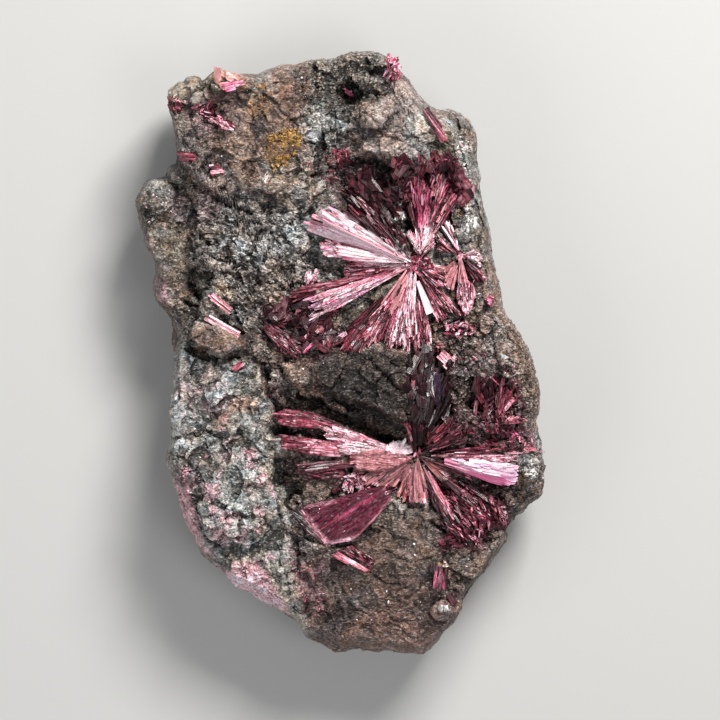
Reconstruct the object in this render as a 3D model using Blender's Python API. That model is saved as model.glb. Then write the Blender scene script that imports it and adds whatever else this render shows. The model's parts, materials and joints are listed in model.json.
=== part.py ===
"""Erythrite specimen: sprays and single blades of cobalt bloom on a broken slab of dark ore.

The specimen lies on its broken back.  +Z is up, out of the crystal-bearing face; +Y is the
specimen's long way, towards the end with the square upper corner; the origin is at the middle
of the resting face's plan box.  All lengths are metres unless a name says otherwise.
"""
import math

import bmesh
import bpy
import numpy as np
from mathutils import Vector
from mathutils.bvhtree import BVHTree
from mathutils.geometry import delaunay_2d_cdt

# ---------------------------------------------------------------- driving dimensions
TOP_GRID = 96             # cells across the sculpted top, before the rock is thinned to facets
SIDE_RINGS = 9            # rings down the side of the rock
ROCK_FACETS = 4700        # triangles that the rock keeps
GAP_MM = 0.35             # clearance between a crystal group and the rock that it grew on
FOOTPRINT_STEP = 11.0     # spacing of the points that carry a spray's relief, in u
SPRAY_MM = 1.9            # thickness of the big sprays at their middle
BRIDGE_U = 22.0           # how far a crystal runs straight over the hollows below it, in u
CORE_U = 9.0              # radius of the knot where a spray's fans meet, in u
# ---------------------------------------------------------------- shared shape of the rock
# Every plan position below is in drawing units ("u"): 1 u = 0.16 mm on the specimen, x to the
# right and y DOWN the specimen's face, as it is laid out face-on.  Heights are in millimetres.
UNIT = 0.00016            # metres per drawing unit: fixes the 66.5 x 98 mm plan size
CX, CY = 339.35, 353.4    # drawing point that lies over the origin (middle of the plan box)
POLE = (340.0, 350.0)     # the outline is star-shaped about this point
BASE_MM = 19.0            # general level of the crystal-bearing face above the resting face
RIM_MM = 9.0              # mean height of the widest line of the rock (its silhouette)
FOOT_SCALE = 0.83         # the resting face's outline, as a share of the silhouette

# Silhouette of the rock, clockwise from the upper left corner.
OUTLINE = [
    (166, 96), (168, 86), (177, 79), (187, 74.5), (195, 75), (201, 76.5), (208, 71.5), (214, 67), (222, 68), (235, 70.5),
    (246, 70.5), (258, 69.5), (267, 65.5), (276, 63), (285, 61.5), (296, 61.5), (304, 58.5), (312, 55.5), (327, 56), (338, 52.5),
    (350, 48.5), (367, 47.5), (380, 48), (386, 52.5), (392, 55.5), (398, 60), (401, 69.5), (408, 79), (416, 89.5), (424, 99),
    (430, 103.5), (436, 107), (443, 107.5), (451, 107.5), (462, 110.5), (472, 118.5), (478, 130), (479.5, 143), (478, 158.5), (481, 174),
    (480.5, 185.5), (485, 208.5), (490, 227.5), (491, 250.5), (495, 268), (502, 289), (503.5, 307), (512, 317.5), (524, 340), (530, 352),
    (538, 375), (541, 390), (540, 405), (538.5, 420), (540.5, 437), (544.5, 447), (547, 467), (546.5, 487), (543.5, 496.5), (533, 504.5),
    (525, 514.5), (515, 518.5), (508, 532), (508.5, 544), (495, 559), (483.5, 575.5), (479, 581), (468.5, 591.5), (462.5, 603), (463.5, 612),
    (455.5, 626.5), (443.5, 637), (438.5, 645.5), (432, 652), (424.5, 659.5), (416, 659), (404, 657.5), (386.5, 656.5), (379, 658), (370, 655),
    (363, 653), (352.5, 654), (344, 656.5), (335, 656.5), (327.5, 652), (317.5, 645), (305.5, 639), (301.5, 634), (300.5, 628.5), (290, 621),
    (275, 611.5), (262, 604), (250.5, 597.5), (234, 590), (224, 579.5), (218, 570.5), (208, 566), (198.5, 555), (194.5, 545), (194, 536.5),
    (187, 524.5), (181, 510), (175, 496), (171, 483.5), (170, 473.5), (164, 463), (165, 453), (170, 443), (169, 426.5), (166.5, 414),
    (167, 402), (173.5, 390), (171, 377.5), (171, 359), (172, 347), (170, 330.5), (168, 317), (161.5, 307.5), (151.5, 292.5), (151.5, 283),
    (153.5, 275), (151.5, 260), (141, 241), (140, 229.5), (135.5, 212), (131.5, 199), (135.5, 189), (145, 178.5), (156.5, 176), (164, 174),
    (167, 166.5), (175.5, 163), (177.5, 156.5), (173.5, 143), (172.5, 126), (169, 110.5),
]


def smooth(a, b, x):
    t = np.clip((x - a) / (b - a), 0.0, 1.0)
    return t * t * (3 - 2 * t)


def lattice(ix, iy, iz, seed):
    """A repeatable number from 0 to 1 for each lattice point."""
    h = (ix.astype(np.int64) * 374761393 + iy.astype(np.int64) * 668265263 + iz.astype(np.int64) * 2147483647 + seed * 974634777) & 0xFFFFFFFF
    h = ((h ^ (h >> 13)) * 1274126177) & 0xFFFFFFFF
    h = ((h ^ (h >> 16)) * 2246822519) & 0xFFFFFFFF
    h = h ^ (h >> 15)
    return (h & 0xFFFFFF) / float(0xFFFFFF)


def value_noise(p, seed):
    """Smooth noise from -1 to 1 at points p (N, 3)."""
    q = np.floor(p).astype(np.int64)
    f = p - q
    f = f * f * f * (f * (f * 6 - 15) + 10)
    total = 0.0
    for dx in (0, 1):
        for dy in (0, 1):
            for dz in (0, 1):
                w = (f[:, 0] if dx else 1 - f[:, 0]) * (f[:, 1] if dy else 1 - f[:, 1]) * (f[:, 2] if dz else 1 - f[:, 2])
                total = total + w * lattice(q[:, 0] + dx, q[:, 1] + dy, q[:, 2] + dz, seed)
    return total * 2 - 1


def fractal(p, octaves, seed, gain=0.5, ridged=False):
    total, amp, norm = 0.0, 1.0, 0.0
    for k in range(octaves):
        n = value_noise(p * (2.03 ** k) + 17.3 * k, seed + 31 * k)
        total = total + amp * ((1 - 2 * np.abs(n)) if ridged else n)
        norm += amp
        amp *= gain
    return total / norm


def cells(p, seed, jitter=0.9):
    """Nearest and second nearest distance to scattered points, the nearest point, and a number for it."""
    q = np.floor(p).astype(np.int64)
    n = len(p)
    best, second = np.full(n, 1e9), np.full(n, 1e9)
    near, tag = np.zeros((n, 3)), np.zeros(n)
    for dx in (-1, 0, 1):
        for dy in (-1, 0, 1):
            for dz in (-1, 0, 1):
                ix, iy, iz = q[:, 0] + dx, q[:, 1] + dy, q[:, 2] + dz
                c = np.stack([ix + 0.5 + jitter * (lattice(ix, iy, iz, seed) - 0.5), iy + 0.5 + jitter * (lattice(ix, iy, iz, seed + 1) - 0.5),
                              iz + 0.5 + jitter * (lattice(ix, iy, iz, seed + 2) - 0.5)], 1)
                d = np.sqrt(((p - c) ** 2).sum(1))
                closer = d < best
                second = np.where(closer, best, np.minimum(second, d))
                near[closer] = c[closer]
                tag = np.where(closer, lattice(ix, iy, iz, seed + 3), tag)
                best = np.where(closer, d, best)
    return best, second, near, tag


def chips(p, seed, tilt=1.0):
    """Broken-rock relief from about -1 to 1: each cell is its own tilted flat face."""
    f1, f2, near, tag = cells(p, seed)
    a = lattice((tag * 1e6).astype(np.int64), (tag * 3e5).astype(np.int64), np.zeros(len(p), np.int64), seed + 7) * 2 * np.pi
    d = p - near
    return tilt * (d[:, 0] * np.cos(a) + d[:, 1] * np.sin(a)) + (tag - 0.5)


def plan3(x, y, scale, z=0.0):
    return np.stack([x / scale, y / scale, np.full(len(x), float(z))], 1)


def line_distance(x, y, line, closed=False):
    """Distance from each point to a polyline."""
    ends = line + [line[0]] if closed else line
    best = np.full(len(x), 1e9)
    for (x0, y0), (x1, y1) in zip(ends[:-1], ends[1:]):
        dx, dy = x1 - x0, y1 - y0
        t = np.clip(((x - x0) * dx + (y - y0) * dy) / max(dx * dx + dy * dy, 1e-9), 0, 1)
        best = np.minimum(best, np.hypot(x - x0 - t * dx, y - y0 - t * dy))
    return best


def inside_of(x, y, ring):
    odd = np.zeros(len(x), bool)
    for (x0, y0), (x1, y1) in zip(ring, ring[1:] + ring[:1]):
        if y0 == y1:
            continue
        crosses = ((y0 > y) != (y1 > y)) & (x < (x1 - x0) * (y - y0) / (y1 - y0) + x0)
        odd ^= crosses
    return odd


def patch(x, y, ring, soft):
    """1 inside a ring of plan points, 0 outside, with an edge 2 * soft wide."""
    d = line_distance(x, y, ring, True)
    d = np.where(inside_of(x, y, ring), d, -d)
    return smooth(-soft, soft, d)


def oval(x, y, cx, cy, rx, ry, turn=0.0):
    """Distance from an oval's centre, 1 on its edge."""
    a = np.radians(turn)
    u, v = (x - cx) * np.cos(a) - (y - cy) * np.sin(a), (x - cx) * np.sin(a) + (y - cy) * np.cos(a)
    return np.hypot(u / rx, v / ry)


# Terraces and hollows of the crystal-bearing face: ring of plan points, rise in mm, edge softness in u.
TERRACES = [
    ([(120, 155), (176, 160), (186, 172), (198, 200), (194, 255), (206, 300), (182, 345), (140, 345), (110, 250)], -4.2, 7),      # left lobe
    ([(150, 50), (246, 50), (262, 110), (250, 160), (215, 200), (183, 168), (150, 150)], 1.6, 9),                                 # upper left block
    ([(240, 50), (310, 40), (325, 110), (318, 165), (285, 205), (235, 190), (225, 130)], 1.2, 8),                                 # brown upper face
    ([(186, 205), (240, 190), (300, 210), (330, 240), (300, 330), (250, 340), (205, 290)], -1.6, 14),                             # granular trough
    ([(308, 45), (350, 35), (402, 50), (392, 108), (365, 135), (330, 150), (318, 110)], 1.0, 6),                                  # dark upper ridge
    ([(362, 112), (398, 84), (432, 100), (462, 140), (468, 166), (430, 171), (395, 166), (360, 152)], 2.0, 6),                    # upper right plate
    ([(436, 95), (480, 95), (500, 140), (500, 200), (466, 196), (462, 165), (456, 135)], -4.0, 5),                                # pale grey lobe
    ([(330, 168), (360, 157), (400, 163), (445, 168), (466, 186), (472, 214), (450, 236), (425, 226), (405, 240), (370, 236), (342, 215)], -3.0, 8),  # dark pocket
    ([(300, 215), (360, 235), (430, 235), (480, 225), (492, 290), (480, 330), (430, 350), (350, 355), (300, 335), (275, 300)], -0.8, 16),
    ([(316, 354), (350, 346), (395, 350), (428, 362), (432, 400), (424, 433), (396, 424), (365, 407), (333, 396), (313, 376)], 3.6, 5),     # centre boulder
    ([(284, 364), (316, 358), (322, 386), (346, 412), (326, 403), (300, 393)], 1.8, 4),                                           # ledge beside it
    ([(285, 410), (330, 420), (400, 440), (470, 430), (525, 445), (525, 490), (460, 520), (430, 500), (380, 500), (300, 510), (275, 460)], -0.9, 10),
    ([(160, 395), (215, 380), (262, 400), (280, 440), (282, 500), (270, 560), (245, 600), (200, 575), (165, 500), (155, 440)], 0.8, 14),    # crusted mound
    ([(440, 330), (500, 315), (545, 360), (560, 430), (500, 450), (452, 440), (442, 400)], 0.9, 9),                               # right shoulder
    ([(409, 356), (440, 352), (450, 400), (446, 447), (412, 449), (408, 400)], -1.8, 5),                                          # dark upright pocket
    ([(300, 545), (360, 560), (440, 540), (500, 530), (520, 600), (420, 680), (330, 680), (296, 610)], 0.5, 10),                  # lower brown face
]
# Ovals: centre, half axes, turn in degrees, rise in mm, edge softness as a share of the radius (0 means a dome).
OVALS = [
    (353, 96, 15, 9, 20, -3.2, 0.45), (288, 486, 15, 26, 8, -3.4, 0.5), (216, 339, 29, 13, -8, 2.6, 0.22), (201, 281, 13, 15, 20, -2.4, 0.45),
    (490, 398, 20, 22, 0, -2.4, 0.4), (441, 611, 12, 10.5, -15, 2.6, 0.0), (311, 630, 13, 8, -30, 1.2, 0.0), (232, 84, 20, 14, 25, 1.8, 0.5),
    (205, 258, 15, 12, 30, 1.2, 0.0), (154, 196, 20, 18, 0, 1.8, 0.0), (160, 250, 22, 30, 0, 1.4, 0.0), (252, 440, 24, 20, 0, 0.9, 0.0),
    (232, 505, 34, 42, 0, 1.1, 0.0), (180, 455, 16, 14, 0, 1.2, 0.3), (228, 424, 24, 9, 10, 0.9, 0.3), (370, 118, 22, 14, 10, 0.8, 0.0),
    (300, 376, 12, 8, 20, 1.0, 0.4), (470, 350, 26, 16, -20, 0.7, 0.0), (508, 352, 12, 10, 0, 1.3, 0.0), (392, 222, 13, 10, 20, 2.0, 0.35),
    (394, 243, 12, 8, -20, 1.2, 0.3), (521, 468, 15, 11, 0, 1.6, 0.3), (463, 217, 12, 22, 12, 1.2, 0.2), (190, 330, 14, 10, 0, 1.0, 0.0),
]
# Cracks, troughs and ribs: line, half width in u, rise in mm.
LINES = [
    ([(318, 404), (348, 421), (380, 437), (414, 447)], 11, -2.6), ([(266, 362), (284, 430), (291, 500), (295, 560), (306, 616)], 8, -1.7),
    ([(190, 352), (214, 358), (247, 353)], 5, -1.8), ([(177, 160), (198, 186), (226, 206), (252, 214)], 5, -1.5),
    ([(312, 60), (318, 108), (322, 150), (312, 176)], 4, -1.2), ([(362, 152), (330, 178), (306, 206)], 6, 0.9),
    ([(298, 395), (325, 402), (346, 414)], 3, -1.6), ([(200, 76), (214, 90), (226, 96)], 3, 1.4),
    ([(455, 112), (458, 140), (466, 168), (462, 186)], 3, -1.0), ([(470, 250), (486, 290), (498, 318), (516, 340)], 4, 0.9),
    ([(420, 460), (470, 466), (545, 452)], 4, -0.8), ([(336, 586), (341, 606), (346, 628)], 5, -0.2),
    ([(300, 560), (330, 600), (345, 650)], 5, 0.8), ([(430, 520), (470, 545), (505, 540)], 4, -0.8), ([(370, 360), (398, 390), (424, 402)], 4, -0.7),
    ([(300, 300), (330, 330), (345, 352)], 4, -0.9), ([(186, 300), (216, 312), (240, 332)], 3, -1.2), ([(342, 570), (380, 560), (430, 566)], 9, 0.35),
]


# Old, smooth faces, where the rock is hardly chipped: ring, edge softness, share of the chipping that is missing.
CALM = [
    ([(296, 560), (340, 552), (385, 528), (428, 520), (440, 580), (440, 640), (430, 690), (320, 690), (300, 610)], 10, 0.80),
    ([(222, 84), (300, 66), (304, 130), (290, 190), (240, 200), (214, 150)], 10, 0.60), ([(160, 62), (216, 62), (222, 96), (204, 108), (168, 106)], 6, 0.45),
    ([(118, 165), (184, 160), (192, 215), (192, 290), (150, 300), (110, 230)], 8, 0.45), ([(192, 328), (250, 326), (252, 350), (200, 356)], 4, 0.70),
    ([(356, 116), (398, 86), (440, 108), (462, 150), (450, 168), (400, 164), (362, 156)], 8, 0.45),
]


def outline_radius(angle):
    """Distance from the pole to the silhouette, in u. The angle grows from +x towards +Y (up the face)."""
    a = np.array([math.atan2(POLE[1] - y, x - POLE[0]) for x, y in OUTLINE])
    r = np.array([math.hypot(x - POLE[0], y - POLE[1]) for x, y in OUTLINE])
    order = np.argsort(a)
    a, r = a[order], r[order]
    a = np.concatenate([a[-3:] - 2 * np.pi, a, a[:3] + 2 * np.pi])
    r = np.concatenate([r[-3:], r, r[:3]])
    return np.interp(angle, a, r)


def face_height(x, y):
    """The crystal-bearing face, in mm, before the rounding at the rim."""
    wx = x + 5.0 * fractal(plan3(x, y, 38), 3, 11) + 1.8 * fractal(plan3(x, y, 9), 2, 12)
    wy = y + 5.0 * fractal(plan3(x, y, 38), 3, 21) + 1.8 * fractal(plan3(x, y, 9), 2, 22)
    h = BASE_MM + 1.1 * fractal(plan3(x, y, 120), 2, 5)
    h = h - 4.2 * smooth(545, 665, y) * smooth(270, 340, x) - 1.6 * smooth(430, 600, y) * smooth(320, 240, x)
    h = h - 1.4 * smooth(440, 540, x) * smooth(420, 560, y)
    for ring, rise, soft in TERRACES:
        h = h + rise * patch(wx, wy, ring, soft)
    for cx, cy, rx, ry, turn, rise, soft in OVALS:
        d = oval(wx * 0.6 + x * 0.4, wy * 0.6 + y * 0.4, cx, cy, rx, ry, turn)
        h = h + rise * (np.sqrt(np.clip(1 - d * d, 0, 1)) if soft == 0 else 1 - smooth(1 - soft, 1 + soft, d))
    for line, width, rise in LINES:
        d = line_distance(wx, wy, line)
        h = h + rise * (1 - smooth(0, width, d))
    calm = np.zeros(len(x))
    for ring, soft, share in CALM:
        calm = np.maximum(calm, share * patch(wx, wy, ring, soft))
    h = h + (1 - calm) * (0.75 * chips(plan3(wx, wy, 34, 0.3), 61, 1.1) + 0.35 * chips(plan3(wx, wy, 15, 0.7), 71, 1.2))
    return h


def rim_height(angle):
    return RIM_MM + 1.6 * np.sin(angle * 2 + 0.6) + 1.1 * np.sin(angle * 5 + 2.0) + 0.6 * np.sin(angle * 11 + 1.0)


def rim_width(angle):
    """How far in from the silhouette the face starts to roll over, in u. The right side shows a wide side face."""
    d = np.degrees(angle)
    return 12 + 13 * smooth(-52, -25, d) * smooth(84, 60, d) + 5 * smooth(-150, -120, d) * smooth(-60, -95, d) + 3 * np.sin(angle * 7)


def top_height(x, y):
    """Height in mm of the rock's upper side anywhere inside its silhouette."""
    dx, dy = x - POLE[0], POLE[1] - y
    angle = np.arctan2(dy, dx)
    gap = np.maximum(outline_radius(angle) - np.hypot(dx, dy), 0)
    w = rim_width(angle)
    k = np.clip(gap / w, 0, 1)
    roll = 0.35 * k + 0.65 * np.sqrt(np.clip(1 - (1 - k) ** 2, 0, 1))
    rim = rim_height(angle)
    return rim + (face_height(x, y) - rim) * roll


def to_world(x, y, mm):
    return np.stack([(x - CX) * UNIT, (CY - y) * UNIT, np.asarray(mm) * 0.001], -1)


def disc_grid(n):
    """A square grid of (n + 1)^2 points pressed onto the unit disc: its radius and angle, row by row."""
    s = np.linspace(-1, 1, n + 1)
    u, v = np.meshgrid(s, s)
    px, py = u * np.sqrt(1 - v * v / 2), v * np.sqrt(1 - u * u / 2)
    return np.hypot(px, py).ravel(), np.arctan2(py, px).ravel()


def grid_edge(n):
    """Indices of that grid's edge points, counter-clockwise."""
    w = n + 1
    return ([i for i in range(n)] + [i * w + n for i in range(n)] + [n * w + n - i for i in range(n)] + [(n - i) * w for i in range(n)])


def side_point(angle, drop):
    """Side of the rock: drop 0 is the silhouette, 1 the edge of the resting face. Returns the share of the outline radius, and mm."""
    rim = rim_height(angle)
    ledge = 0.5 + 0.5 * np.sin(angle * 3 + 1.3)
    pull = (1 - FOOT_SCALE) * (drop ** 1.7 * (0.85 + 0.3 * ledge))
    z = rim * (1 - drop) ** (0.85 + 0.25 * ledge)
    r = outline_radius(angle)
    p = np.stack([r * np.cos(angle), r * np.sin(angle), z * 6.25 * 0.8], 1)
    broken = 0.5 + 0.55 * chips(p / 30.0, 85, 0.9) + 0.25 * fractal(p / 14.0, 2, 86)
    return 1 - pull - smooth(0.0, 0.3, drop) * 0.045 * np.clip(broken, 0, 1.2), z


def foot_height(share, angle):
    """The underside, in mm: flat where the rock rests, chipped up towards its edge. share is 0 at the middle and 1 at its edge."""
    lift = smooth(0.70 + 0.12 * np.sin(angle * 2 + 1.0) + 0.07 * np.sin(angle * 5), 1.0, share)
    return 1.5 * lift * (0.75 + 0.4 * np.sin(angle * 4 + 0.5))
# ---------------------------------------------------------------- shared layout of the crystal groups
# A spray is a set of fans that share a centre. Each fan: its root, then its far edge as plan points.
UPPER_CENTRE = (413.0, 265.0)
RIGHT_CENTRE = (461.0, 253.0)
LOWER_CENTRE = (416.0, 455.0)
UPPER_FANS = [
    ((413, 265), [(334, 213), (309, 227), (311, 236)]), ((413, 265), [(313, 238), (327, 254)]), ((413, 265), [(345, 269), (346, 284)]),
    ((413, 265), [(290, 293), (295, 303)]), ((413, 265), [(308, 306), (314, 320)]), ((413, 265), [(339, 343), (354, 352), (379, 341)]),
    ((413, 265), [(386, 348), (410, 351), (431, 346)]), ((414, 268), [(426, 316), (434, 312)]), ((413, 265), [(440, 319), (451, 311)]),
    ((413, 265), [(447, 281), (447, 270)]), ((413, 265), [(336, 208), (350, 194), (372, 190), (392, 232)]),
    ((421, 252), [(399, 182), (404, 166), (425, 160), (447, 160), (465, 186), (456, 202)]),
]
RIGHT_FANS = [
    ((461, 253), [(443, 231), (449, 224)]), ((461, 253), [(435, 239), (437, 248)]), ((461, 253), [(477, 253), (476, 264)]),
    ((461, 253), [(451, 287), (457, 290)]), ((461, 253), [(457, 303), (465, 317), (472, 317), (477, 296)]), ((461, 253), [(479, 288), (487, 281)]),
]
LOWER_FANS = [
    ((416, 455), [(303, 409), (284, 407), (274, 423)]), ((416, 455), [(275, 432), (279, 446)]), ((416, 455), [(287, 448), (289, 458)]),
    ((416, 455), [(357, 471), (374, 487), (396, 492)]), ((416, 455), [(413, 506), (432, 505)]),
    ((416, 455), [(448, 518), (462, 545), (478, 548), (486, 530), (478, 505)]), ((416, 455), [(508, 485), (514, 470)]),
    ((416, 455), [(542, 451), (542, 445)]), ((418, 450), [(409, 358), (430, 359), (433, 371), (447, 374), (450, 396)]), ((418, 450), [(456, 420), (462, 437)]),
]
# Single crystals and tight groups, each as the ring of its plan outline.
SINGLES = {
    "large_blade": ([(290.5, 510), (300, 503), (335, 496), (368, 487), (392, 498), (376, 519), (353, 541), (329, 546)], 1.6, 0.6),
    "lower_blade_pair": ([(334, 553), (356, 546.5), (377, 560), (367, 571)], 1.0, 0.2),
    "dark_lath": ([(296, 471), (307, 463.5), (334, 467), (345, 471.5), (343, 476), (309, 479)], 0.9, 0.1),
    "shard_group": ([(333, 481), (345, 477), (355, 479), (360, 484.5), (352, 487), (335, 490.5)], 1.0, 0.1),
    "left_dark_blades": ([(263, 328), (275, 324.5), (299, 331), (318, 328), (332, 341), (316, 350), (304, 350), (299, 361), (281, 354)], 1.4, 0.2),
    "right_cluster": ([(473, 386), (490, 377), (500, 389), (511, 394), (509, 410), (526, 417), (524, 425), (497, 424), (486, 414), (473, 408)], 1.2, 0.1),
    "chip_group": ([(445, 325), (456, 322.5), (470, 326), (470, 335), (457, 338), (447, 334)], 1.0, 0.1),
    "pale_blade": ([(436, 356), (441, 350), (456, 358), (451, 368), (445, 367.5)], 0.8, 0.1),
    "left_lath_upper": ([(209.5, 297), (215, 293.5), (234, 309.5), (230, 314)], 0.8, 0.2),
    "left_lath_lower": ([(206, 319), (211, 315.5), (242, 333), (238, 338)], 0.8, 0.2),
    "small_lath": ([(232.5, 369), (242, 361.5), (245, 364.5), (236, 372)], 0.7, 0.1),
    "corner_crystal": ([(226, 91), (243, 84), (247, 89), (231, 96)], 0.9, 0.1),
    "needle_group": ([(193, 110), (206, 106), (221, 115), (235, 131), (227, 135), (204, 125)], 0.8, 0.1),
    "red_lath": ([(179, 154), (198, 156.5), (198, 163), (181, 164)], 0.9, 0.1),
    "step_crystal": ([(211, 167), (223, 168), (225, 175), (213, 178)], 0.8, 0.1),
    "pale_grain": ([(304, 276), (311, 271), (319, 275), (318, 283), (309, 285)], 1.3, 0.0),
    "hollow_crystal": ([(343, 88), (351, 91), (354, 97), (347, 96)], 0.9, 0.2),
    "top_edge_crystals": ([(384, 58), (392, 57), (397, 66), (398, 80), (389, 85), (386, 76), (392, 70)], 0.8, 0.0),
    "upper_right_lath": ([(421, 114), (427, 110), (440, 127), (446, 143), (440, 146), (431, 130)], 0.8, 0.1),
    "edge_crystal": ([(483, 297), (489, 294), (494, 300), (489, 305)], 0.7, 0.1),
    "foot_crystal_upper": ([(431, 561), (439, 557), (446, 561), (447, 575), (444, 589), (435, 588), (433, 575)], 1.3, 0.1),
    "foot_crystal_lower": ([(446, 593), (453, 590), (456, 602), (450, 604.5)], 0.7, 0.1),
}


def rock_mesh(n, rings):
    """The slab as one closed skin: top sheet, rolled sides and underside."""
    verts, faces = [], []
    t, angle = disc_grid(n)
    reach = t * outline_radius(angle)
    x, y = POLE[0] + reach * np.cos(angle), POLE[1] - reach * np.sin(angle)
    verts.append(to_world(x, y, top_height(x, y)))
    w = n + 1
    for j in range(n):
        for i in range(n):
            a = j * w + i
            faces.append((a, a + 1, a + 1 + w, a + w))
    edge = grid_edge(n)
    edge_angle = angle[edge]
    last, count = edge, w * w
    for k in range(1, rings + 1):
        share, z = side_point(edge_angle, np.full(len(edge), k / rings))
        if k == rings:
            z = foot_height(np.ones(len(edge)), edge_angle)
        reach = outline_radius(edge_angle) * share
        verts.append(to_world(POLE[0] + reach * np.cos(edge_angle), POLE[1] - reach * np.sin(edge_angle), z))
        ring = list(range(count, count + len(edge)))
        count += len(edge)
        for i in range(len(edge)):
            j = (i + 1) % len(edge)
            faces.append((last[j], last[i], ring[i], ring[j]))
        last = ring
    # underside: a grid of half as many cells, its edge stitched to the last ring two to one
    m = n // 2
    t, angle = disc_grid(m)
    share, _ = side_point(angle, np.ones(len(angle)))
    reach = t * 0.985 * outline_radius(angle) * share
    verts.append(to_world(POLE[0] + reach * np.cos(angle), POLE[1] - reach * np.sin(angle), foot_height(t, angle)))
    w = m + 1
    for j in range(m):
        for i in range(m):
            a = count + j * w + i
            faces.append((a, a + w, a + 1 + w, a + 1))
    coarse = [count + i for i in grid_edge(m)]
    for i in range(4 * m):
        c0, c1 = coarse[i], coarse[(i + 1) % (4 * m)]
        f0, f1, f2 = last[2 * i], last[2 * i + 1], last[(2 * i + 2) % (4 * n)]
        faces += [(c0, f1, f0), (c0, c1, f1), (c1, f2, f1)]
    return np.concatenate(verts), faces


def new_object(name, verts, faces, material):
    mesh = bpy.data.meshes.new(name)
    mesh.from_pydata([tuple(map(float, v)) for v in verts], [], [tuple(int(i) for i in f) for f in faces])
    mesh.validate()
    mesh.update()
    obj = bpy.data.objects.new(name, mesh)
    bpy.context.scene.collection.objects.link(obj)
    mesh.materials.append(material)
    return obj


def make_material(name, colour, roughness, metallic=0.0):
    mat = bpy.data.materials.new(name)
    mat.use_nodes = True
    shader = mat.node_tree.nodes["Principled BSDF"]
    shader.inputs["Base Color"].default_value = (*colour, 1.0)
    shader.inputs["Roughness"].default_value = roughness
    shader.inputs["Metallic"].default_value = metallic
    return mat


def make_rock(material):
    """Sculpted slab, thinned to facets, with its resting face pressed dead flat."""
    verts, faces = rock_mesh(TOP_GRID, SIDE_RINGS)
    obj = new_object("matrix", verts, faces, material)
    triangles = sum(len(f) - 2 for f in faces)
    thin = obj.modifiers.new("thin", "DECIMATE")
    thin.ratio = ROCK_FACETS / triangles
    graph = bpy.context.evaluated_depsgraph_get()
    mesh = bpy.data.meshes.new_from_object(obj.evaluated_get(graph))
    obj.modifiers.clear()
    obj.data = mesh
    bm = bmesh.new()
    bm.from_mesh(mesh)
    for v in bm.verts:
        if v.co.z < 0.00012:
            v.co.z = 0.0
    bmesh.ops.triangulate(bm, faces=bm.faces[:])
    bmesh.ops.recalc_face_normals(bm, faces=bm.faces[:])
    bm.to_mesh(mesh)
    tree = BVHTree.FromBMesh(bm)
    bm.free()
    return obj, tree


def rock_top(tree, x, y, around=7.0):
    """Highest point of the rock, in mm, within a few u of a plan point."""
    best = 0.0
    for dx, dy in [(0, 0)] + [(around * k * math.cos(a), around * k * math.sin(a)) for k in (0.5, 1.0) for a in [i * math.pi / 4 for i in range(8)]]:
        px, py = (x + dx - CX) * UNIT, (CY - y - dy) * UNIT
        hit = tree.ray_cast(Vector((px, py, 0.1)), Vector((0, 0, -1)))
        if hit[0] is not None:
            best = max(best, hit[0].z * 1000)
    return best


def footprint(fans, centre):
    """Ring round a spray: the furthest that any of its fans reaches in each direction."""
    reach = {}
    polygons = []
    for root, far in fans:
        r = 3.0
        a = math.atan2(far[0][1] - root[1], far[0][0] - root[0])
        b = math.atan2(far[-1][1] - root[1], far[-1][0] - root[0])
        mid = math.atan2(sum(p[1] for p in far) / len(far) - root[1], sum(p[0] for p in far) / len(far) - root[0])
        side = 1 if math.sin(a - mid) > 0 else -1
        p0 = (root[0] - r * math.sin(mid) * side, root[1] + r * math.cos(mid) * side)
        p1 = (root[0] + r * math.sin(mid) * side, root[1] - r * math.cos(mid) * side)
        polygons.append([p0, *far, p1, centre])
    angles = sorted(set([round(math.radians(4 * k), 6) for k in range(90)] + [
        round(math.atan2(y - centre[1], x - centre[0]) % (2 * math.pi), 6) for _, far in fans for x, y in far]))
    ring = []
    for a in angles:
        far = CORE_U
        dx, dy = math.cos(a), math.sin(a)
        for polygon in polygons:
            for (x0, y0), (x1, y1) in zip(polygon, polygon[1:] + polygon[:1]):
                ex, ey = x1 - x0, y1 - y0
                det = dx * (-ey) - dy * (-ex)
                if abs(det) < 1e-9:
                    continue
                bx, by = x0 - centre[0], y0 - centre[1]
                s = (bx * (-ey) - by * (-ex)) / det
                u = (dx * by - dy * bx) / det
                if s > 0 and -1e-6 <= u <= 1 + 1e-6:
                    far = max(far, s)
        reach[a] = far
    keys = sorted(reach)
    kept = []
    for k in keys:
        point = (centre[0] + reach[k] * math.cos(k), centre[1] + reach[k] * math.sin(k))
        if not kept or math.hypot(point[0] - kept[-1][0], point[1] - kept[-1][1]) > 1.2:
            kept.append(point)
    return kept


def divided(ring, longest):
    """The ring with points added until no side is longer than this."""
    out = []
    for (x0, y0), (x1, y1) in zip(ring, ring[1:] + ring[:1]):
        n = max(1, math.ceil(math.hypot(x1 - x0, y1 - y0) / longest))
        out += [(x0 + (x1 - x0) * i / n, y0 + (y1 - y0) * i / n) for i in range(n)]
    return out


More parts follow.
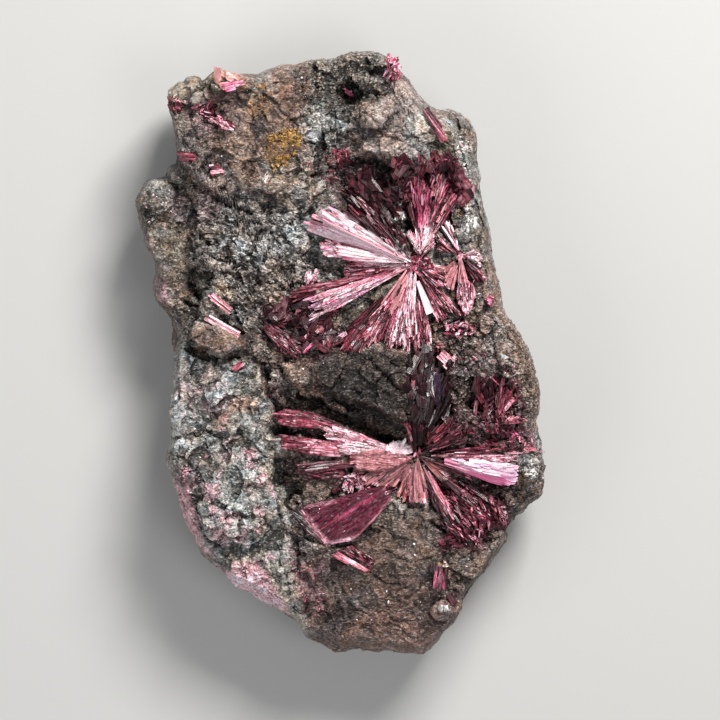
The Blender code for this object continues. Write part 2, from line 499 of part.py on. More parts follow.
def crust(name, ring, thick, lift, tree, material, step=FOOTPRINT_STEP):
    """A closed faceted body over a plan ring: its underside follows the rock with a gap, its top is crowned."""
    inner = []
    ring = divided(ring, step * 0.95)
    xs, ys = [p[0] for p in ring], [p[1] for p in ring]
    x0, y0 = min(xs), min(ys)
    rows = int((max(ys) - y0) / (step * 0.866)) + 2
    columns = int((max(xs) - x0) / step) + 2
    for j in range(rows):
        for i in range(columns):
            inner.append((x0 + (i + 0.5 * (j % 2)) * step + 0.37, y0 + j * step * 0.866 + 0.21))
    px, py = np.array([p[0] for p in inner]), np.array([p[1] for p in inner])
    keep = inside_of(px, py, ring) & (line_distance(px, py, ring, True) > step * 0.42)
    points = [Vector(p) for p in ring] + [Vector(p) for p, k in zip(inner, keep) if k]
    n = len(ring)
    flat, _, triangles, _, _, _ = delaunay_2d_cdt(points, [(i, (i + 1) % n) for i in range(n)], [list(range(n))], 1, 1e-4)
    flat = [(p.x, p.y) for p in flat]
    fx, fy = np.array([p[0] for p in flat]), np.array([p[1] for p in flat])
    edge = line_distance(fx, fy, ring, True)
    low = np.array([rock_top(tree, x, y) for x, y in flat]) + GAP_MM + lift
    # straighten the crystals: bridge the hollows of the rock, and never dip into it
    near = np.hypot(fx[:, None] - fx[None, :], fy[:, None] - fy[None, :]) < BRIDGE_U
    floor = low.copy()
    for _ in range(3):
        low = np.maximum(floor, (near * low[None, :]).sum(1) / near.sum(1))
    crown = 0.5 + 0.5 * smooth(0, max(edge.max() * 0.7, 1.0), edge)
    high = low + thick * crown
    k = len(flat)
    verts = np.concatenate([to_world(fx, fy, high), to_world(fx, fy, low)])
    faces = []
    border = {}
    for a, b, c in triangles:
        area = (flat[b][0] - flat[a][0]) * (flat[c][1] - flat[a][1]) - (flat[b][1] - flat[a][1]) * (flat[c][0] - flat[a][0])
        if area > 0:      # y runs down, so a positive area here is clockwise seen from above
            a, b, c = a, c, b
        faces.append((a, b, c))
        faces.append((a + k, c + k, b + k))
        for e in ((a, b), (b, c), (c, a)):
            if (e[1], e[0]) in border:
                del border[(e[1], e[0])]
            else:
                border[e] = True
    for a, b in border:
        faces.append((b, a, a + k))
        faces.append((b, a + k, b + k))
    return new_object(name, verts, faces, material)


def main():
    for obj in list(bpy.data.objects):
        bpy.data.objects.remove(obj)
    rock = make_material("ore_matrix", (0.13, 0.105, 0.09), 0.78)
    crimson = make_material("erythrite_crimson", (0.30, 0.035, 0.10), 0.32)
    pink = make_material("erythrite_pink", (0.72, 0.33, 0.45), 0.35)
    holder = bpy.data.objects.new("erythrite_specimen", None)
    bpy.context.scene.collection.objects.link(holder)
    made = []
    matrix, tree = make_rock(rock)
    made.append(matrix)
    for name, fans, centre, thick in (("upper_spray", UPPER_FANS, UPPER_CENTRE, SPRAY_MM), ("right_spray", RIGHT_FANS, RIGHT_CENTRE, 1.5),
                                      ("lower_spray", LOWER_FANS, LOWER_CENTRE, SPRAY_MM)):
        made.append(crust(name, footprint(fans, centre), thick, 0.0, tree, crimson))
    pale = ("pale_blade", "pale_grain", "left_lath_upper", "left_lath_lower", "top_edge_crystals", "chip_group")
    for name, (ring, thick, lift) in SINGLES.items():
        made.append(crust(name, ring, thick, lift, tree, pink if name in pale else crimson, 9.0))
    for obj in made:
        obj.parent = holder


main()
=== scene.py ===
"""Looks of the erythrite specimen: the broken ore with its crusts and grains, and the crystals blade by blade.

The specimen lies on its back, crystal face up.  Plan positions are in drawing units, as in the layout
below: 1 u = 0.16 mm, x to the right and y down the face.  Heights are in millimetres above the resting face.
"""
import json
import math

import bpy
import numpy as np
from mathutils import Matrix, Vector
from mathutils.bvhtree import BVHTree


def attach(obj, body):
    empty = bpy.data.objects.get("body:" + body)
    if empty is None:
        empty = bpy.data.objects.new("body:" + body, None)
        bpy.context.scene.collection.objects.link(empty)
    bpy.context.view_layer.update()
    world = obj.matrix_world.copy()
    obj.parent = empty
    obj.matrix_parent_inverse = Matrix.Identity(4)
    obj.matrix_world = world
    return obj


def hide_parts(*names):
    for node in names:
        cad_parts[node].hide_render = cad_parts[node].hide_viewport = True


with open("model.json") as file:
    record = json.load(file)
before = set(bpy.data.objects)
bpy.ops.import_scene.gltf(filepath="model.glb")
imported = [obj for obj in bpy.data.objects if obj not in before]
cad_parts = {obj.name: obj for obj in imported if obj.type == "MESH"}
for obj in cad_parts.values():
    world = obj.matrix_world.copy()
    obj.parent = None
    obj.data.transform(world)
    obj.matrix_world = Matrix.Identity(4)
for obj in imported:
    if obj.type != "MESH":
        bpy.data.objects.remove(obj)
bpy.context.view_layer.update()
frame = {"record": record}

GRID = 430          # cells across the sculpted face
RINGS = 46           # rings down the sides
ROCK_TRIANGLES = 198000
# ---------------------------------------------------------------- shared shape of the rock
# Every plan position below is in drawing units ("u"): 1 u = 0.16 mm on the specimen, x to the
# right and y DOWN the specimen's face, as it is laid out face-on.  Heights are in millimetres.
UNIT = 0.00016            # metres per drawing unit: fixes the 66.5 x 98 mm plan size
CX, CY = 339.35, 353.4    # drawing point that lies over the origin (middle of the plan box)
POLE = (340.0, 350.0)     # the outline is star-shaped about this point
BASE_MM = 19.0            # general level of the crystal-bearing face above the resting face
RIM_MM = 9.0              # mean height of the widest line of the rock (its silhouette)
FOOT_SCALE = 0.83         # the resting face's outline, as a share of the silhouette

# Silhouette of the rock, clockwise from the upper left corner.
OUTLINE = [
    (166, 96), (168, 86), (177, 79), (187, 74.5), (195, 75), (201, 76.5), (208, 71.5), (214, 67), (222, 68), (235, 70.5),
    (246, 70.5), (258, 69.5), (267, 65.5), (276, 63), (285, 61.5), (296, 61.5), (304, 58.5), (312, 55.5), (327, 56), (338, 52.5),
    (350, 48.5), (367, 47.5), (380, 48), (386, 52.5), (392, 55.5), (398, 60), (401, 69.5), (408, 79), (416, 89.5), (424, 99),
    (430, 103.5), (436, 107), (443, 107.5), (451, 107.5), (462, 110.5), (472, 118.5), (478, 130), (479.5, 143), (478, 158.5), (481, 174),
    (480.5, 185.5), (485, 208.5), (490, 227.5), (491, 250.5), (495, 268), (502, 289), (503.5, 307), (512, 317.5), (524, 340), (530, 352),
    (538, 375), (541, 390), (540, 405), (538.5, 420), (540.5, 437), (544.5, 447), (547, 467), (546.5, 487), (543.5, 496.5), (533, 504.5),
    (525, 514.5), (515, 518.5), (508, 532), (508.5, 544), (495, 559), (483.5, 575.5), (479, 581), (468.5, 591.5), (462.5, 603), (463.5, 612),
    (455.5, 626.5), (443.5, 637), (438.5, 645.5), (432, 652), (424.5, 659.5), (416, 659), (404, 657.5), (386.5, 656.5), (379, 658), (370, 655),
    (363, 653), (352.5, 654), (344, 656.5), (335, 656.5), (327.5, 652), (317.5, 645), (305.5, 639), (301.5, 634), (300.5, 628.5), (290, 621),
    (275, 611.5), (262, 604), (250.5, 597.5), (234, 590), (224, 579.5), (218, 570.5), (208, 566), (198.5, 555), (194.5, 545), (194, 536.5),
    (187, 524.5), (181, 510), (175, 496), (171, 483.5), (170, 473.5), (164, 463), (165, 453), (170, 443), (169, 426.5), (166.5, 414),
    (167, 402), (173.5, 390), (171, 377.5), (171, 359), (172, 347), (170, 330.5), (168, 317), (161.5, 307.5), (151.5, 292.5), (151.5, 283),
    (153.5, 275), (151.5, 260), (141, 241), (140, 229.5), (135.5, 212), (131.5, 199), (135.5, 189), (145, 178.5), (156.5, 176), (164, 174),
    (167, 166.5), (175.5, 163), (177.5, 156.5), (173.5, 143), (172.5, 126), (169, 110.5),
]


def smooth(a, b, x):
    t = np.clip((x - a) / (b - a), 0.0, 1.0)
    return t * t * (3 - 2 * t)


def lattice(ix, iy, iz, seed):
    """A repeatable number from 0 to 1 for each lattice point."""
    h = (ix.astype(np.int64) * 374761393 + iy.astype(np.int64) * 668265263 + iz.astype(np.int64) * 2147483647 + seed * 974634777) & 0xFFFFFFFF
    h = ((h ^ (h >> 13)) * 1274126177) & 0xFFFFFFFF
    h = ((h ^ (h >> 16)) * 2246822519) & 0xFFFFFFFF
    h = h ^ (h >> 15)
    return (h & 0xFFFFFF) / float(0xFFFFFF)


def value_noise(p, seed):
    """Smooth noise from -1 to 1 at points p (N, 3)."""
    q = np.floor(p).astype(np.int64)
    f = p - q
    f = f * f * f * (f * (f * 6 - 15) + 10)
    total = 0.0
    for dx in (0, 1):
        for dy in (0, 1):
            for dz in (0, 1):
                w = (f[:, 0] if dx else 1 - f[:, 0]) * (f[:, 1] if dy else 1 - f[:, 1]) * (f[:, 2] if dz else 1 - f[:, 2])
                total = total + w * lattice(q[:, 0] + dx, q[:, 1] + dy, q[:, 2] + dz, seed)
    return total * 2 - 1


def fractal(p, octaves, seed, gain=0.5, ridged=False):
    total, amp, norm = 0.0, 1.0, 0.0
    for k in range(octaves):
        n = value_noise(p * (2.03 ** k) + 17.3 * k, seed + 31 * k)
        total = total + amp * ((1 - 2 * np.abs(n)) if ridged else n)
        norm += amp
        amp *= gain
    return total / norm


def cells(p, seed, jitter=0.9):
    """Nearest and second nearest distance to scattered points, the nearest point, and a number for it."""
    q = np.floor(p).astype(np.int64)
    n = len(p)
    best, second = np.full(n, 1e9), np.full(n, 1e9)
    near, tag = np.zeros((n, 3)), np.zeros(n)
    for dx in (-1, 0, 1):
        for dy in (-1, 0, 1):
            for dz in (-1, 0, 1):
                ix, iy, iz = q[:, 0] + dx, q[:, 1] + dy, q[:, 2] + dz
                c = np.stack([ix + 0.5 + jitter * (lattice(ix, iy, iz, seed) - 0.5), iy + 0.5 + jitter * (lattice(ix, iy, iz, seed + 1) - 0.5),
                              iz + 0.5 + jitter * (lattice(ix, iy, iz, seed + 2) - 0.5)], 1)
                d = np.sqrt(((p - c) ** 2).sum(1))
                closer = d < best
                second = np.where(closer, best, np.minimum(second, d))
                near[closer] = c[closer]
                tag = np.where(closer, lattice(ix, iy, iz, seed + 3), tag)
                best = np.where(closer, d, best)
    return best, second, near, tag


def chips(p, seed, tilt=1.0):
    """Broken-rock relief from about -1 to 1: each cell is its own tilted flat face."""
    f1, f2, near, tag = cells(p, seed)
    a = lattice((tag * 1e6).astype(np.int64), (tag * 3e5).astype(np.int64), np.zeros(len(p), np.int64), seed + 7) * 2 * np.pi
    d = p - near
    return tilt * (d[:, 0] * np.cos(a) + d[:, 1] * np.sin(a)) + (tag - 0.5)


def plan3(x, y, scale, z=0.0):
    return np.stack([x / scale, y / scale, np.full(len(x), float(z))], 1)


def line_distance(x, y, line, closed=False):
    """Distance from each point to a polyline."""
    ends = line + [line[0]] if closed else line
    best = np.full(len(x), 1e9)
    for (x0, y0), (x1, y1) in zip(ends[:-1], ends[1:]):
        dx, dy = x1 - x0, y1 - y0
        t = np.clip(((x - x0) * dx + (y - y0) * dy) / max(dx * dx + dy * dy, 1e-9), 0, 1)
        best = np.minimum(best, np.hypot(x - x0 - t * dx, y - y0 - t * dy))
    return best


def inside_of(x, y, ring):
    odd = np.zeros(len(x), bool)
    for (x0, y0), (x1, y1) in zip(ring, ring[1:] + ring[:1]):
        if y0 == y1:
            continue
        crosses = ((y0 > y) != (y1 > y)) & (x < (x1 - x0) * (y - y0) / (y1 - y0) + x0)
        odd ^= crosses
    return odd


def patch(x, y, ring, soft):
    """1 inside a ring of plan points, 0 outside, with an edge 2 * soft wide."""
    d = line_distance(x, y, ring, True)
    d = np.where(inside_of(x, y, ring), d, -d)
    return smooth(-soft, soft, d)


def oval(x, y, cx, cy, rx, ry, turn=0.0):
    """Distance from an oval's centre, 1 on its edge."""
    a = np.radians(turn)
    u, v = (x - cx) * np.cos(a) - (y - cy) * np.sin(a), (x - cx) * np.sin(a) + (y - cy) * np.cos(a)
    return np.hypot(u / rx, v / ry)


# Terraces and hollows of the crystal-bearing face: ring of plan points, rise in mm, edge softness in u.
TERRACES = [
    ([(120, 155), (176, 160), (186, 172), (198, 200), (194, 255), (206, 300), (182, 345), (140, 345), (110, 250)], -4.2, 7),      # left lobe
    ([(150, 50), (246, 50), (262, 110), (250, 160), (215, 200), (183, 168), (150, 150)], 1.6, 9),                                 # upper left block
    ([(240, 50), (310, 40), (325, 110), (318, 165), (285, 205), (235, 190), (225, 130)], 1.2, 8),                                 # brown upper face
    ([(186, 205), (240, 190), (300, 210), (330, 240), (300, 330), (250, 340), (205, 290)], -1.6, 14),                             # granular trough
    ([(308, 45), (350, 35), (402, 50), (392, 108), (365, 135), (330, 150), (318, 110)], 1.0, 6),                                  # dark upper ridge
    ([(362, 112), (398, 84), (432, 100), (462, 140), (468, 166), (430, 171), (395, 166), (360, 152)], 2.0, 6),                    # upper right plate
    ([(436, 95), (480, 95), (500, 140), (500, 200), (466, 196), (462, 165), (456, 135)], -4.0, 5),                                # pale grey lobe
    ([(330, 168), (360, 157), (400, 163), (445, 168), (466, 186), (472, 214), (450, 236), (425, 226), (405, 240), (370, 236), (342, 215)], -3.0, 8),  # dark pocket
    ([(300, 215), (360, 235), (430, 235), (480, 225), (492, 290), (480, 330), (430, 350), (350, 355), (300, 335), (275, 300)], -0.8, 16),
    ([(316, 354), (350, 346), (395, 350), (428, 362), (432, 400), (424, 433), (396, 424), (365, 407), (333, 396), (313, 376)], 3.6, 5),     # centre boulder
    ([(284, 364), (316, 358), (322, 386), (346, 412), (326, 403), (300, 393)], 1.8, 4),                                           # ledge beside it
    ([(285, 410), (330, 420), (400, 440), (470, 430), (525, 445), (525, 490), (460, 520), (430, 500), (380, 500), (300, 510), (275, 460)], -0.9, 10),
    ([(160, 395), (215, 380), (262, 400), (280, 440), (282, 500), (270, 560), (245, 600), (200, 575), (165, 500), (155, 440)], 0.8, 14),    # crusted mound
    ([(440, 330), (500, 315), (545, 360), (560, 430), (500, 450), (452, 440), (442, 400)], 0.9, 9),                               # right shoulder
    ([(409, 356), (440, 352), (450, 400), (446, 447), (412, 449), (408, 400)], -1.8, 5),                                          # dark upright pocket
    ([(300, 545), (360, 560), (440, 540), (500, 530), (520, 600), (420, 680), (330, 680), (296, 610)], 0.5, 10),                  # lower brown face
]
# Ovals: centre, half axes, turn in degrees, rise in mm, edge softness as a share of the radius (0 means a dome).
OVALS = [
    (353, 96, 15, 9, 20, -3.2, 0.45), (288, 486, 15, 26, 8, -3.4, 0.5), (216, 339, 29, 13, -8, 2.6, 0.22), (201, 281, 13, 15, 20, -2.4, 0.45),
    (490, 398, 20, 22, 0, -2.4, 0.4), (441, 611, 12, 10.5, -15, 2.6, 0.0), (311, 630, 13, 8, -30, 1.2, 0.0), (232, 84, 20, 14, 25, 1.8, 0.5),
    (205, 258, 15, 12, 30, 1.2, 0.0), (154, 196, 20, 18, 0, 1.8, 0.0), (160, 250, 22, 30, 0, 1.4, 0.0), (252, 440, 24, 20, 0, 0.9, 0.0),
    (232, 505, 34, 42, 0, 1.1, 0.0), (180, 455, 16, 14, 0, 1.2, 0.3), (228, 424, 24, 9, 10, 0.9, 0.3), (370, 118, 22, 14, 10, 0.8, 0.0),
    (300, 376, 12, 8, 20, 1.0, 0.4), (470, 350, 26, 16, -20, 0.7, 0.0), (508, 352, 12, 10, 0, 1.3, 0.0), (392, 222, 13, 10, 20, 2.0, 0.35),
    (394, 243, 12, 8, -20, 1.2, 0.3), (521, 468, 15, 11, 0, 1.6, 0.3), (463, 217, 12, 22, 12, 1.2, 0.2), (190, 330, 14, 10, 0, 1.0, 0.0),
]
# Cracks, troughs and ribs: line, half width in u, rise in mm.
LINES = [
    ([(318, 404), (348, 421), (380, 437), (414, 447)], 11, -2.6), ([(266, 362), (284, 430), (291, 500), (295, 560), (306, 616)], 8, -1.7),
    ([(190, 352), (214, 358), (247, 353)], 5, -1.8), ([(177, 160), (198, 186), (226, 206), (252, 214)], 5, -1.5),
    ([(312, 60), (318, 108), (322, 150), (312, 176)], 4, -1.2), ([(362, 152), (330, 178), (306, 206)], 6, 0.9),
    ([(298, 395), (325, 402), (346, 414)], 3, -1.6), ([(200, 76), (214, 90), (226, 96)], 3, 1.4),
    ([(455, 112), (458, 140), (466, 168), (462, 186)], 3, -1.0), ([(470, 250), (486, 290), (498, 318), (516, 340)], 4, 0.9),
    ([(420, 460), (470, 466), (545, 452)], 4, -0.8), ([(336, 586), (341, 606), (346, 628)], 5, -0.2),
    ([(300, 560), (330, 600), (345, 650)], 5, 0.8), ([(430, 520), (470, 545), (505, 540)], 4, -0.8), ([(370, 360), (398, 390), (424, 402)], 4, -0.7),
    ([(300, 300), (330, 330), (345, 352)], 4, -0.9), ([(186, 300), (216, 312), (240, 332)], 3, -1.2), ([(342, 570), (380, 560), (430, 566)], 9, 0.35),
]


# Old, smooth faces, where the rock is hardly chipped: ring, edge softness, share of the chipping that is missing.
CALM = [
    ([(296, 560), (340, 552), (385, 528), (428, 520), (440, 580), (440, 640), (430, 690), (320, 690), (300, 610)], 10, 0.80),
    ([(222, 84), (300, 66), (304, 130), (290, 190), (240, 200), (214, 150)], 10, 0.60), ([(160, 62), (216, 62), (222, 96), (204, 108), (168, 106)], 6, 0.45),
    ([(118, 165), (184, 160), (192, 215), (192, 290), (150, 300), (110, 230)], 8, 0.45), ([(192, 328), (250, 326), (252, 350), (200, 356)], 4, 0.70),
    ([(356, 116), (398, 86), (440, 108), (462, 150), (450, 168), (400, 164), (362, 156)], 8, 0.45),
]


def outline_radius(angle):
    """Distance from the pole to the silhouette, in u. The angle grows from +x towards +Y (up the face)."""
    a = np.array([math.atan2(POLE[1] - y, x - POLE[0]) for x, y in OUTLINE])
    r = np.array([math.hypot(x - POLE[0], y - POLE[1]) for x, y in OUTLINE])
    order = np.argsort(a)
    a, r = a[order], r[order]
    a = np.concatenate([a[-3:] - 2 * np.pi, a, a[:3] + 2 * np.pi])
    r = np.concatenate([r[-3:], r, r[:3]])
    return np.interp(angle, a, r)


def face_height(x, y):
    """The crystal-bearing face, in mm, before the rounding at the rim."""
    wx = x + 5.0 * fractal(plan3(x, y, 38), 3, 11) + 1.8 * fractal(plan3(x, y, 9), 2, 12)
    wy = y + 5.0 * fractal(plan3(x, y, 38), 3, 21) + 1.8 * fractal(plan3(x, y, 9), 2, 22)
    h = BASE_MM + 1.1 * fractal(plan3(x, y, 120), 2, 5)
    h = h - 4.2 * smooth(545, 665, y) * smooth(270, 340, x) - 1.6 * smooth(430, 600, y) * smooth(320, 240, x)
    h = h - 1.4 * smooth(440, 540, x) * smooth(420, 560, y)
    for ring, rise, soft in TERRACES:
        h = h + rise * patch(wx, wy, ring, soft)
    for cx, cy, rx, ry, turn, rise, soft in OVALS:
        d = oval(wx * 0.6 + x * 0.4, wy * 0.6 + y * 0.4, cx, cy, rx, ry, turn)
        h = h + rise * (np.sqrt(np.clip(1 - d * d, 0, 1)) if soft == 0 else 1 - smooth(1 - soft, 1 + soft, d))
    for line, width, rise in LINES:
        d = line_distance(wx, wy, line)
        h = h + rise * (1 - smooth(0, width, d))
    calm = np.zeros(len(x))
    for ring, soft, share in CALM:
        calm = np.maximum(calm, share * patch(wx, wy, ring, soft))
    h = h + (1 - calm) * (0.75 * chips(plan3(wx, wy, 34, 0.3), 61, 1.1) + 0.35 * chips(plan3(wx, wy, 15, 0.7), 71, 1.2))
    return h


def rim_height(angle):
    return RIM_MM + 1.6 * np.sin(angle * 2 + 0.6) + 1.1 * np.sin(angle * 5 + 2.0) + 0.6 * np.sin(angle * 11 + 1.0)


def rim_width(angle):
    """How far in from the silhouette the face starts to roll over, in u. The right side shows a wide side face."""
    d = np.degrees(angle)
    return 12 + 13 * smooth(-52, -25, d) * smooth(84, 60, d) + 5 * smooth(-150, -120, d) * smooth(-60, -95, d) + 3 * np.sin(angle * 7)


def top_height(x, y):
    """Height in mm of the rock's upper side anywhere inside its silhouette."""
    dx, dy = x - POLE[0], POLE[1] - y
    angle = np.arctan2(dy, dx)
    gap = np.maximum(outline_radius(angle) - np.hypot(dx, dy), 0)
    w = rim_width(angle)
    k = np.clip(gap / w, 0, 1)
    roll = 0.35 * k + 0.65 * np.sqrt(np.clip(1 - (1 - k) ** 2, 0, 1))
    rim = rim_height(angle)
    return rim + (face_height(x, y) - rim) * roll


def to_world(x, y, mm):
    return np.stack([(x - CX) * UNIT, (CY - y) * UNIT, np.asarray(mm) * 0.001], -1)


def disc_grid(n):
    """A square grid of (n + 1)^2 points pressed onto the unit disc: its radius and angle, row by row."""
    s = np.linspace(-1, 1, n + 1)
    u, v = np.meshgrid(s, s)
    px, py = u * np.sqrt(1 - v * v / 2), v * np.sqrt(1 - u * u / 2)
    return np.hypot(px, py).ravel(), np.arctan2(py, px).ravel()


def grid_edge(n):
    """Indices of that grid's edge points, counter-clockwise."""
    w = n + 1
    return ([i for i in range(n)] + [i * w + n for i in range(n)] + [n * w + n - i for i in range(n)] + [(n - i) * w for i in range(n)])


def side_point(angle, drop):
    """Side of the rock: drop 0 is the silhouette, 1 the edge of the resting face. Returns the share of the outline radius, and mm."""
    rim = rim_height(angle)
    ledge = 0.5 + 0.5 * np.sin(angle * 3 + 1.3)
    pull = (1 - FOOT_SCALE) * (drop ** 1.7 * (0.85 + 0.3 * ledge))
    z = rim * (1 - drop) ** (0.85 + 0.25 * ledge)
    r = outline_radius(angle)
    p = np.stack([r * np.cos(angle), r * np.sin(angle), z * 6.25 * 0.8], 1)
    broken = 0.5 + 0.55 * chips(p / 30.0, 85, 0.9) + 0.25 * fractal(p / 14.0, 2, 86)
    return 1 - pull - smooth(0.0, 0.3, drop) * 0.045 * np.clip(broken, 0, 1.2), z


def foot_height(share, angle):
    """The underside, in mm: flat where the rock rests, chipped up towards its edge. share is 0 at the middle and 1 at its edge."""
    lift = smooth(0.70 + 0.12 * np.sin(angle * 2 + 1.0) + 0.07 * np.sin(angle * 5), 1.0, share)
    return 1.5 * lift * (0.75 + 0.4 * np.sin(angle * 4 + 0.5))


# ---------------------------------------------------------------- meshes from arrays
def mesh_object(name, verts, faces, sizes, colours=None, marks=None, smooth_faces=False):
    """verts (N, 3); faces: flat list of corner indices; sizes: corners of each face."""
    mesh = bpy.data.meshes.new(name)
    mesh.vertices.add(len(verts))
    mesh.vertices.foreach_set("co", np.ascontiguousarray(verts, np.float32).ravel())
    mesh.loops.add(len(faces))
    mesh.loops.foreach_set("vertex_index", np.ascontiguousarray(faces, np.int32))
    sizes = np.asarray(sizes, np.int32)
    starts = np.concatenate([[0], np.cumsum(sizes)[:-1]]).astype(np.int32)
    mesh.polygons.add(len(sizes))
    mesh.polygons.foreach_set("loop_start", starts)
    mesh.polygons.foreach_set("use_smooth", np.full(len(sizes), smooth_faces))
    mesh.update(calc_edges=True)
    mesh.validate()
    if colours is not None:
        put_colour(mesh, "tone", colours)
    if marks is not None:
        layer = mesh.attributes.new("crystal", "FLOAT_VECTOR", "POINT")
        layer.data.foreach_set("vector", np.ascontiguousarray(marks, np.float32).ravel())
    obj = bpy.data.objects.new(name, mesh)
    bpy.context.scene.collection.objects.link(obj)
    return obj


def put_colour(mesh, name, colours):
    layer = mesh.attributes.new(name, "FLOAT_COLOR", "POINT")
    rgba = np.concatenate([np.clip(colours, 0, 1), np.ones((len(colours), 1))], 1)
    layer.data.foreach_set("color", np.ascontiguousarray(rgba, np.float32).ravel())


def put_value(mesh, name, values):
    layer = mesh.attributes.new(name, "FLOAT", "POINT")
    layer.data.foreach_set("value", np.ascontiguousarray(values, np.float32))


def coordinates(mesh):
    co = np.empty(len(mesh.vertices) * 3, np.float32)
    mesh.vertices.foreach_get("co", co)
    return co.reshape(-1, 3).astype(float)


def vertex_normals(mesh):
    n = np.empty(len(mesh.vertices) * 3, np.float32)
    mesh.vertex_normals.foreach_get("vector", n)
    return n.reshape(-1, 3).astype(float)


def plan_of(co):
    """Plan position in u, and height in mm, of points in metres."""
    return co[:, 0] / UNIT + CX, CY - co[:, 1] / UNIT, co[:, 2] * 1000


# ---------------------------------------------------------------- the rock's regions
def region(x, y, ring, soft):
    return patch(x, y, ring, soft)


def warped(x, y, amount, scale, seed):
    return (x + amount * fractal(plan3(x, y, scale), 3, seed), y + amount * fractal(plan3(x, y, scale), 3, seed + 50))


CRUST = [(166, 345), (205, 350), (252, 366), (272, 395), (284, 440), (290, 500), (292, 560), (306, 640), (262, 615), (205, 585), (160, 500), (155, 430)]
TROUGH = [(190, 212), (232, 196), (292, 214), (322, 250), (318, 300), (262, 330), (226, 312), (196, 285)]
LEFT_LOBE = [(118, 170), (184, 166), (200, 215), (194, 262), (206, 300), (190, 350), (150, 330), (110, 240)]
BOULDER = [(314, 356), (350, 348), (396, 351), (428, 364), (434, 400), (424, 436), (394, 426), (362, 410), (330, 398), (312, 377)]
LOWER_FACE = [(296, 545), (340, 552), (380, 520), (430, 508), (480, 552), (508, 530), (500, 600), (430, 680), (320, 670), (300, 610)]
RIGHT_SHOULDER = [(436, 322), (505, 308), (556, 370), (556, 500), (505, 540), (470, 520), (462, 440), (446, 400)]


# How broken the surface is: 1 is coarse and hackly, 0.3 a smooth old face.
BREAKAGE = [
    ([(222, 84), (300, 70), (304, 130), (290, 190), (240, 200), (214, 150)], 10, 0.42),
    ([(160, 62), (216, 62), (222, 96), (204, 108), (168, 106)], 6, 0.22),
    ([(304, 48), (352, 40), (392, 52), (396, 80), (352, 112), (336, 160), (304, 150)], 8, 1.15),
    ([(356, 116), (398, 86), (440, 108), (462, 150), (450, 168), (400, 164), (362, 156)], 8, 0.50),
    ([(444, 100), (484, 108), (492, 210), (470, 200)], 5, 0.75),
    ([(118, 165), (184, 160), (192, 215), (192, 290), (150, 300), (110, 230)], 8, 0.62),
    ([(192, 205), (240, 196), (300, 214), (318, 250), (300, 300), (230, 330), (190, 270)], 9, 1.08),
    ([(192, 328), (250, 326), (252, 350), (200, 356)], 4, 0.30),
    ([(314, 356), (350, 348), (400, 351), (428, 370), (430, 420), (394, 424), (330, 396)], 4, 0.55),
    ([(296, 560), (340, 552), (380, 525), (424, 515), (436, 580), (440, 640), (430, 680), (320, 680), (300, 610)], 10, 0.34),
    ([(436, 322), (505, 308), (560, 370), (560, 500), (505, 540), (470, 520), (462, 440), (446, 400)], 10, 1.10),
    ([(264, 350), (290, 372), (300, 440), (312, 540), (296, 560), (284, 470), (270, 400)], 6, 1.3),
    ([(484, 200), (510, 260), (512, 320), (490, 300)], 5, 0.7),
    (CRUST, 8, 0.62),
]


# Small shapes: domes (centre, half axes, turn in degrees, rise in mm) and lines (points, half width in u, rise in mm).
DOMES = [(192, 79, 8, 6, -20, 0.9), (205, 86, 9, 8, 60, -0.7), (178, 93, 12, 9, -50, 0.35), (202, 284, 11, 14, 10, 0.8), (222, 286, 8, 10, -30, 0.6), (226, 82, 4, 4, 0, -0.9),
         (276, 186, 13, 10, 20, 0.6), (301, 192, 12, 9, -30, 0.55), (288, 172, 9, 7, 0, 0.45), (244, 250, 14, 9, -35, 0.5), (300, 238, 12, 8, -40, 0.5), (347, 94, 5, 4, 0, -0.5),
         (240, 462, 12, 10, 20, 0.55), (222, 488, 11, 10, 0, 0.5), (252, 496, 12, 11, 40, 0.5), (228, 520, 12, 10, -20, 0.55), (205, 508, 10, 9, 0, 0.4), (252, 528, 11, 9, 10, 0.4),
         (250, 402, 17, 6, -5, 0.5), (446, 606, 10, 11, 0, 0.35), (212, 548, 10, 8, 0, 0.45), (240, 562, 11, 8, 20, 0.45), (264, 590, 15, 10, 40, 0.3), (190, 524, 9, 14, 15, 0.35)]
SEAMS = [([(197, 82), (206, 93), (217, 105)], 3.0, 0.55), ([(214, 68), (219, 84), (222, 97)], 2.2, 0.5), ([(168, 104), (184, 108), (198, 108)], 2.5, -0.4), ([(333, 563), (341, 585), (348, 603), (350, 634)], 5.0, -0.22),
         ([(358, 563), (372, 572), (387, 581), (398, 583)], 2.2, -0.4), ([(353, 600), (374, 614), (412, 632)], 3.4, 0.25), ([(384, 548), (410, 560), (430, 556)], 3.0, -0.3), ([(306, 562), (318, 590), (330, 628)], 3.4, 0.3),
         ([(191, 240), (199, 262), (196, 288)], 3.6, -0.3), ([(281, 440), (292, 500), (293, 560), (307, 622)], 9.5, 1.15), ([(238, 96), (252, 118), (258, 150), (252, 176)], 3.4, -0.3), ([(262, 96), (284, 118), (296, 130)], 2.6, -0.35), ([(225, 150), (240, 160), (262, 158)], 3.0, 0.3),
         ([(366, 118), (384, 136), (404, 140), (430, 134)], 2.6, -0.35), ([(392, 92), (404, 112), (420, 122)], 3.0, 0.35)]
SKEW = np.array([[0.7786, 0.5450, -0.3109], [-0.4201, 0.8172, 0.3946], [0.4662, -0.1767, 0.8669]])


def rim_share(x, y):
    """0 at the middle of the face, 1 on the outline."""
    dx, dy = x - POLE[0], POLE[1] - y
    return np.hypot(dx, dy) / outline_radius(np.arctan2(dy, dx))


def breakage(x, y):
    wx, wy = warped(x, y, 5, 20, 305)
    rough = np.full(len(x), 0.80)
    for ring, soft, value in BREAKAGE:
        rough += (value - rough) * patch(wx, wy, ring, soft)
    return rough


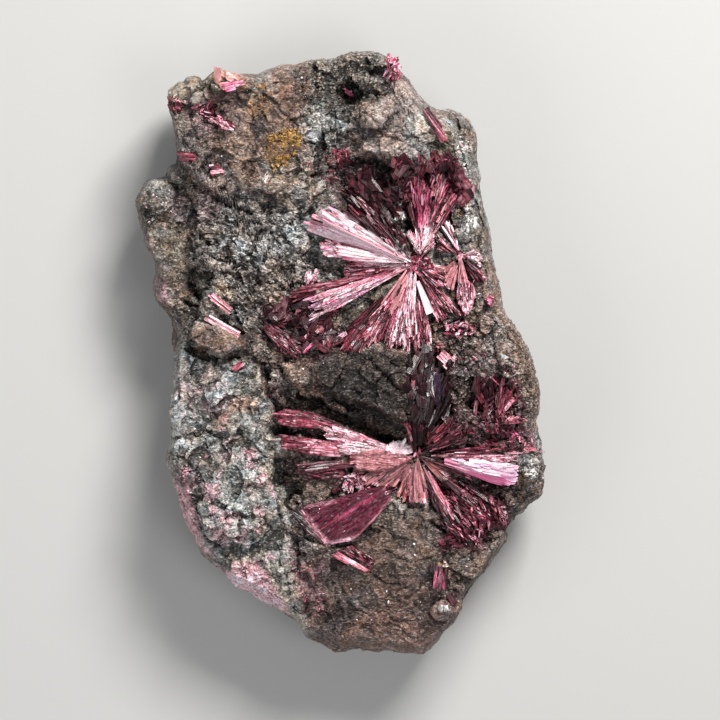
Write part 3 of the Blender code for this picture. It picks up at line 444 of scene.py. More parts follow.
def bead(p, seed, low, high):
    """Rounded beads of mixed sizes packed together; also the tag of each bead."""
    f1, f2, _, tag = cells(p, seed)
    size = low + (high - low) * tag
    return np.sqrt(np.clip(1 - (f1 / size) ** 2, 0, 1)) * size, tag


def fine_relief(co, normal):
    """Relief in mm along the surface: broken facets, grain, and the crusts' rounded beads."""
    x, y, z = plan_of(co)
    p = np.stack([x, y, z * 6.25], 1) @ SKEW
    wx, wy = warped(x, y, 6, 22, 301)
    crust = region(wx, wy, CRUST, 9)
    trough = region(wx, wy, TROUGH, 10)
    rough = breakage(x, y)
    plain = 1 - crust
    # flakes in the trough lie along one direction
    a = math.radians(-36)
    q = np.stack([(x * math.cos(a) - y * math.sin(a)) * 0.5, (x * math.sin(a) + y * math.cos(a)) * 1.25, z * 6.25], 1)
    bent = p + 7.0 * np.stack([fractal(p / 21.0, 3, 371), fractal(p / 21.0, 3, 372), np.zeros(len(x))], 1)
    bent2 = p + 2.6 * np.stack([fractal(p / 7.0, 2, 373), fractal(p / 7.0, 2, 374), np.zeros(len(x))], 1)
    lumps = value_noise(bent / 31.0, 309) + 0.5 * value_noise(bent / 14.0, 310)
    d = (0.34 + 0.30 * rough) * lumps * plain
    d += 0.44 * rough ** 2 * chips(bent / 27.0, 311, 1.1) * plain
    d += 0.30 * rough ** 1.6 * chips(bent2 / 12.0, 313, 1.2) * (1 - 0.7 * crust)
    d += 0.20 * rough ** 1.6 * chips(bent2 / 5.6, 321, 1.3) * (1 - 0.6 * crust)
    d += 0.26 * trough * chips(q / 5.2, 323, 1.4)
    d += 0.13 * fractal(p / 13.0, 4, 331, 0.6) + (0.05 + 0.06 * rough) * fractal(p / 3.4, 2, 341, 0.6)
    # worn ridges and steps of the calmer faces
    turn = 0.6 * value_noise(p / 60.0, 379)
    ca, sa = np.cos(0.61 + turn), np.sin(0.61 + turn)
    sx, sy = x + 7.0 * fractal(p / 21.0, 3, 371), y + 7.0 * fractal(p / 21.0, 3, 372)
    slant = np.stack([(sx * ca + sy * sa) / 23.0, (sy * ca - sx * sa) / 12.0, z * 0.42], 1)
    step = value_noise(slant, 381)
    calm = (1.25 - rough).clip(0.2, 1)
    d += plain * calm * (0.08 * (1 - np.abs(step) * 2.2).clip(-0.4, 1) - 0.03 + 0.10 * value_noise(slant * 2.1, 383) + 0.22 * chips(bent / 15.0, 385, 1.1) + 0.12 * chips(bent2 / 7.5, 387, 1.1))
    face = smooth(7.0, 11.5, z)
    for cx, cy, rx, ry, turn_by, rise in DOMES:
        k = oval(sx * 0.35 + x * 0.65, sy * 0.35 + y * 0.65, cx, cy, rx, ry, turn_by)
        d += rise * np.sqrt(np.clip(1 - k * k, 0, 1)) * face
    for line, width, rise in SEAMS:
        k = line_distance(sx * 0.8 + x * 0.2, sy * 0.8 + y * 0.2, line)
        d += rise * (1 - smooth(0, width, k)) * face
    # the broken sides: larger steps and faces low down
    d += (1 - smooth(7.0, 13.0, z)) * (0.95 * chips(bent / 27.0, 395, 1.1) + 0.25 * chips(bent2 / 10.0, 397, 1.1))
    # the crust: low swells, with beads where it is thick
    thick = crust * patch(wx, wy, [(196, 440), (250, 428), (286, 450), (284, 530), (262, 580), (220, 560), (190, 500)], 16)
    big, _ = bead(bent2 / 11.5, 351, 0.30, 0.85)
    small, _ = bead(bent2 / 5.2, 361, 0.30, 0.80)
    tiny, _ = bead(p / 2.9, 363, 0.3, 0.8)
    knobby = smooth(-0.25, 0.35, value_noise(p / 24.0, 353))
    d += crust * (0.75 * value_noise(bent / 21.0, 355) + 0.34 * chips(bent2 / 13.0, 357, 1.2) + 0.10 * tiny - 0.10)
    d += crust * (0.22 + 0.78 * thick) * (0.95 * big * knobby + 0.20 * small - 0.25)
    d += plain * 0.20 * small * smooth(0.1, 0.6, value_noise(p / 30.0, 365)) * rough
    block = patch(x, y, [(160, 62), (214, 60), (220, 92), (214, 106), (190, 106), (164, 104)], 4)
    facets = 0.75 * chips(bent / 19.0, 391, 1.0) + 0.05 * value_noise(p / 3.0, 393)
    local = smooth(1.5, 5.0, z)
    for cx, cy, rx, ry, turn_by, rise in DOMES[:3]:
        k = oval(x, y, cx, cy, rx, ry, turn_by)
        facets = facets + rise * np.sqrt(np.clip(1 - k * k, 0, 1)) * local
    facets = facets + 0.6 * (1 - smooth(0, 3.0, line_distance(x, y, SEAMS[0][0]))) * local
    d = d * (1 - block) + (facets + 0.25 * d) * block
    t = rim_share(x, y)
    keep = (1 - 0.55 * smooth(0.88, 0.985, t)) * np.where(z < 8, 0.85, 1.0)
    return d * keep * (0.2 + 0.8 * smooth(0.0, 2.0, z))


def eased_radius(angle, drop):
    """The outline's radius; its small notches die away down the side."""
    turns = [(angle + s + math.pi) % (2 * math.pi) - math.pi for s in np.linspace(-0.10, 0.10, 9)]
    near = outline_radius(angle)
    soft = np.mean([outline_radius(t) for t in turns], axis=0)
    return near + (soft - near) * 0.85 * smooth(0.02, 0.30, np.full(len(angle), drop))


def rock_skin(n, rings):
    """Closed skin of the rock at full sculpting resolution, as arrays."""
    verts, quads, tris = [], [], []
    t, angle = disc_grid(n)
    reach = t * outline_radius(angle)
    x, y = POLE[0] + reach * np.cos(angle), POLE[1] - reach * np.sin(angle)
    verts.append(to_world(x, y, top_height(x, y)))
    w = n + 1
    a = (np.arange(n)[:, None] * w + np.arange(n)[None, :]).ravel()
    quads.append(np.stack([a, a + 1, a + 1 + w, a + w], 1))
    edge = np.array(grid_edge(n))
    edge_angle = angle[edge]
    last, count = edge, w * w
    m = len(edge)
    for k in range(1, rings + 1):
        share, z = side_point(edge_angle, np.full(m, k / rings))
        if k == rings:
            z = foot_height(np.ones(m), edge_angle)
        reach = eased_radius(edge_angle, k / rings) * share
        verts.append(to_world(POLE[0] + reach * np.cos(edge_angle), POLE[1] - reach * np.sin(edge_angle), z))
        ring = np.arange(count, count + m)
        count += m
        quads.append(np.stack([np.roll(last, -1), last, ring, np.roll(ring, -1)], 1))
        last = ring
    h = n // 2
    t, angle = disc_grid(h)
    share, _ = side_point(angle, np.ones(len(angle)))
    reach = t * 0.985 * eased_radius(angle, 1.0) * share
    verts.append(to_world(POLE[0] + reach * np.cos(angle), POLE[1] - reach * np.sin(angle), foot_height(t, angle)))
    w = h + 1
    a = (count + np.arange(h)[:, None] * w + np.arange(h)[None, :]).ravel()
    quads.append(np.stack([a, a + w, a + 1 + w, a + 1], 1))
    coarse = count + np.array(grid_edge(h))
    c1 = np.roll(coarse, -1)
    f0, f1, f2 = last[0::2], last[1::2], np.roll(last[0::2], -1)
    tris += [np.stack([coarse, f1, f0], 1), np.stack([coarse, c1, f1], 1), np.stack([c1, f2, f1], 1)]
    quads, tris = np.concatenate(quads), np.concatenate(tris)
    return np.concatenate(verts), np.concatenate([quads.ravel(), tris.ravel()]), np.concatenate([np.full(len(quads), 4), np.full(len(tris), 3)])


def relaxed(co, edges, rounds):
    """Positions after that many rounds of averaging with their neighbours."""
    n = len(co)
    degree = np.bincount(edges.ravel(), minlength=n).astype(float)
    for _ in range(rounds):
        total = np.stack([np.bincount(edges[:, 0], co[edges[:, 1], k], n) + np.bincount(edges[:, 1], co[edges[:, 0], k], n) for k in range(3)], 1)
        co = 0.4 * co + 0.6 * total / np.maximum(degree, 1)[:, None]
    return co


def make_rock_mesh():
    verts, faces, sizes = rock_skin(GRID, RINGS)
    obj = mesh_object("rock", verts, faces, sizes)
    mesh = obj.data
    normal = vertex_normals(mesh)
    co = verts + normal * fine_relief(verts, normal)[:, None] * 0.001
    co[:, 2] = np.maximum(co[:, 2], 0.0)
    flat = verts[:, 2] < 1e-7
    co[flat] = verts[flat]
    mesh.vertices.foreach_set("co", co.astype(np.float32).ravel())
    mesh.update()
    triangles = int((sizes - 2).sum())
    if triangles > ROCK_TRIANGLES:
        thin = obj.modifiers.new("thin", "DECIMATE")
        thin.ratio = ROCK_TRIANGLES / triangles
        graph = bpy.context.evaluated_depsgraph_get()
        fresh = bpy.data.meshes.new_from_object(obj.evaluated_get(graph))
        obj.modifiers.clear()
        obj.data = fresh
        bpy.data.meshes.remove(mesh)
    return obj


# Colours of the rock, linear.
BLACK, SOOT, UMBER, BROWN, TAN = (0.016, 0.012, 0.012), (0.05, 0.04, 0.038), (0.10, 0.068, 0.056), (0.19, 0.125, 0.095), (0.33, 0.235, 0.19)
SLATE, STONE, PALE, CHALK = (0.10, 0.092, 0.088), (0.22, 0.20, 0.19), (0.42, 0.395, 0.375), (0.72, 0.68, 0.66)
DUST, ROSE, OCHRE, RUSTY, WINE = (0.52, 0.31, 0.34), (0.66, 0.40, 0.44), (0.38, 0.20, 0.07), (0.26, 0.13, 0.075), (0.055, 0.014, 0.022)
# Region of colour: ring, edge softness, colour, strength, scale of the noise that breaks it up, share of it that noise can take away.
TINTS = [
    ([(216, 84), (304, 56), (320, 106), (318, 168), (288, 205), (240, 205), (218, 150)], 10, (0.150, 0.094, 0.072), 0.92, 18, 0.25),
    ([(268, 62), (306, 54), (308, 112), (292, 128), (272, 112)], 6, (0.165, 0.095, 0.070), 0.8, 12, 0.4),
    ([(160, 62), (216, 64), (220, 100), (196, 108), (168, 106)], 6, (0.255, 0.235, 0.19), 0.92, 14, 0.2),
    ([(184, 72), (202, 72), (206, 84), (190, 88)], 4, (0.20, 0.15, 0.125), 0.7, 8, 0.3),
    ([(172, 116), (204, 112), (214, 134), (200, 150), (178, 148)], 6, (0.115, 0.108, 0.105), 0.85, 10, 0.4),
    ([(178, 146), (210, 150), (236, 176), (236, 206), (200, 206), (184, 176)], 8, (0.18, 0.145, 0.135), 0.85, 12, 0.3),
    ([(222, 132), (246, 126), (268, 150), (264, 184), (240, 180), (224, 160)], 8, (0.245, 0.160, 0.125), 0.85, 14, 0.3),
    ([(244, 92), (266, 92), (272, 116), (250, 122)], 6, (0.27, 0.145, 0.065), 0.7, 8, 0.4),
    ([(256, 72), (272, 72), (274, 92), (258, 90)], 4, (0.26, 0.255, 0.25), 0.7, 7, 0.4),
    ([(304, 48), (352, 40), (392, 52), (398, 82), (352, 116), (340, 156), (316, 150), (306, 96)], 6, (0.085, 0.082, 0.074), 0.92, 12, 0.3),
    ([(302, 110), (322, 112), (345, 132), (338, 150), (316, 146), (302, 128)], 5, (0.36, 0.35, 0.335), 0.8, 8, 0.5),
    ([(322, 60), (352, 46), (372, 56), (360, 72), (330, 76)], 5, (0.25, 0.215, 0.20), 0.7, 8, 0.6),
    ([(266, 166), (312, 160), (330, 190), (318, 208), (276, 204)], 8, (0.27, 0.225, 0.19), 0.85, 11, 0.4),
    ([(240, 196), (300, 206), (322, 226), (310, 240), (270, 226), (238, 214)], 7, (0.34, 0.33, 0.315), 0.75, 8, 0.55),
    ([(360, 112), (398, 80), (436, 104), (462, 140), (466, 168), (430, 172), (395, 166), (358, 152)], 6, (0.225, 0.176, 0.16), 0.95, 22, 0.2),
    ([(404, 116), (432, 110), (448, 130), (430, 152), (408, 146)], 6, (0.40, 0.39, 0.37), 0.75, 9, 0.5),
    ([(428, 132), (458, 138), (462, 160), (436, 160)], 6, (0.29, 0.25, 0.18), 0.7, 9, 0.4),
    ([(446, 100), (482, 110), (490, 200), (468, 200), (464, 166), (450, 130)], 5, (0.25, 0.245, 0.23), 0.95, 9, 0.3),
    ([(448, 132), (460, 150), (462, 176), (450, 160)], 3, (0.10, 0.10, 0.092), 0.8, 8, 0.3),
    (LEFT_LOBE, 8, (0.138, 0.110, 0.092), 0.92, 14, 0.2),
    ([(128, 176), (150, 168), (184, 166), (182, 186), (150, 196), (134, 196)], 6, (0.14, 0.145, 0.145), 0.85, 9, 0.4),
    ([(148, 172), (176, 168), (180, 180), (152, 184)], 4, (0.36, 0.36, 0.35), 0.7, 6, 0.5),
    ([(156, 212), (184, 222), (188, 270), (166, 276), (152, 240)], 7, (0.155, 0.125, 0.095), 0.85, 12, 0.3),
    ([(170, 194), (186, 196), (198, 222), (186, 228), (172, 212)], 5, (0.36, 0.26, 0.27), 0.8, 7, 0.5),
    # painted shade: near-black in the crack along the edge of the left lobe
    ([(188, 222), (200, 224), (202, 268), (192, 270)], 4, (0.035, 0.033, 0.030), 0.85, 8, 0.3),
    (TROUGH, 10, (0.185, 0.160, 0.148), 0.94, 12, 0.2),
    ([(226, 236), (262, 240), (272, 262), (236, 262)], 7, (0.36, 0.35, 0.34), 0.75, 8, 0.6),
    ([(284, 216), (318, 226), (322, 262), (300, 268), (276, 244)], 7, (0.42, 0.41, 0.40), 0.85, 8, 0.5),
    ([(240, 270), (290, 268), (300, 300), (262, 312), (236, 300)], 8, (0.20, 0.150, 0.125), 0.8, 9, 0.4),
    ([(192, 268), (212, 268), (216, 296), (198, 302)], 4, (0.055, 0.055, 0.045), 0.92, 12, 0.15),
    ([(214, 276), (230, 282), (234, 300), (216, 304)], 4, (0.30, 0.225, 0.165), 0.85, 10, 0.25),
    ([(190, 332), (214, 322), (248, 328), (250, 346), (224, 354), (196, 350)], 3.5, (0.165, 0.106, 0.084), 0.97, 14, 0.15),
    # painted shadow: near-black under the lower edge of the brown lens
    ([(196, 350), (224, 357), (252, 350), (262, 360), (226, 368), (196, 362)], 4, (0.032, 0.028, 0.026), 0.85, 12, 0.3),
    (CRUST, 9, (0.215, 0.210, 0.198), 0.95, 11, 0.2),
    ([(182, 362), (204, 366), (214, 390), (196, 400), (180, 384)], 6, (0.15, 0.125, 0.115), 0.7, 8, 0.5),
    ([(200, 366), (240, 362), (262, 378), (250, 400), (210, 400)], 8, (0.33, 0.325, 0.315), 0.85, 10, 0.45),
    ([(238, 380), (268, 372), (284, 404), (276, 440), (250, 430)], 7, (0.15, 0.135, 0.125), 0.8, 9, 0.4),
    ([(230, 399), (250, 396), (260, 401), (254, 408), (234, 409)], 2.5, (0.32, 0.20, 0.155), 0.95, 12, 0.1),
    ([(212, 402), (232, 404), (236, 426), (220, 430), (208, 414)], 4, (0.20, 0.085, 0.085), 0.85, 7, 0.5),
    ([(166, 396), (190, 396), (204, 424), (190, 440), (166, 430)], 7, (0.30, 0.285, 0.28), 0.8, 8, 0.5),
    ([(166, 446), (190, 444), (196, 470), (176, 478), (164, 464)], 5, (0.10, 0.085, 0.075), 0.85, 9, 0.4),
    ([(170, 476), (200, 470), (204, 488), (176, 500)], 4, (0.20, 0.075, 0.095), 0.75, 7, 0.5),
    ([(180, 486), (202, 488), (206, 506), (188, 508)], 4, (0.045, 0.040, 0.040), 0.85, 8, 0.3),
    ([(204, 494), (224, 494), (226, 520), (208, 520)], 5, (0.085, 0.085, 0.082), 0.8, 8, 0.35),
    ([(196, 550), (230, 548), (240, 566), (216, 574)], 6, (0.075, 0.07, 0.068), 0.8, 7, 0.45),
    ([(216, 450), (262, 444), (270, 480), (262, 520), (236, 530), (216, 500)], 8, (0.36, 0.345, 0.32), 0.85, 8, 0.45),
    ([(262, 440), (290, 450), (296, 500), (280, 520), (266, 480)], 6, (0.13, 0.125, 0.11), 0.8, 8, 0.4),
    ([(262, 552), (292, 560), (304, 600), (300, 640), (276, 610)], 6, (0.34, 0.31, 0.27), 0.8, 7, 0.5),
    ([(262, 350), (286, 372), (296, 440), (306, 520), (308, 600), (292, 560), (284, 470), (270, 400)], 6, (0.140, 0.106, 0.098), 0.8, 10, 0.4),
    (BOULDER, 5, (0.014, 0.009, 0.008), 0.97, 18, 0.1),
    ([(330, 356), (372, 352), (392, 362), (372, 378), (338, 374)], 6, (0.048, 0.034, 0.028), 0.7, 9, 0.5),
    # painted shadow: near-black in the groove under the boulder's lower edge
    ([(320, 392), (346, 405), (396, 425), (425, 436), (428, 452), (380, 440), (340, 425)], 6, (0.018, 0.012, 0.012), 0.94, 16, 0.15),
    ([(296, 352), (316, 350), (320, 384), (304, 388), (292, 372)], 5, (0.19, 0.13, 0.105), 0.8, 8, 0.4),
    ([(290, 272), (344, 262), (352, 300), (330, 330), (300, 320)], 8, (0.17, 0.145, 0.13), 0.7, 12, 0.4),
    ([(345, 272), (402, 272), (400, 300), (352, 312)], 6, (0.16, 0.15, 0.135), 0.8, 12, 0.3),
    ([(300, 318), (352, 310), (380, 330), (352, 352), (312, 352)], 7, (0.20, 0.16, 0.135), 0.7, 11, 0.4),
    (LOWER_FACE, 12, (0.108, 0.070, 0.060), 0.97, 24, 0.12),
    ([(340, 600), (420, 590), (462, 606), (424, 668), (340, 668)], 14, (0.160, 0.098, 0.084), 0.85, 26, 0.2),
    ([(376, 532), (432, 520), (440, 560), (400, 576)], 10, (0.135, 0.096, 0.080), 0.75, 16, 0.3),
    ([(300, 552), (335, 560), (352, 640), (316, 650)], 9, (0.075, 0.050, 0.047), 0.85, 14, 0.3),
    (RIGHT_SHOULDER, 9, (0.120, 0.082, 0.073), 0.92, 13, 0.25),
    ([(478, 330), (508, 322), (530, 362), (520, 380), (490, 360)], 8, (0.21, 0.165, 0.145), 0.75, 9, 0.5),
    ([(440, 324), (474, 340), (480, 372), (450, 372)], 7, (0.085, 0.06, 0.055), 0.8, 10, 0.35),
    ([(470, 250), (496, 262), (512, 318), (494, 322), (480, 290)], 5, (0.18, 0.135, 0.112), 0.85, 10, 0.4),
    ([(479, 190), (500, 230), (506, 306), (524, 340), (556, 390), (556, 460), (530, 400), (512, 345), (492, 300), (484, 250)], 3.0, (0.175, 0.100, 0.065), 0.8, 11, 0.35),
    ([(418, 560), (470, 520), (515, 516), (500, 556), (470, 590)], 9, (0.155, 0.115, 0.095), 0.8, 14, 0.3),
    ([(325, 170), (345, 158), (405, 162), (430, 190), (408, 236), (372, 238), (340, 214)], 7, (0.035, 0.018, 0.022), 0.95, 14, 0.2),
    ([(408, 352), (446, 352), (452, 420), (448, 452), (412, 450)], 4, (0.028, 0.012, 0.018), 0.95, 12, 0.1),
    ([(262, 306), (334, 306), (346, 352), (300, 364), (266, 340)], 7, (0.05, 0.02, 0.025), 0.9, 12, 0.3),
    ([(470, 378), (512, 380), (530, 420), (520, 436), (474, 412)], 6, (0.06, 0.025, 0.03), 0.85, 10, 0.4),
    ([(438, 478), (486, 480), (512, 504), (486, 550), (440, 550)], 6, (0.05, 0.02, 0.028), 0.9, 12, 0.3),
    ([(448, 400), (520, 425), (532, 446), (470, 452), (448, 444)], 6, (0.06, 0.022, 0.03), 0.85, 9, 0.4),
    # painted shade: near-black in the small hollow of the upper ridge
    ([(343, 88), (352, 89), (352, 97), (344, 98)], 2.5, (0.014, 0.011, 0.011), 0.9, 8, 0.2),
    # painted shade: near-black in the gaps between the left laths, on this line and the next
    ([(268, 424), (300, 430), (334, 434), (330, 442), (300, 436), (274, 434)], 2.5, (0.016, 0.010, 0.011), 0.95, 8, 0.1),
    ([(284, 456), (310, 458), (350, 462), (350, 468), (318, 466), (290, 466)], 2.5, (0.018, 0.010, 0.012), 0.95, 8, 0.1),
    ([(268, 142), (288, 130), (303, 130), (298, 156), (280, 176), (269, 164)], 5, (0.185, 0.095, 0.035), 0.9, 6, 0.5),
    ([(214, 68), (240, 70), (248, 90), (230, 98), (216, 86)], 3, (0.36, 0.20, 0.16), 0.9, 9, 0.2),
    ([(508, 458), (536, 454), (540, 478), (512, 484)], 5, (0.165, 0.16, 0.155), 0.95, 6, 0.3),
    ([(386, 212), (410, 212), (412, 236), (390, 236)], 4, (0.31, 0.31, 0.30), 0.9, 6, 0.3),
    ([(386, 236), (406, 238), (404, 254), (388, 250)], 3, (0.12, 0.12, 0.12), 0.9, 6, 0.3),
]
# Pink films and dustings: ring, softness, colour, strength, noise scale, share taken away.
FILMS = [
    ([(224, 574), (244, 562), (268, 570), (284, 606), (270, 624), (228, 604)], 3.5, (0.90, 0.45, 0.52), 1.0, 9, 0.10),
    ([(160, 480), (186, 488), (200, 524), (202, 552), (176, 540), (158, 500)], 4, (0.62, 0.34, 0.38), 1.0, 9, 0.22),
    ([(220, 452), (232, 450), (234, 462), (222, 464)], 3, (0.50, 0.34, 0.36), 0.7, 8, 0.4), ([(243, 448), (252, 448), (253, 458), (244, 459)], 2.5, (0.62, 0.34, 0.39), 0.95, 8, 0.1), ([(258, 468), (266, 470), (264, 482), (257, 482)], 2.5, (0.62, 0.34, 0.39), 0.95, 8, 0.1),
    ([(206, 484), (220, 482), (224, 494), (210, 499)], 3.5, (0.64, 0.37, 0.42), 0.95, 9, 0.2), ([(224, 506), (234, 512), (230, 524), (220, 520)], 3, (0.56, 0.32, 0.36), 0.9, 9, 0.2), ([(214, 526), (230, 528), (230, 542), (216, 542)], 3.5, (0.56, 0.32, 0.36), 0.85, 9, 0.3),
    ([(254, 502), (262, 503), (261, 512), (254, 511)], 2.5, (0.55, 0.33, 0.37), 0.8, 8, 0.2), ([(190, 540), (212, 538), (218, 556), (200, 560)], 5, (0.50, 0.33, 0.36), 0.5, 9, 0.6),
    ([(236, 530), (247, 530), (248, 540), (238, 541)], 2.5, (0.52, 0.31, 0.35), 0.8, 8, 0.2), ([(246, 560), (262, 558), (266, 568), (250, 572)], 3, (0.62, 0.36, 0.41), 0.8, 9, 0.3),
    ([(150, 276), (164, 280), (166, 304), (152, 300)], 4, (0.62, 0.36, 0.42), 0.8, 5, 0.5),
    ([(176, 376), (214, 366), (232, 398), (200, 420), (178, 404)], 8, (0.45, 0.30, 0.32), 0.6, 6, 0.9),
    ([(196, 192), (220, 190), (222, 218), (200, 222)], 6, (0.50, 0.33, 0.36), 0.6, 6, 0.75),
    ([(172, 96), (236, 92), (240, 132), (190, 140)], 8, (0.42, 0.24, 0.25), 0.5, 6, 0.9),
    ([(290, 560), (318, 560), (326, 610), (304, 610)], 8, (0.36, 0.20, 0.23), 0.5, 7, 0.85),
    ([(470, 262), (490, 270), (500, 308), (486, 312)], 4, (0.42, 0.24, 0.24), 0.4, 5, 0.8),
    ([(500, 430), (534, 430), (540, 450), (506, 452)], 5, (0.40, 0.14, 0.20), 0.6, 5, 0.8),
    ([(130, 236), (150, 240), (170, 268), (160, 290), (146, 270)], 6, (0.36, 0.26, 0.28), 0.5, 6, 0.8),
    ([(333, 150), (350, 150), (350, 164), (335, 164)], 4, (0.30, 0.07, 0.08), 0.85, 5, 0.4),
    ([(380, 52), (398, 58), (402, 84), (388, 86)], 4, (0.45, 0.20, 0.25), 0.5, 5, 0.7),
]


def mix(a, b, t):
    return a + (np.asarray(b) - a) * t[:, None]


def rock_colour(co, relief_up, up):
    """Colour of the rock at each point. relief_up is how far it stands proud of its surroundings, in mm; up, the
    normal's z, is not used.
    """
    x, y, z = plan_of(co)
    p = np.stack([x, y, z * 6.25], 1) @ SKEW
    broad = fractal(p / 60.0, 3, 401)
    mid = fractal(p / 17.0, 3, 411)
    fine = fractal(p / 5.0, 2, 421)
    tone = np.tile(np.array(UMBER), (len(x), 1)) * 1.25
    tone = mix(tone, STONE, smooth(-0.1, 0.5, broad + 0.4 * mid) * 0.7)
    tone = mix(tone, BROWN, smooth(0.0, 0.45, -broad + 0.5 * mid) * 0.6)
    wx, wy = warped(x, y, 7, 26, 431)
    wx, wy = wx + 2.5 * value_noise(p / 6.0, 441), wy + 2.5 * value_noise(p / 6.0, 442)
    depth = z + 2.4 * mid + 1.6 * broad
    # how far below the nearby face a point of the rim lies, in mm
    dx, dy = x - POLE[0], y - POLE[1]
    inward = np.clip(1 - 30.0 / np.maximum(np.hypot(dx, dy), 40.0), 0, 1)
    brim = smooth(0.86, 0.92, rim_share(x, y))
    below = np.maximum(top_height(x, y) - z, (top_height(POLE[0] + dx * inward, POLE[1] + dy * inward) - z) * brim)
    above = smooth(5.0, 11.0, depth) * (1 - smooth(3.6, 8.0, below + 3.0 * mid + 1.0 * fine))
    low_film = smooth(1.0, 5.0, depth) * (1 - 0.8 * smooth(6.0, 12.0, below + 4.0 * mid))
    for i, (ring, soft, colour, strength, scale, bite) in enumerate(TINTS):
        near = patch(wx, wy, ring, soft)
        some = near > 0.002
        if some.any():
            eat = smooth(-0.25, 0.35, fractal(p[some] / scale, 3, 500 + 7 * i))
            k = np.zeros(len(x))
            k[some] = near[some] * strength * (1 - bite + bite * eat)
            tone = mix(tone, colour, k * above)
    # mottling at the scale of the broken facets
    flow = np.stack([(x * 0.81 + y * 0.59) * 0.45, (y * 0.81 - x * 0.59) * 1.3, z * 6.25], 1)
    streak = fractal(flow / 5.0, 2, 423)
    quiet = patch(wx, wy, LOWER_FACE, 14)
    tone = tone * np.exp(0.50 * mid + (0.34 - 0.14 * quiet) * fine + (0.40 - 0.18 * quiet) * streak)[:, None]
    hue = value_noise(p / 13.0, 425)
    tone = tone * np.stack([1 + 0.16 * hue, np.ones(len(x)), 1 - 0.14 * hue], 1)
    # rosy beads among the grey ones of the crust
    crust = patch(wx, wy, CRUST, 8) * patch(wx, wy, [(196, 440), (250, 430), (286, 470), (290, 560), (300, 640), (200, 590), (160, 520), (170, 460)], 16)
    bent2 = p + 2.6 * np.stack([fractal(p / 7.0, 2, 373), fractal(p / 7.0, 2, 374), np.zeros(len(x))], 1)
    for scale, seed, size in ((11.5, 351, 0.62),):
        f1, _, _, tag = cells(bent2 / scale, seed)
        rosy = smooth(0.80, 0.88, (tag * 7.77) % 1.0) * smooth(size, size * 0.55, f1)
        tone = mix(tone, (0.54, 0.31, 0.35), rosy * crust * 0.7)
        # painted shade: the gaps between the beads are darkened
        edge = smooth(size * 0.8, size * 1.2, f1) * crust
        tone = tone * (1 - 0.20 * edge)[:, None]
    # painted shade and light: the tone is darkened in hollows and crevices and lightened on raised points, by how far
    # each point stands proud of its surroundings
    shade = np.clip(1 + relief_up * (2.6 - 0.9 * quiet), 0.28, 1.9)
    tone = tone * shade[:, None]
    # the broken sides and back: plainer, browner
    side = 1 - smooth(2.5, 8.0, z)
    plain = np.array(UMBER) * 1.5 + (np.array(STONE) - np.array(UMBER)) * (0.35 + 0.6 * broad)[:, None]
    tone = tone * (1 - side[:, None] * 0.6) + plain * (0.85 + 0.5 * mid)[:, None] * side[:, None] * 0.6
    for i, (ring, soft, colour, strength, scale, bite) in enumerate(FILMS):
        near = patch(wx, wy, ring, soft)
        some = near > 0.002
        if some.any():
            eat = smooth(-0.05, 0.30, fractal(p[some] / scale, 2, 700 + 7 * i))
            k = np.zeros(len(x))
            k[some] = near[some] * strength * (1 - bite + bite * eat)
            # the films take the same painted relief shade
            film = np.asarray(colour)[None, :] * (np.clip(0.35 + 0.65 * shade, 0.3, 1.3) * np.exp(0.22 * mid + 0.20 * fine))[:, None]
            tone += (film - tone) * (k * low_film)[:, None]
    # the crust is the palest, the rest of the rock darker
    gain = 0.98 + 0.24 * patch(wx, wy, CRUST, 8)
    return np.clip(tone * gain[:, None], 0.004, 0.9)


# ---------------------------------------------------------------- crystals, blade by blade
# Crystal colours, linear. The near-white pearl colour, and in part the pale blush, are painted highlights: the sheen of
# cleavage faces catching the light, laid into the colour of the blades that show it.
INK, DEEP, MAROON, CRIMSON, RUBY = (0.012, 0.005, 0.006), (0.036, 0.010, 0.014), (0.088, 0.022, 0.031), (0.18, 0.036, 0.055), (0.32, 0.052, 0.094)
MAGENTA, HOT, PINK, BLUSH, PEARL_SHEEN = (0.52, 0.065, 0.165), (0.84, 0.19, 0.37), (0.80, 0.35, 0.43), (0.90, 0.61, 0.68), (0.96, 0.87, 0.90)
SALMON, RUST, MAUVE, ASH = (0.50, 0.215, 0.235), (0.27, 0.10, 0.09), (0.32, 0.12, 0.155), (0.13, 0.07, 0.075)
INKS = [(3, INK, DEEP, DEEP), (2, DEEP, MAROON, DEEP), (1, INK, MAROON, MAROON)]
BLACKS = [(2, INK, INK, DEEP), (1, INK, DEEP, DEEP)]
DARKS = [(3, DEEP, MAROON, MAROON), (2, MAROON, CRIMSON, MAROON), (1, MAROON, MAUVE, CRIMSON), (1, INK, DEEP, CRIMSON)]
REDS = [(2, MAROON, CRIMSON, CRIMSON), (2, CRIMSON, RUBY, CRIMSON), (1, DEEP, MAROON, RUBY), (1, CRIMSON, PINK, RUBY)]
PINKS = [(2, PINK, BLUSH, PINK), (2, HOT, PINK, BLUSH), (1, RUBY, MAGENTA, PINK), (1, CRIMSON, RUBY, CRIMSON)]
# a pale palette, mostly painted highlight colours for blades whose cleavage faces catch the light, with some pink and
# red crystal colour
PEARL_SHEENS = [(4, BLUSH, PEARL_SHEEN, BLUSH), (2, PINK, BLUSH, PEARL_SHEEN), (1, HOT, PINK, BLUSH), (1, MAROON, RUBY, PINK)]
SALMONS = [(5, SALMON, SALMON, SALMON), (2, PINK, SALMON, SALMON), (1, SALMON, RUST, RUST), (1, BLUSH, SALMON, SALMON)]


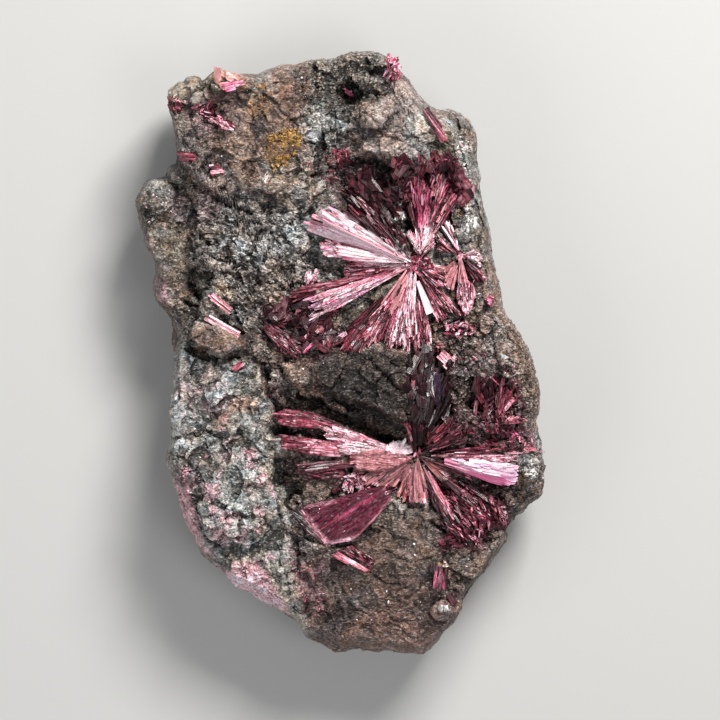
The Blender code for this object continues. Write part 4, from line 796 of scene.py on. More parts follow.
class Group:
    """Collects the blades of one piece."""

    def __init__(self, seed):
        self.rng = np.random.default_rng(seed)
        self.verts, self.faces, self.sizes, self.tone, self.marks, self.force, self.count = [], [], [], [], [], [], 0

    def add(self, verts, shapes, tone, marks, force):
        self.verts.append(verts)
        self.force.append(np.full(len(verts), force))
        for corners in shapes:
            self.faces.append((corners + self.count).ravel())
            self.sizes.append(np.full(len(corners), corners.shape[1]))
        self.tone.append(tone)
        self.marks.append(marks)
        self.count += len(verts)

    def build(self, name):
        verts = np.concatenate(self.verts)
        obj = mesh_object(name, verts, np.concatenate(self.faces), np.concatenate(self.sizes), np.concatenate(self.tone), np.concatenate(self.marks))
        put_value(obj.data, "striation", np.concatenate(self.force))
        return obj


def pick(rng, palette):
    weights = np.array([p[0] for p in palette], float)
    return palette[rng.choice(len(palette), p=weights / weights.sum())]


ROWS, COLUMNS = 9, 6


def blade_faces(rows, columns):
    top = np.arange(rows * columns).reshape(rows, columns)
    low = rows * columns + np.arange(rows * 2).reshape(rows, 2)
    quads = [np.stack([top[:-1, :-1], top[1:, :-1], top[1:, 1:], top[:-1, 1:]], -1).reshape(-1, 4)]
    quads.append(np.stack([top[:-1, 0], low[:-1, 0], low[1:, 0], top[1:, 0]], -1))
    quads.append(np.stack([top[:-1, -1], top[1:, -1], low[1:, 1], low[:-1, 1]], -1))
    quads.append(np.stack([low[:-1, 0], low[:-1, 1], low[1:, 1], low[1:, 0]], -1))
    half, tris = columns // 2, []
    for row, turned in ((0, False), (rows - 1, True)):
        ends = [(top[row, i], top[row, i + 1], low[row, 0] if i < half else low[row, 1]) for i in range(columns - 1)]
        ends.append((top[row, half], low[row, 1], low[row, 0]))
        tris += [t[::-1] if turned else t for t in ends]
    # plan y runs down, so every winding is turned over
    return np.concatenate(quads)[:, ::-1], np.array(tris)[:, ::-1]


FACES_OF = {}


def blade(group, p0, p1, w0, w1, z0, z1, thick, tilt=0.0, tones=(MAROON, CRIMSON, MAROON), cut=0.0, point=1.0, ridge=0.07, bow=0.0, swell=0.8, contrast=0.35, rows=ROWS, columns=COLUMNS):
    """A flat striated crystal from plan point p0 to p1. Widths in u, heights and thickness in mm, tilt about its length in degrees."""
    rng = group.rng
    p0, p1 = np.asarray(p0, float), np.asarray(p1, float)
    length = np.hypot(*(p1 - p0))
    d = (p1 - p0) / max(length, 1e-6)
    n = np.array([-d[1], d[0]])
    s = np.linspace(0, 1, rows)[:, None]
    v = np.linspace(-1, 1, columns)[None, :]
    half = 0.5 * (w0 + (w1 - w0) * s ** swell)
    if point < 1.0:
        half = half * np.where(s > 0.82, 1 - (1 - point) * (s - 0.82) / 0.18, 1.0)
    ridges = rng.normal(0, ridge, columns)[None, :] + rng.normal(0, ridge * 0.25, (rows, columns))
    slide = cut * v * half * (s > 0.9) + rng.normal(0, 0.35, (1, columns)) * (s > 0.99) * min(w1, 4) * 0.6
    x = p0[0] + d[0] * (length * s + slide) + n[0] * v * half
    y = p0[1] + d[1] * (length * s + slide) + n[1] * v * half
    rise = math.tan(math.radians(tilt))
    # v grows towards n, which lies on the blade's right as y runs down
    z = z0 + (z1 - z0) * s + bow * np.sin(np.pi * s) + v * half * rise * 0.16 + ridges * (0.35 + 0.65 * s)
    top = to_world(x.ravel(), y.ravel(), z.ravel())
    edge = np.array([-0.8, 0.8])[None, :]
    lx = p0[0] + d[0] * length * s * 0.985 + n[0] * edge * half
    ly = p0[1] + d[1] * length * s * 0.985 + n[1] * edge * half
    lz = z0 + (z1 - z0) * s + bow * np.sin(np.pi * s) + edge * half * rise * 0.16 - thick * (0.6 + 0.4 * s)
    low = to_world(lx.ravel(), ly.ravel(), lz.ravel())
    a, b, c = (np.asarray(t, float) for t in tones)
    along = np.where(s < 0.5, 2 * s, 1.0)[..., None]
    beyond = np.where(s > 0.5, 2 * s - 1, 0.0)[..., None]
    colour = (a + (b - a) * along) * (1 - beyond) + c * beyond
    stripe = np.exp(rng.normal(0, contrast, columns))[None, :, None] * np.exp(rng.normal(0, contrast * 0.5, (rows, columns)))[..., None]
    colour = np.clip(colour * stripe * math.exp(rng.normal(0, 0.16)), 0, 0.97) * np.ones((rows, columns, 1))
    # painted shade: the underside edges take half the top colour
    under = np.clip(colour[:, [0, -1]] * 0.5, 0, 1)
    tag = rng.random()
    size = max(w1, w0) / 6.0
    marks = np.stack([v * size * np.ones_like(s), s * length / 30.0 * np.ones_like(v), np.full((rows, columns), tag)], -1).reshape(-1, 3)
    low_marks = np.stack([edge * size * np.ones_like(s), s * length / 30.0 * np.ones_like(edge), np.full((rows, 2), tag)], -1).reshape(-1, 3)
    if (rows, columns) not in FACES_OF:
        FACES_OF[(rows, columns)] = blade_faces(rows, columns)
    group.add(np.concatenate([top, low]), FACES_OF[(rows, columns)], np.concatenate([colour.reshape(-1, 3), under.reshape(-1, 3)]), np.concatenate([marks, low_marks]), min(max(contrast * 2.6, 0.2), 1.0))


def ground(tree, x, y):
    hit = tree.ray_cast(Vector(((x - CX) * UNIT, (CY - y) * UNIT, 0.08)), Vector((0, 0, -1)))
    return hit[0].z * 1000 if hit[0] is not None else RIM_MM


def seat(tree, p0, p1, lift0, lift1, samples=7, give=0.55):
    """Heights of a straight crystal's ends so that it clears most of the rock beneath it."""
    s = np.linspace(0, 1, samples)
    g = np.array([ground(tree, p0[0] + (p1[0] - p0[0]) * k, p0[1] + (p1[1] - p0[1]) * k) for k in s])
    z0, z1 = g[0] + lift0, g[-1] + lift1
    over = np.max(g + 0.15 - (z0 + (z1 - z0) * s))
    return z0 + max(over, 0) * give, z1 + max(over, 0) * give


def along_line(points, t):
    """Point at share t of a polyline's length."""
    points = np.asarray(points, float)
    if len(points) == 1:
        return points[0]
    steps = np.hypot(*(points[1:] - points[:-1]).T)
    at = np.concatenate([[0], np.cumsum(steps)]) / steps.sum()
    return np.array([np.interp(t, at, points[:, 0]), np.interp(t, at, points[:, 1])])


def fan(group, tree, root, far, count, width, palette, lift=(1.4, 0.7), start=(0.02, 0.25), end=(0.86, 1.0), tilt=(0, 9), root_width=1.2, point=0.75,
        thick=0.55, layer=0.35, contrast=0.35, cut=0.7, spread=1.0, core=3.0, shards=2.6, bright=1.0):
    """Blades from a root to a far edge, side by side and a little over one another."""
    rng = group.rng
    root = np.asarray(root, float)
    far = [tuple(q) for q in far]
    ranked = sorted(palette, key=lambda q: sum(q[1]) + sum(q[2]) + sum(q[3]))
    shares = np.cumsum([q[0] for q in ranked]) / sum(q[0] for q in ranked)
    seed = int(rng.integers(1, 9000))

    def shade(point, loose):
        """Tones that drift over the spray, so that neighbouring blades shine or darken together."""
        off = np.asarray(point) - root
        r = np.hypot(*off)
        turn = math.atan2(off[1], off[0])
        drift = value_noise(np.array([[turn * 90 / 7.5, r / 15.0, 0.5], [turn * 90 / 3.0, r / 8.0, 4.5]]), seed)
        u = 1 / (1 + math.exp(-4.6 * (drift[0] + 0.6 * drift[1] + rng.normal(0, loose))))
        return ranked[min(int(np.searchsorted(shares, u)), len(ranked) - 1)], math.exp(0.45 * drift[0])

    broad = max(int(round(count * 0.62)), 2)
    order = rng.permutation(broad)
    for i in range(broad):
        t = (order[i] + 0.5 + rng.uniform(-0.45, 0.45) * spread) / broad
        tip = along_line(far, t)
        k0, k1 = rng.uniform(*start), rng.uniform(*end)
        side = tip - root
        normal = np.array([-side[1], side[0]]) / max(np.hypot(*side), 1e-6)
        p0 = root + side * k0 + normal * rng.normal(0, core * 0.35) * (1 - k0)
        p1 = root + side * k1
        w1 = rng.uniform(*width) * (0.75 + 0.25 * k1) * 1.35
        w0 = max(root_width, w1 * k0)
        z0, z1 = seat(tree, p0, p1, lift[0] + (lift[1] - lift[0]) * k0, lift[1])
        up = rng.uniform(-0.5, 0.5) * layer
        (_, a, b, c), _ = shade(0.4 * p0 + 0.6 * p1, 0.22)
        blade(group, p0, p1, w0, w1, z0 + up * 0.5, z1 + up, thick, rng.normal(*tilt), (a, b, c), rng.uniform(-cut, cut), point, contrast=contrast)
    # splinters that lie over the long blades, end over end
    nearest = 0.5 * (start[0] + start[1])
    for i in range(int(count * shards)):
        tip = along_line(far, rng.uniform(-0.02, 1.02))
        side = tip - root
        reach = max(np.hypot(*side), 1e-6)
        normal = np.array([-side[1], side[0]]) / reach
        k0 = nearest + (0.94 - nearest) * rng.random() ** 0.8
        k1 = min(k0 + rng.uniform(6, 24) / reach, end[1] + 0.02)
        if k1 - k0 < 0.05:
            continue
        w = rng.uniform(0.22, 0.62) * rng.uniform(*width) * (0.5 + 0.5 * k1)
        veer = rng.normal(0, 0.05) * (k1 - k0) * reach
        p0 = root + side * k0 + normal * rng.normal(0, 0.7)
        p1 = root + side * k1 + normal * (rng.normal(0, 0.7) + veer)
        z0, z1 = seat(tree, root, tip, lift[0], lift[1])
        up = rng.uniform(0.05, 0.42)
        (_, a, b, c), wave = shade(0.5 * (p0 + p1), 0.16)
        shine = bright * wave * math.exp(rng.normal(0.05, 0.20))
        a, b, c = (tuple(np.clip(np.array(t) * shine, 0, 0.97)) for t in (b, b, c))
        blade(group, p0, p1, w * rng.uniform(0.6, 1.0), w, z0 + (z1 - z0) * k0 + up * 0.6, z0 + (z1 - z0) * k1 + up + rng.uniform(0.0, 0.28), 0.5,
              rng.normal(tilt[0], tilt[1] * 1.5), (a, b, c), rng.uniform(-1.1, 1.1), rng.uniform(0.35, 1.0), ridge=0.05, contrast=contrast, rows=5, columns=4)


def mass(group, tree, ring, count, heading, spread, length, width, palette, lift=(0.1, 0.8), tilt=(0, 16), thick=0.5, contrast=0.4, point=0.6):
    """Short crystals strewn over a ring of ground, mostly along one heading (degrees, 0 right, 90 up the face)."""
    rng = group.rng
    xs, ys = [p[0] for p in ring], [p[1] for p in ring]
    made = 0
    while made < count:
        x, y = rng.uniform(min(xs), max(xs)), rng.uniform(min(ys), max(ys))
        if not inside_of(np.array([x]), np.array([y]), ring)[0]:
            continue
        made += 1
        a = math.radians(heading + rng.normal(0, spread) + (180 if rng.random() < 0.35 else 0))
        k = rng.uniform(*length)
        p0 = (x - 0.5 * k * math.cos(a), y + 0.5 * k * math.sin(a))
        p1 = (x + 0.5 * k * math.cos(a), y - 0.5 * k * math.sin(a))
        w = rng.uniform(*width)
        z0, z1 = ground(tree, *p0) + lift[0], ground(tree, *p1) + lift[1] * rng.uniform(0.3, 1.2)
        z0, z1 = max(z0, z1 - 0.12 * k), max(z1, z0 - 0.12 * k)
        _, c0, c1, c2 = pick(rng, palette)
        blade(group, p0, p1, w * 0.7, w, z0, z1, thick, rng.normal(*tilt), (c0, c1, c2), rng.uniform(-0.9, 0.9), point, contrast=contrast, rows=5, columns=4)


def chords(ring, origin, heading):
    """Start and end of a straight line's stretches inside a ring."""
    a = math.radians(heading)
    dx, dy = math.cos(a), -math.sin(a)
    cuts = []
    for (x0, y0), (x1, y1) in zip(ring, ring[1:] + ring[:1]):
        ex, ey = x1 - x0, y1 - y0
        det = dx * -ey + ex * dy
        if abs(det) < 1e-9:
            continue
        bx, by = x0 - origin[0], y0 - origin[1]
        s = (bx * -ey + ex * by) / det
        u = (dx * by - dy * bx) / det
        if 0 <= u < 1:
            cuts.append(s)
    cuts.sort()
    return [((origin[0] + dx * cuts[i], origin[1] + dy * cuts[i]), (origin[0] + dx * cuts[i + 1], origin[1] + dy * cuts[i + 1])) for i in range(0, len(cuts) - 1, 2)]


def tabular(group, tree, ring, heading, strip, palette, lift=0.5, thick=1.0, slope=(0.0, 0.0), ragged=0.6, step=0.10, tilt=(0, 2.5), contrast=0.28):
    """A broad crystal cut into its lengthwise growth strips, all in one plane, over a ring. slope is mm of rise per u in x and y."""
    rng = group.rng
    cx, cy = np.mean([p[0] for p in ring]), np.mean([p[1] for p in ring])
    a = math.radians(heading)
    nx, ny = math.sin(a), math.cos(a)
    reach = max(abs((x - cx) * nx + (y - cy) * ny) for x, y in ring)
    g = []
    for x, y in ring:
        for k in (0.0, 0.5, 0.9):
            g.append(ground(tree, cx + (x - cx) * k, cy + (y - cy) * k) - slope[0] * (x - cx) * k - slope[1] * (y - cy) * k)
    base = np.percentile(g, 80) + lift
    offset = -reach + strip * 0.5
    while offset < reach:
        w = strip * rng.uniform(0.7, 1.5)
        for p0, p1 in chords(ring, (cx + nx * offset, cy + ny * offset), heading):
            span = math.hypot(p1[0] - p0[0], p1[1] - p0[1])
            if span < 1.5:
                continue
            e0, e1 = rng.normal(0, ragged) / span, 1 + rng.normal(0, ragged) / span
            q0 = (p0[0] + (p1[0] - p0[0]) * e0, p0[1] + (p1[1] - p0[1]) * e0)
            q1 = (p0[0] + (p1[0] - p0[0]) * e1, p0[1] + (p1[1] - p0[1]) * e1)
            up = rng.normal(0, step)
            z0 = base + slope[0] * (q0[0] - cx) + slope[1] * (q0[1] - cy) + up
            z1 = base + slope[0] * (q1[0] - cx) + slope[1] * (q1[1] - cy) + up
            _, c0, c1, c2 = pick(rng, palette)
            blade(group, q0, q1, w * 1.15, w * 1.15, z0, z1, thick, rng.normal(*tilt), (c0, c1, c2), rng.uniform(-0.5, 0.5), 1.0, ridge=0.035, contrast=contrast, columns=4)
        offset += w


def knob(group, tree, x, y, size, count, palette, lift=0.5, length=(4, 9), width=(1.5, 3.5)):
    """A tight knot of stubby crystals pointing every way, where a spray's blades meet."""
    rng = group.rng
    base = ground(tree, x, y) + lift
    for _ in range(count):
        a = rng.uniform(0, 2 * math.pi)
        k = rng.uniform(*length)
        ox, oy = rng.normal(0, size * 0.4), rng.normal(0, size * 0.4)
        p0, p1 = (x + ox, y + oy), (x + ox + k * math.cos(a), y + oy - k * math.sin(a))
        w = rng.uniform(*width)
        _, c0, c1, c2 = pick(rng, palette)
        blade(group, p0, p1, w * 0.8, w, base + rng.uniform(0, 0.5), base + rng.uniform(-0.5, 0.5), 0.7, rng.normal(0, 20), (c0, c1, c2), rng.uniform(-0.9, 0.9), 0.6, rows=5, columns=4)


def paint_highlights_and_tints(obj, marks):
    """Brightens or darkens a piece's crystals along lines of its plan, mostly as painted highlights in pearl, pale and
    hot pink where cleavage faces and rims catch the light, also as bands of other tones (salmon, ruby, magenta, deep
    crimson): (line, reach in u, colour, strength, share of blades).
    """
    mesh = obj.data
    co = coordinates(mesh)
    x, y, _ = plan_of(co)
    layer = mesh.attributes["tone"]
    rgba = np.empty(len(co) * 4, np.float32)
    layer.data.foreach_get("color", rgba)
    rgba = rgba.reshape(-1, 4)
    vec = np.empty(len(co) * 3, np.float32)
    mesh.attributes["crystal"].data.foreach_get("vector", vec)
    tag = vec.reshape(-1, 3)[:, 2]
    for i, (line, reach, colour, strength, share) in enumerate(marks):
        k = (1 - smooth(reach * 0.45, reach, line_distance(x, y, line))) * strength
        chosen = ((tag * (7.13 + i)) % 1.0) < share
        k = k * np.where(chosen, 1.0, 0.25) * np.clip(0.75 + 0.5 * value_noise(plan3(x, y, 2.2), 900 + i), 0, 1)
        rgba[:, :3] += (np.asarray(colour) - rgba[:, :3]) * k[:, None]
    layer.data.foreach_set("color", np.clip(rgba, 0, 1).astype(np.float32).ravel())


def plate(group, tree, ring, heading, palette, lift=0.6, thick=1.0, slope=(0.0, 0.0), lines=26, along=16, relief=0.13, ragged=0.5, rim=0.3, contrast=0.45, base=None):
    """One broad crystal over a convex ring, striated along its heading, with a worn rim. slope is mm of rise per u in x and y."""
    rng = group.rng
    cx, cy = np.mean([p[0] for p in ring]), np.mean([p[1] for p in ring])
    a = math.radians(heading)
    nx, ny = math.sin(a), math.cos(a)
    reaches = [(x - cx) * nx + (y - cy) * ny for x, y in ring]
    if base is None:
        g = [ground(tree, cx + (x - cx) * k, cy + (y - cy) * k) - slope[0] * (x - cx) * k - slope[1] * (y - cy) * k for x, y in ring for k in (0.0, 0.5, 0.9)]
        base = np.percentile(g, 80) + lift
    offsets = min(reaches) + (max(reaches) - min(reaches)) * np.linspace(0.02, 0.98, lines)
    s = np.linspace(0, 1, along)
    starts, ends = [], []
    for offset in offsets:
        cuts = chords(ring, (cx + nx * offset, cy + ny * offset), heading)
        p0, p1 = max(cuts, key=lambda c: math.hypot(c[1][0] - c[0][0], c[1][1] - c[0][1]))
        span = max(math.hypot(p1[0] - p0[0], p1[1] - p0[1]), 0.5)
        e0, e1 = abs(rng.normal(0, ragged)) / span, 1 - abs(rng.normal(0, ragged)) / span
        e0, e1 = min(e0, 0.3), max(e1, 0.7)
        starts.append((p0[0] + (p1[0] - p0[0]) * e0, p0[1] + (p1[1] - p0[1]) * e0))
        ends.append((p0[0] + (p1[0] - p0[0]) * e1, p0[1] + (p1[1] - p0[1]) * e1))
    starts, ends = np.array(starts), np.array(ends)
    # rows run along the crystal, columns across it
    x = starts[None, :, 0] + (ends - starts)[None, :, 0] * s[:, None]
    y = starts[None, :, 1] + (ends - starts)[None, :, 1] * s[:, None]
    u = ((x - cx) * math.cos(a) - (y - cy) * math.sin(a)).ravel()
    v = ((x - cx) * nx + (y - cy) * ny).ravel()
    seed = int(rng.integers(1, 9000))
    rough = value_noise(np.stack([u / 11.0, v / 1.7, np.full(len(u), 0.3)], 1), seed) + 0.8 * value_noise(np.stack([u / 26.0, v / 5.0, np.full(len(u), 7.3)], 1), seed + 1)
    border = np.zeros((along, lines))
    border[[0, -1], :] = 1
    border[:, [0, -1]] = 1
    z = base + slope[0] * (x - cx) + slope[1] * (y - cy) + relief * rough.reshape(x.shape) + rng.normal(0, relief * 0.3, x.shape) - rim * border
    top = to_world(x.ravel(), y.ravel(), z.ravel())
    inner_x, inner_y = cx + (x - cx) * 0.93, cy + (y - cy) * 0.93
    low_z = base + slope[0] * (x - cx) + slope[1] * (y - cy) - thick
    low = to_world(inner_x.ravel(), inner_y.ravel(), low_z.ravel())
    grid = np.arange(along * lines).reshape(along, lines)
    under = grid + along * lines
    quads = [np.stack([grid[:-1, :-1], grid[1:, :-1], grid[1:, 1:], grid[:-1, 1:]], -1).reshape(-1, 4), np.stack([under[:-1, :-1], under[:-1, 1:], under[1:, 1:], under[1:, :-1]], -1).reshape(-1, 4),
             np.stack([grid[:-1, 0], under[:-1, 0], under[1:, 0], grid[1:, 0]], -1), np.stack([grid[:-1, -1], grid[1:, -1], under[1:, -1], under[:-1, -1]], -1),
             np.stack([grid[0, :-1], grid[0, 1:], under[0, 1:], under[0, :-1]], -1), np.stack([grid[-1, :-1], under[-1, :-1], under[-1, 1:], grid[-1, 1:]], -1)]
    faces = np.concatenate(quads)
    # facing up: turn the windings where the first quad looks down
    e, f = top[grid[1, 0]] - top[grid[0, 0]], top[grid[0, 1]] - top[grid[0, 0]]
    if np.cross(e, f)[2] < 0:
        faces = faces[:, ::-1]
    shades = np.array([[palette[i][1], palette[i][2], palette[i][3]] for i in rng.choice(len(palette), lines, p=np.array([q[0] for q in palette], float) / sum(q[0] for q in palette))])
    shades = 0.5 * shades + 0.25 * np.roll(shades, 1, 0) + 0.25 * np.roll(shades, -1, 0)
    first, last = (1 - s)[:, None, None], s[:, None, None]
    colour = shades[None, :, 0] * first ** 2 + 2 * shades[None, :, 1] * first * last + shades[None, :, 2] * last ** 2
    speck = value_noise(np.stack([u / 6.0, v / 1.5, np.full(len(u), 3.3)], 1), seed + 2).reshape(x.shape)
    colour = colour * np.exp(contrast * 1.6 * speck + rng.normal(0, contrast * 0.35, x.shape))[..., None]
    colour = np.clip(colour, 0, 0.97).reshape(-1, 3)
    marks = np.stack([v / 6.0, u / 30.0, np.full(len(u), rng.random())], 1)
    # painted shade: the underside takes half the top colour
    group.add(np.concatenate([top, low]), [faces], np.concatenate([colour, colour * 0.5]), np.concatenate([marks, marks]), min(max(contrast * 2.2, 0.2), 1.0))



# ---------------------------------------------------------------- the crystal groups
def upper_spray(tree):
    g = Group(11)
    c = (413, 265)
    # dark laths behind, in the pocket
    fan(g, tree, c, [(337, 212), (342, 200), (360, 198)], 14, (5, 9), INKS + DARKS, (1.0, 1.2), (0.0, 0.3), (0.65, 1.0), (-4, 10), contrast=0.35, shards=3.5, bright=0.8)
    fan(g, tree, c, [(372, 206), (384, 206), (396, 230)], 6, (5, 9), INKS, (0.7, 0.5), (0.1, 0.4), (0.5, 0.8), (-4, 10), contrast=0.35, shards=2, bright=0.8)
    mass(g, tree, [(346, 176), (398, 166), (408, 206), (392, 226), (356, 206)], 46, 118, 26, (9, 20), (6, 12), INKS, (0.2, 1.2), (0, 20), contrast=0.22, point=0.95)
    mass(g, tree, [(340, 196), (392, 190), (400, 232), (360, 214)], 34, 140, 16, (8, 18), (2.0, 4.6), INKS + DARKS, (0.5, 1.3))
    mass(g, tree, [(332, 150), (350, 150), (352, 166), (336, 168)], 22, 100, 60, (3, 7), (1.5, 3), REDS, (0.1, 0.7))
    # the fan that rises: dark mass first, then bright needles and its pale foot
    rise = (421, 252)
    fan(g, tree, rise, [(400, 186), (405, 167), (425, 161), (447, 161), (464, 186), (456, 202)], 26, (4, 9), DARKS + [(3, CRIMSON, RUBY, CRIMSON), (3, RUBY, MAUVE, CRIMSON), (2, MAUVE, (0.45, 0.20, 0.22), MAUVE)], (1.4, 0.6),
        (0.15, 0.45), (0.5, 0.8), (0, 14), contrast=0.45, shards=3)
    mass(g, tree, [(392, 166), (424, 158), (450, 158), (472, 188), (462, 208), (440, 208), (402, 198)], 80, 78, 34, (7, 13), (6, 12), DARKS + [(4, (0.20, 0.07, 0.08), (0.24, 0.09, 0.10), CRIMSON), (2, CRIMSON, MAUVE, CRIMSON)], (0.4, 1.5), (0, 20), contrast=0.25, point=0.9)
    mass(g, tree, [(396, 166), (424, 158), (450, 158), (472, 188), (462, 208), (440, 208), (404, 200)], 110, 80, 40, (3, 9), (1.0, 2.6), REDS + DARKS + [(2, RUBY, HOT, CRIMSON), (1, MAUVE, BLUSH, MAUVE)], (0.9, 1.9), (0, 18))
    fan(g, tree, rise, [(413, 188), (418, 181), (427, 184), (431, 196)], 17, (2, 4), [(3, HOT, MAGENTA, MAGENTA), (2, PINK, MAGENTA, RUBY), (1, BLUSH, HOT, MAGENTA)], (1.9, 1.2), (0.1, 0.5), (0.7, 1.0), (3, 9), point=0.4)
    fan(g, tree, rise, [(432, 205), (446, 196), (455, 205)], 12, (2, 4), REDS, (1.6, 1.0), (0.2, 0.5), (0.6, 1.0), (3, 12), point=0.4)
    fan(g, tree, (419, 256), [(415, 222), (421, 222)], 5, (3, 5), PEARL_SHEENS, (2.2, 2.0), (0.0, 0.3), (0.75, 1.0), (6, 6))
    fan(g, tree, (420, 256), [(405, 238), (411, 229)], 5, (3, 5), PEARL_SHEENS, (2.0, 1.6), (0.0, 0.3), (0.75, 1.0), (6, 9))
    fan(g, tree, (421, 254), [(426, 226), (433, 236), (433, 246)], 8, (3.5, 6), PEARL_SHEENS, (2.1, 1.9), (0.0, 0.2), (0.75, 1.0), (4, 10))
    # the pearly upper-left fan: an upper and a lower band
    fan(g, tree, c, [(333, 211), (317, 218), (306, 227)], 20, (5, 9), PEARL_SHEENS + [(3, PEARL_SHEEN, PEARL_SHEEN, BLUSH), (2, PINK, PINK, HOT)], (2.1, 1.5), (0.0, 0.3), (0.84, 1.02), (6, 8), contrast=0.15, shards=6.5, bright=1.45)
    fan(g, tree, c, [(322, 246), (326, 256)], 9, (4, 7), PEARL_SHEENS + [(2, RUBY, PINK, HOT)], (1.9, 1.1), (0.0, 0.3), (0.8, 1.0), (6, 8), contrast=0.24, shards=6, bright=1.35)
    fan(g, tree, c, [(312, 236), (320, 246)], 6, (4, 6), PINKS, (1.5, 0.8), (0.1, 0.4), (0.5, 0.95), (2, 8), contrast=0.35)
    fan(g, tree, (400, 258), [(381, 236), (386, 240)], 4, (2.5, 4), PEARL_SHEENS, (1.6, 1.6), (0.0, 0.3), (0.8, 1.0), (2, 10))
    # the reddish dark fan below it, and the long ones to the lower left
    fan(g, tree, c, [(346, 264), (345, 284)], 13, (3, 5.5), DARKS + [(3, RUBY, CRIMSON, MAROON), (2, SALMON, PINK, MAUVE)], (1.5, 0.7), (0.1, 0.35), (0.7, 1.0), (0, 8), contrast=0.5, shards=5, bright=1.4)
    fan(g, tree, c, [(290, 291), (294, 304)], 8, (4, 7), DARKS, (1.3, 0.9), (0.2, 0.6), (0.85, 1.0), (0, 8), contrast=0.5)
    fan(g, tree, c, [(306, 300), (313, 321)], 16, (3, 6), [(3, RUBY, PINK, PINK), (2, RUBY, HOT, PINK), (1, MAROON, CRIMSON, CRIMSON), (4, PINK, BLUSH, HOT)], (1.7, 1.0), (0.0, 0.35), (0.75, 1.0), (3, 8), contrast=0.34, shards=6, bright=1.75)
    fan(g, tree, c, [(318, 300), (322, 310)], 6, (3, 5), PEARL_SHEENS, (1.8, 1.4), (0.2, 0.6), (0.75, 0.98), (6, 6))
    fan(g, tree, c, [(338, 341), (346, 352), (358, 351), (379, 339)], 20, (5, 9), REDS + [(2, CRIMSON, MAUVE, MAROON), (1, MAROON, PINK, MAUVE)], (1.6, 0.8), (0.25, 0.5), (0.85, 1.0), (2, 8), contrast=0.5, shards=4, bright=0.8)
    fan(g, tree, c, [(380, 308), (396, 316)], 12, (4, 7), SALMONS, (1.7, 1.2), (0.02, 0.3), (0.8, 1.0), (2, 6), contrast=0.14, shards=1.5)
    fan(g, tree, c, [(385, 344), (400, 351), (416, 349), (431, 346)], 22, (4, 7.5), PINKS + [(2, CRIMSON, MAUVE, MAROON)], (1.6, 0.8), (0.2, 0.5), (0.85, 1.02), (2, 9), contrast=0.42, point=0.55)
    fan(g, tree, c, [(392, 338), (402, 346), (414, 340)], 13, (3, 6), PEARL_SHEENS, (1.9, 1.2), (0.02, 0.3), (0.7, 1.0), (6, 7), contrast=0.3, point=0.5)
    fan(g, tree, c, [(414, 342), (430, 340)], 8, (2, 4), DARKS + REDS, (1.6, 1.1), (0.1, 0.4), (0.8, 1.0), (0, 12), contrast=0.45, point=0.4)
    fan(g, tree, c, [(438, 322), (452, 311), (462, 316)], 14, (2.5, 5), REDS + [(3, RUBY, CRIMSON, PINK), (2, CRIMSON, PINK, RUBY)], (1.6, 0.9), (0.05, 0.35), (0.85, 1.0), (0, 12), contrast=0.5, point=0.5, shards=4, bright=0.9)
    fan(g, tree, c, [(449, 290), (452, 270)], 9, (4, 7), SALMONS + [(2, CRIMSON, RUST, SALMON)], (1.5, 0.8), (0.1, 0.4), (0.75, 1.0), (0, 8), contrast=0.32, shards=4)
    fan(g, tree, c, [(440, 296), (444, 276)], 8, (2, 4), [(3, RUBY, PINK, CRIMSON), (2, HOT, PINK, RUBY), (1, MAROON, CRIMSON, MAROON)], (1.9, 1.3), (0.0, 0.3), (0.5, 1.0), (0, 10), contrast=0.4, shards=4)
    # one square-ended white lath
    z0, z1 = seat(tree, (417, 283), (429, 314), 2.3, 1.8)
    blade(g, (417, 282), (429.5, 314), 3.5, 8.2, z0, z1, 0.8, 9, ((0.62, 0.45, 0.50), (0.74, 0.64, 0.68), (0.78, 0.71, 0.74)), 0.16, 1.0, ridge=0.05, contrast=0.2, swell=0.7)
    knob(g, tree, 414, 265, 11, 60, REDS + [(2, RUBY, HOT, PINK), (2, CRIMSON, RUBY, MAGENTA)], 1.5, (4, 10))
    knob(g, tree, 428, 266, 8, 14, REDS, 0.9)
    obj = g.build("upper_spray_blades")
    # painted highlights: pearl and pale pink where the fans' cleavage faces catch the light, with a few bands of other
    # tones
    paint_highlights_and_tints(obj, [([(402, 262), (370, 243), (340, 222), (324, 220)], 10, PEARL_SHEEN, 0.75, 0.9), ([(392, 259), (350, 242), (312, 229)], 5.5, (0.97, 0.68, 0.80), 0.7, 0.8), ([(396, 267), (366, 259), (335, 250)], 6, PEARL_SHEEN, 0.8, 0.7),
               ([(318, 220), (308, 227)], 10, PINK, 0.5, 0.8), ([(392, 272), (366, 268), (345, 262)], 3.5, DEEP, 0.6, 0.6),
               ([(356, 296), (340, 301), (325, 308)], 5, (0.97, 0.72, 0.84), 0.9, 0.9), ([(328, 304), (335, 300)], 4, HOT, 0.9, 0.9),
               ([(411, 276), (408, 300), (400, 318)], 4.5, PEARL_SHEEN, 0.7, 0.6), ([(408, 290), (404, 320)], 3.5, HOT, 0.5, 0.6),
               ([(398, 322), (390, 342)], 5, PEARL_SHEEN, 0.45, 0.5), ([(416, 224), (424, 190)], 7, MAGENTA, 0.55, 0.6),
               ([(412, 242), (417, 250)], 6, PEARL_SHEEN, 0.8, 0.9), ([(426, 232), (425, 250)], 6, PEARL_SHEEN, 0.8, 0.9), ([(417, 228), (418, 244)], 2.5, HOT, 0.7, 1.0)])
    return obj


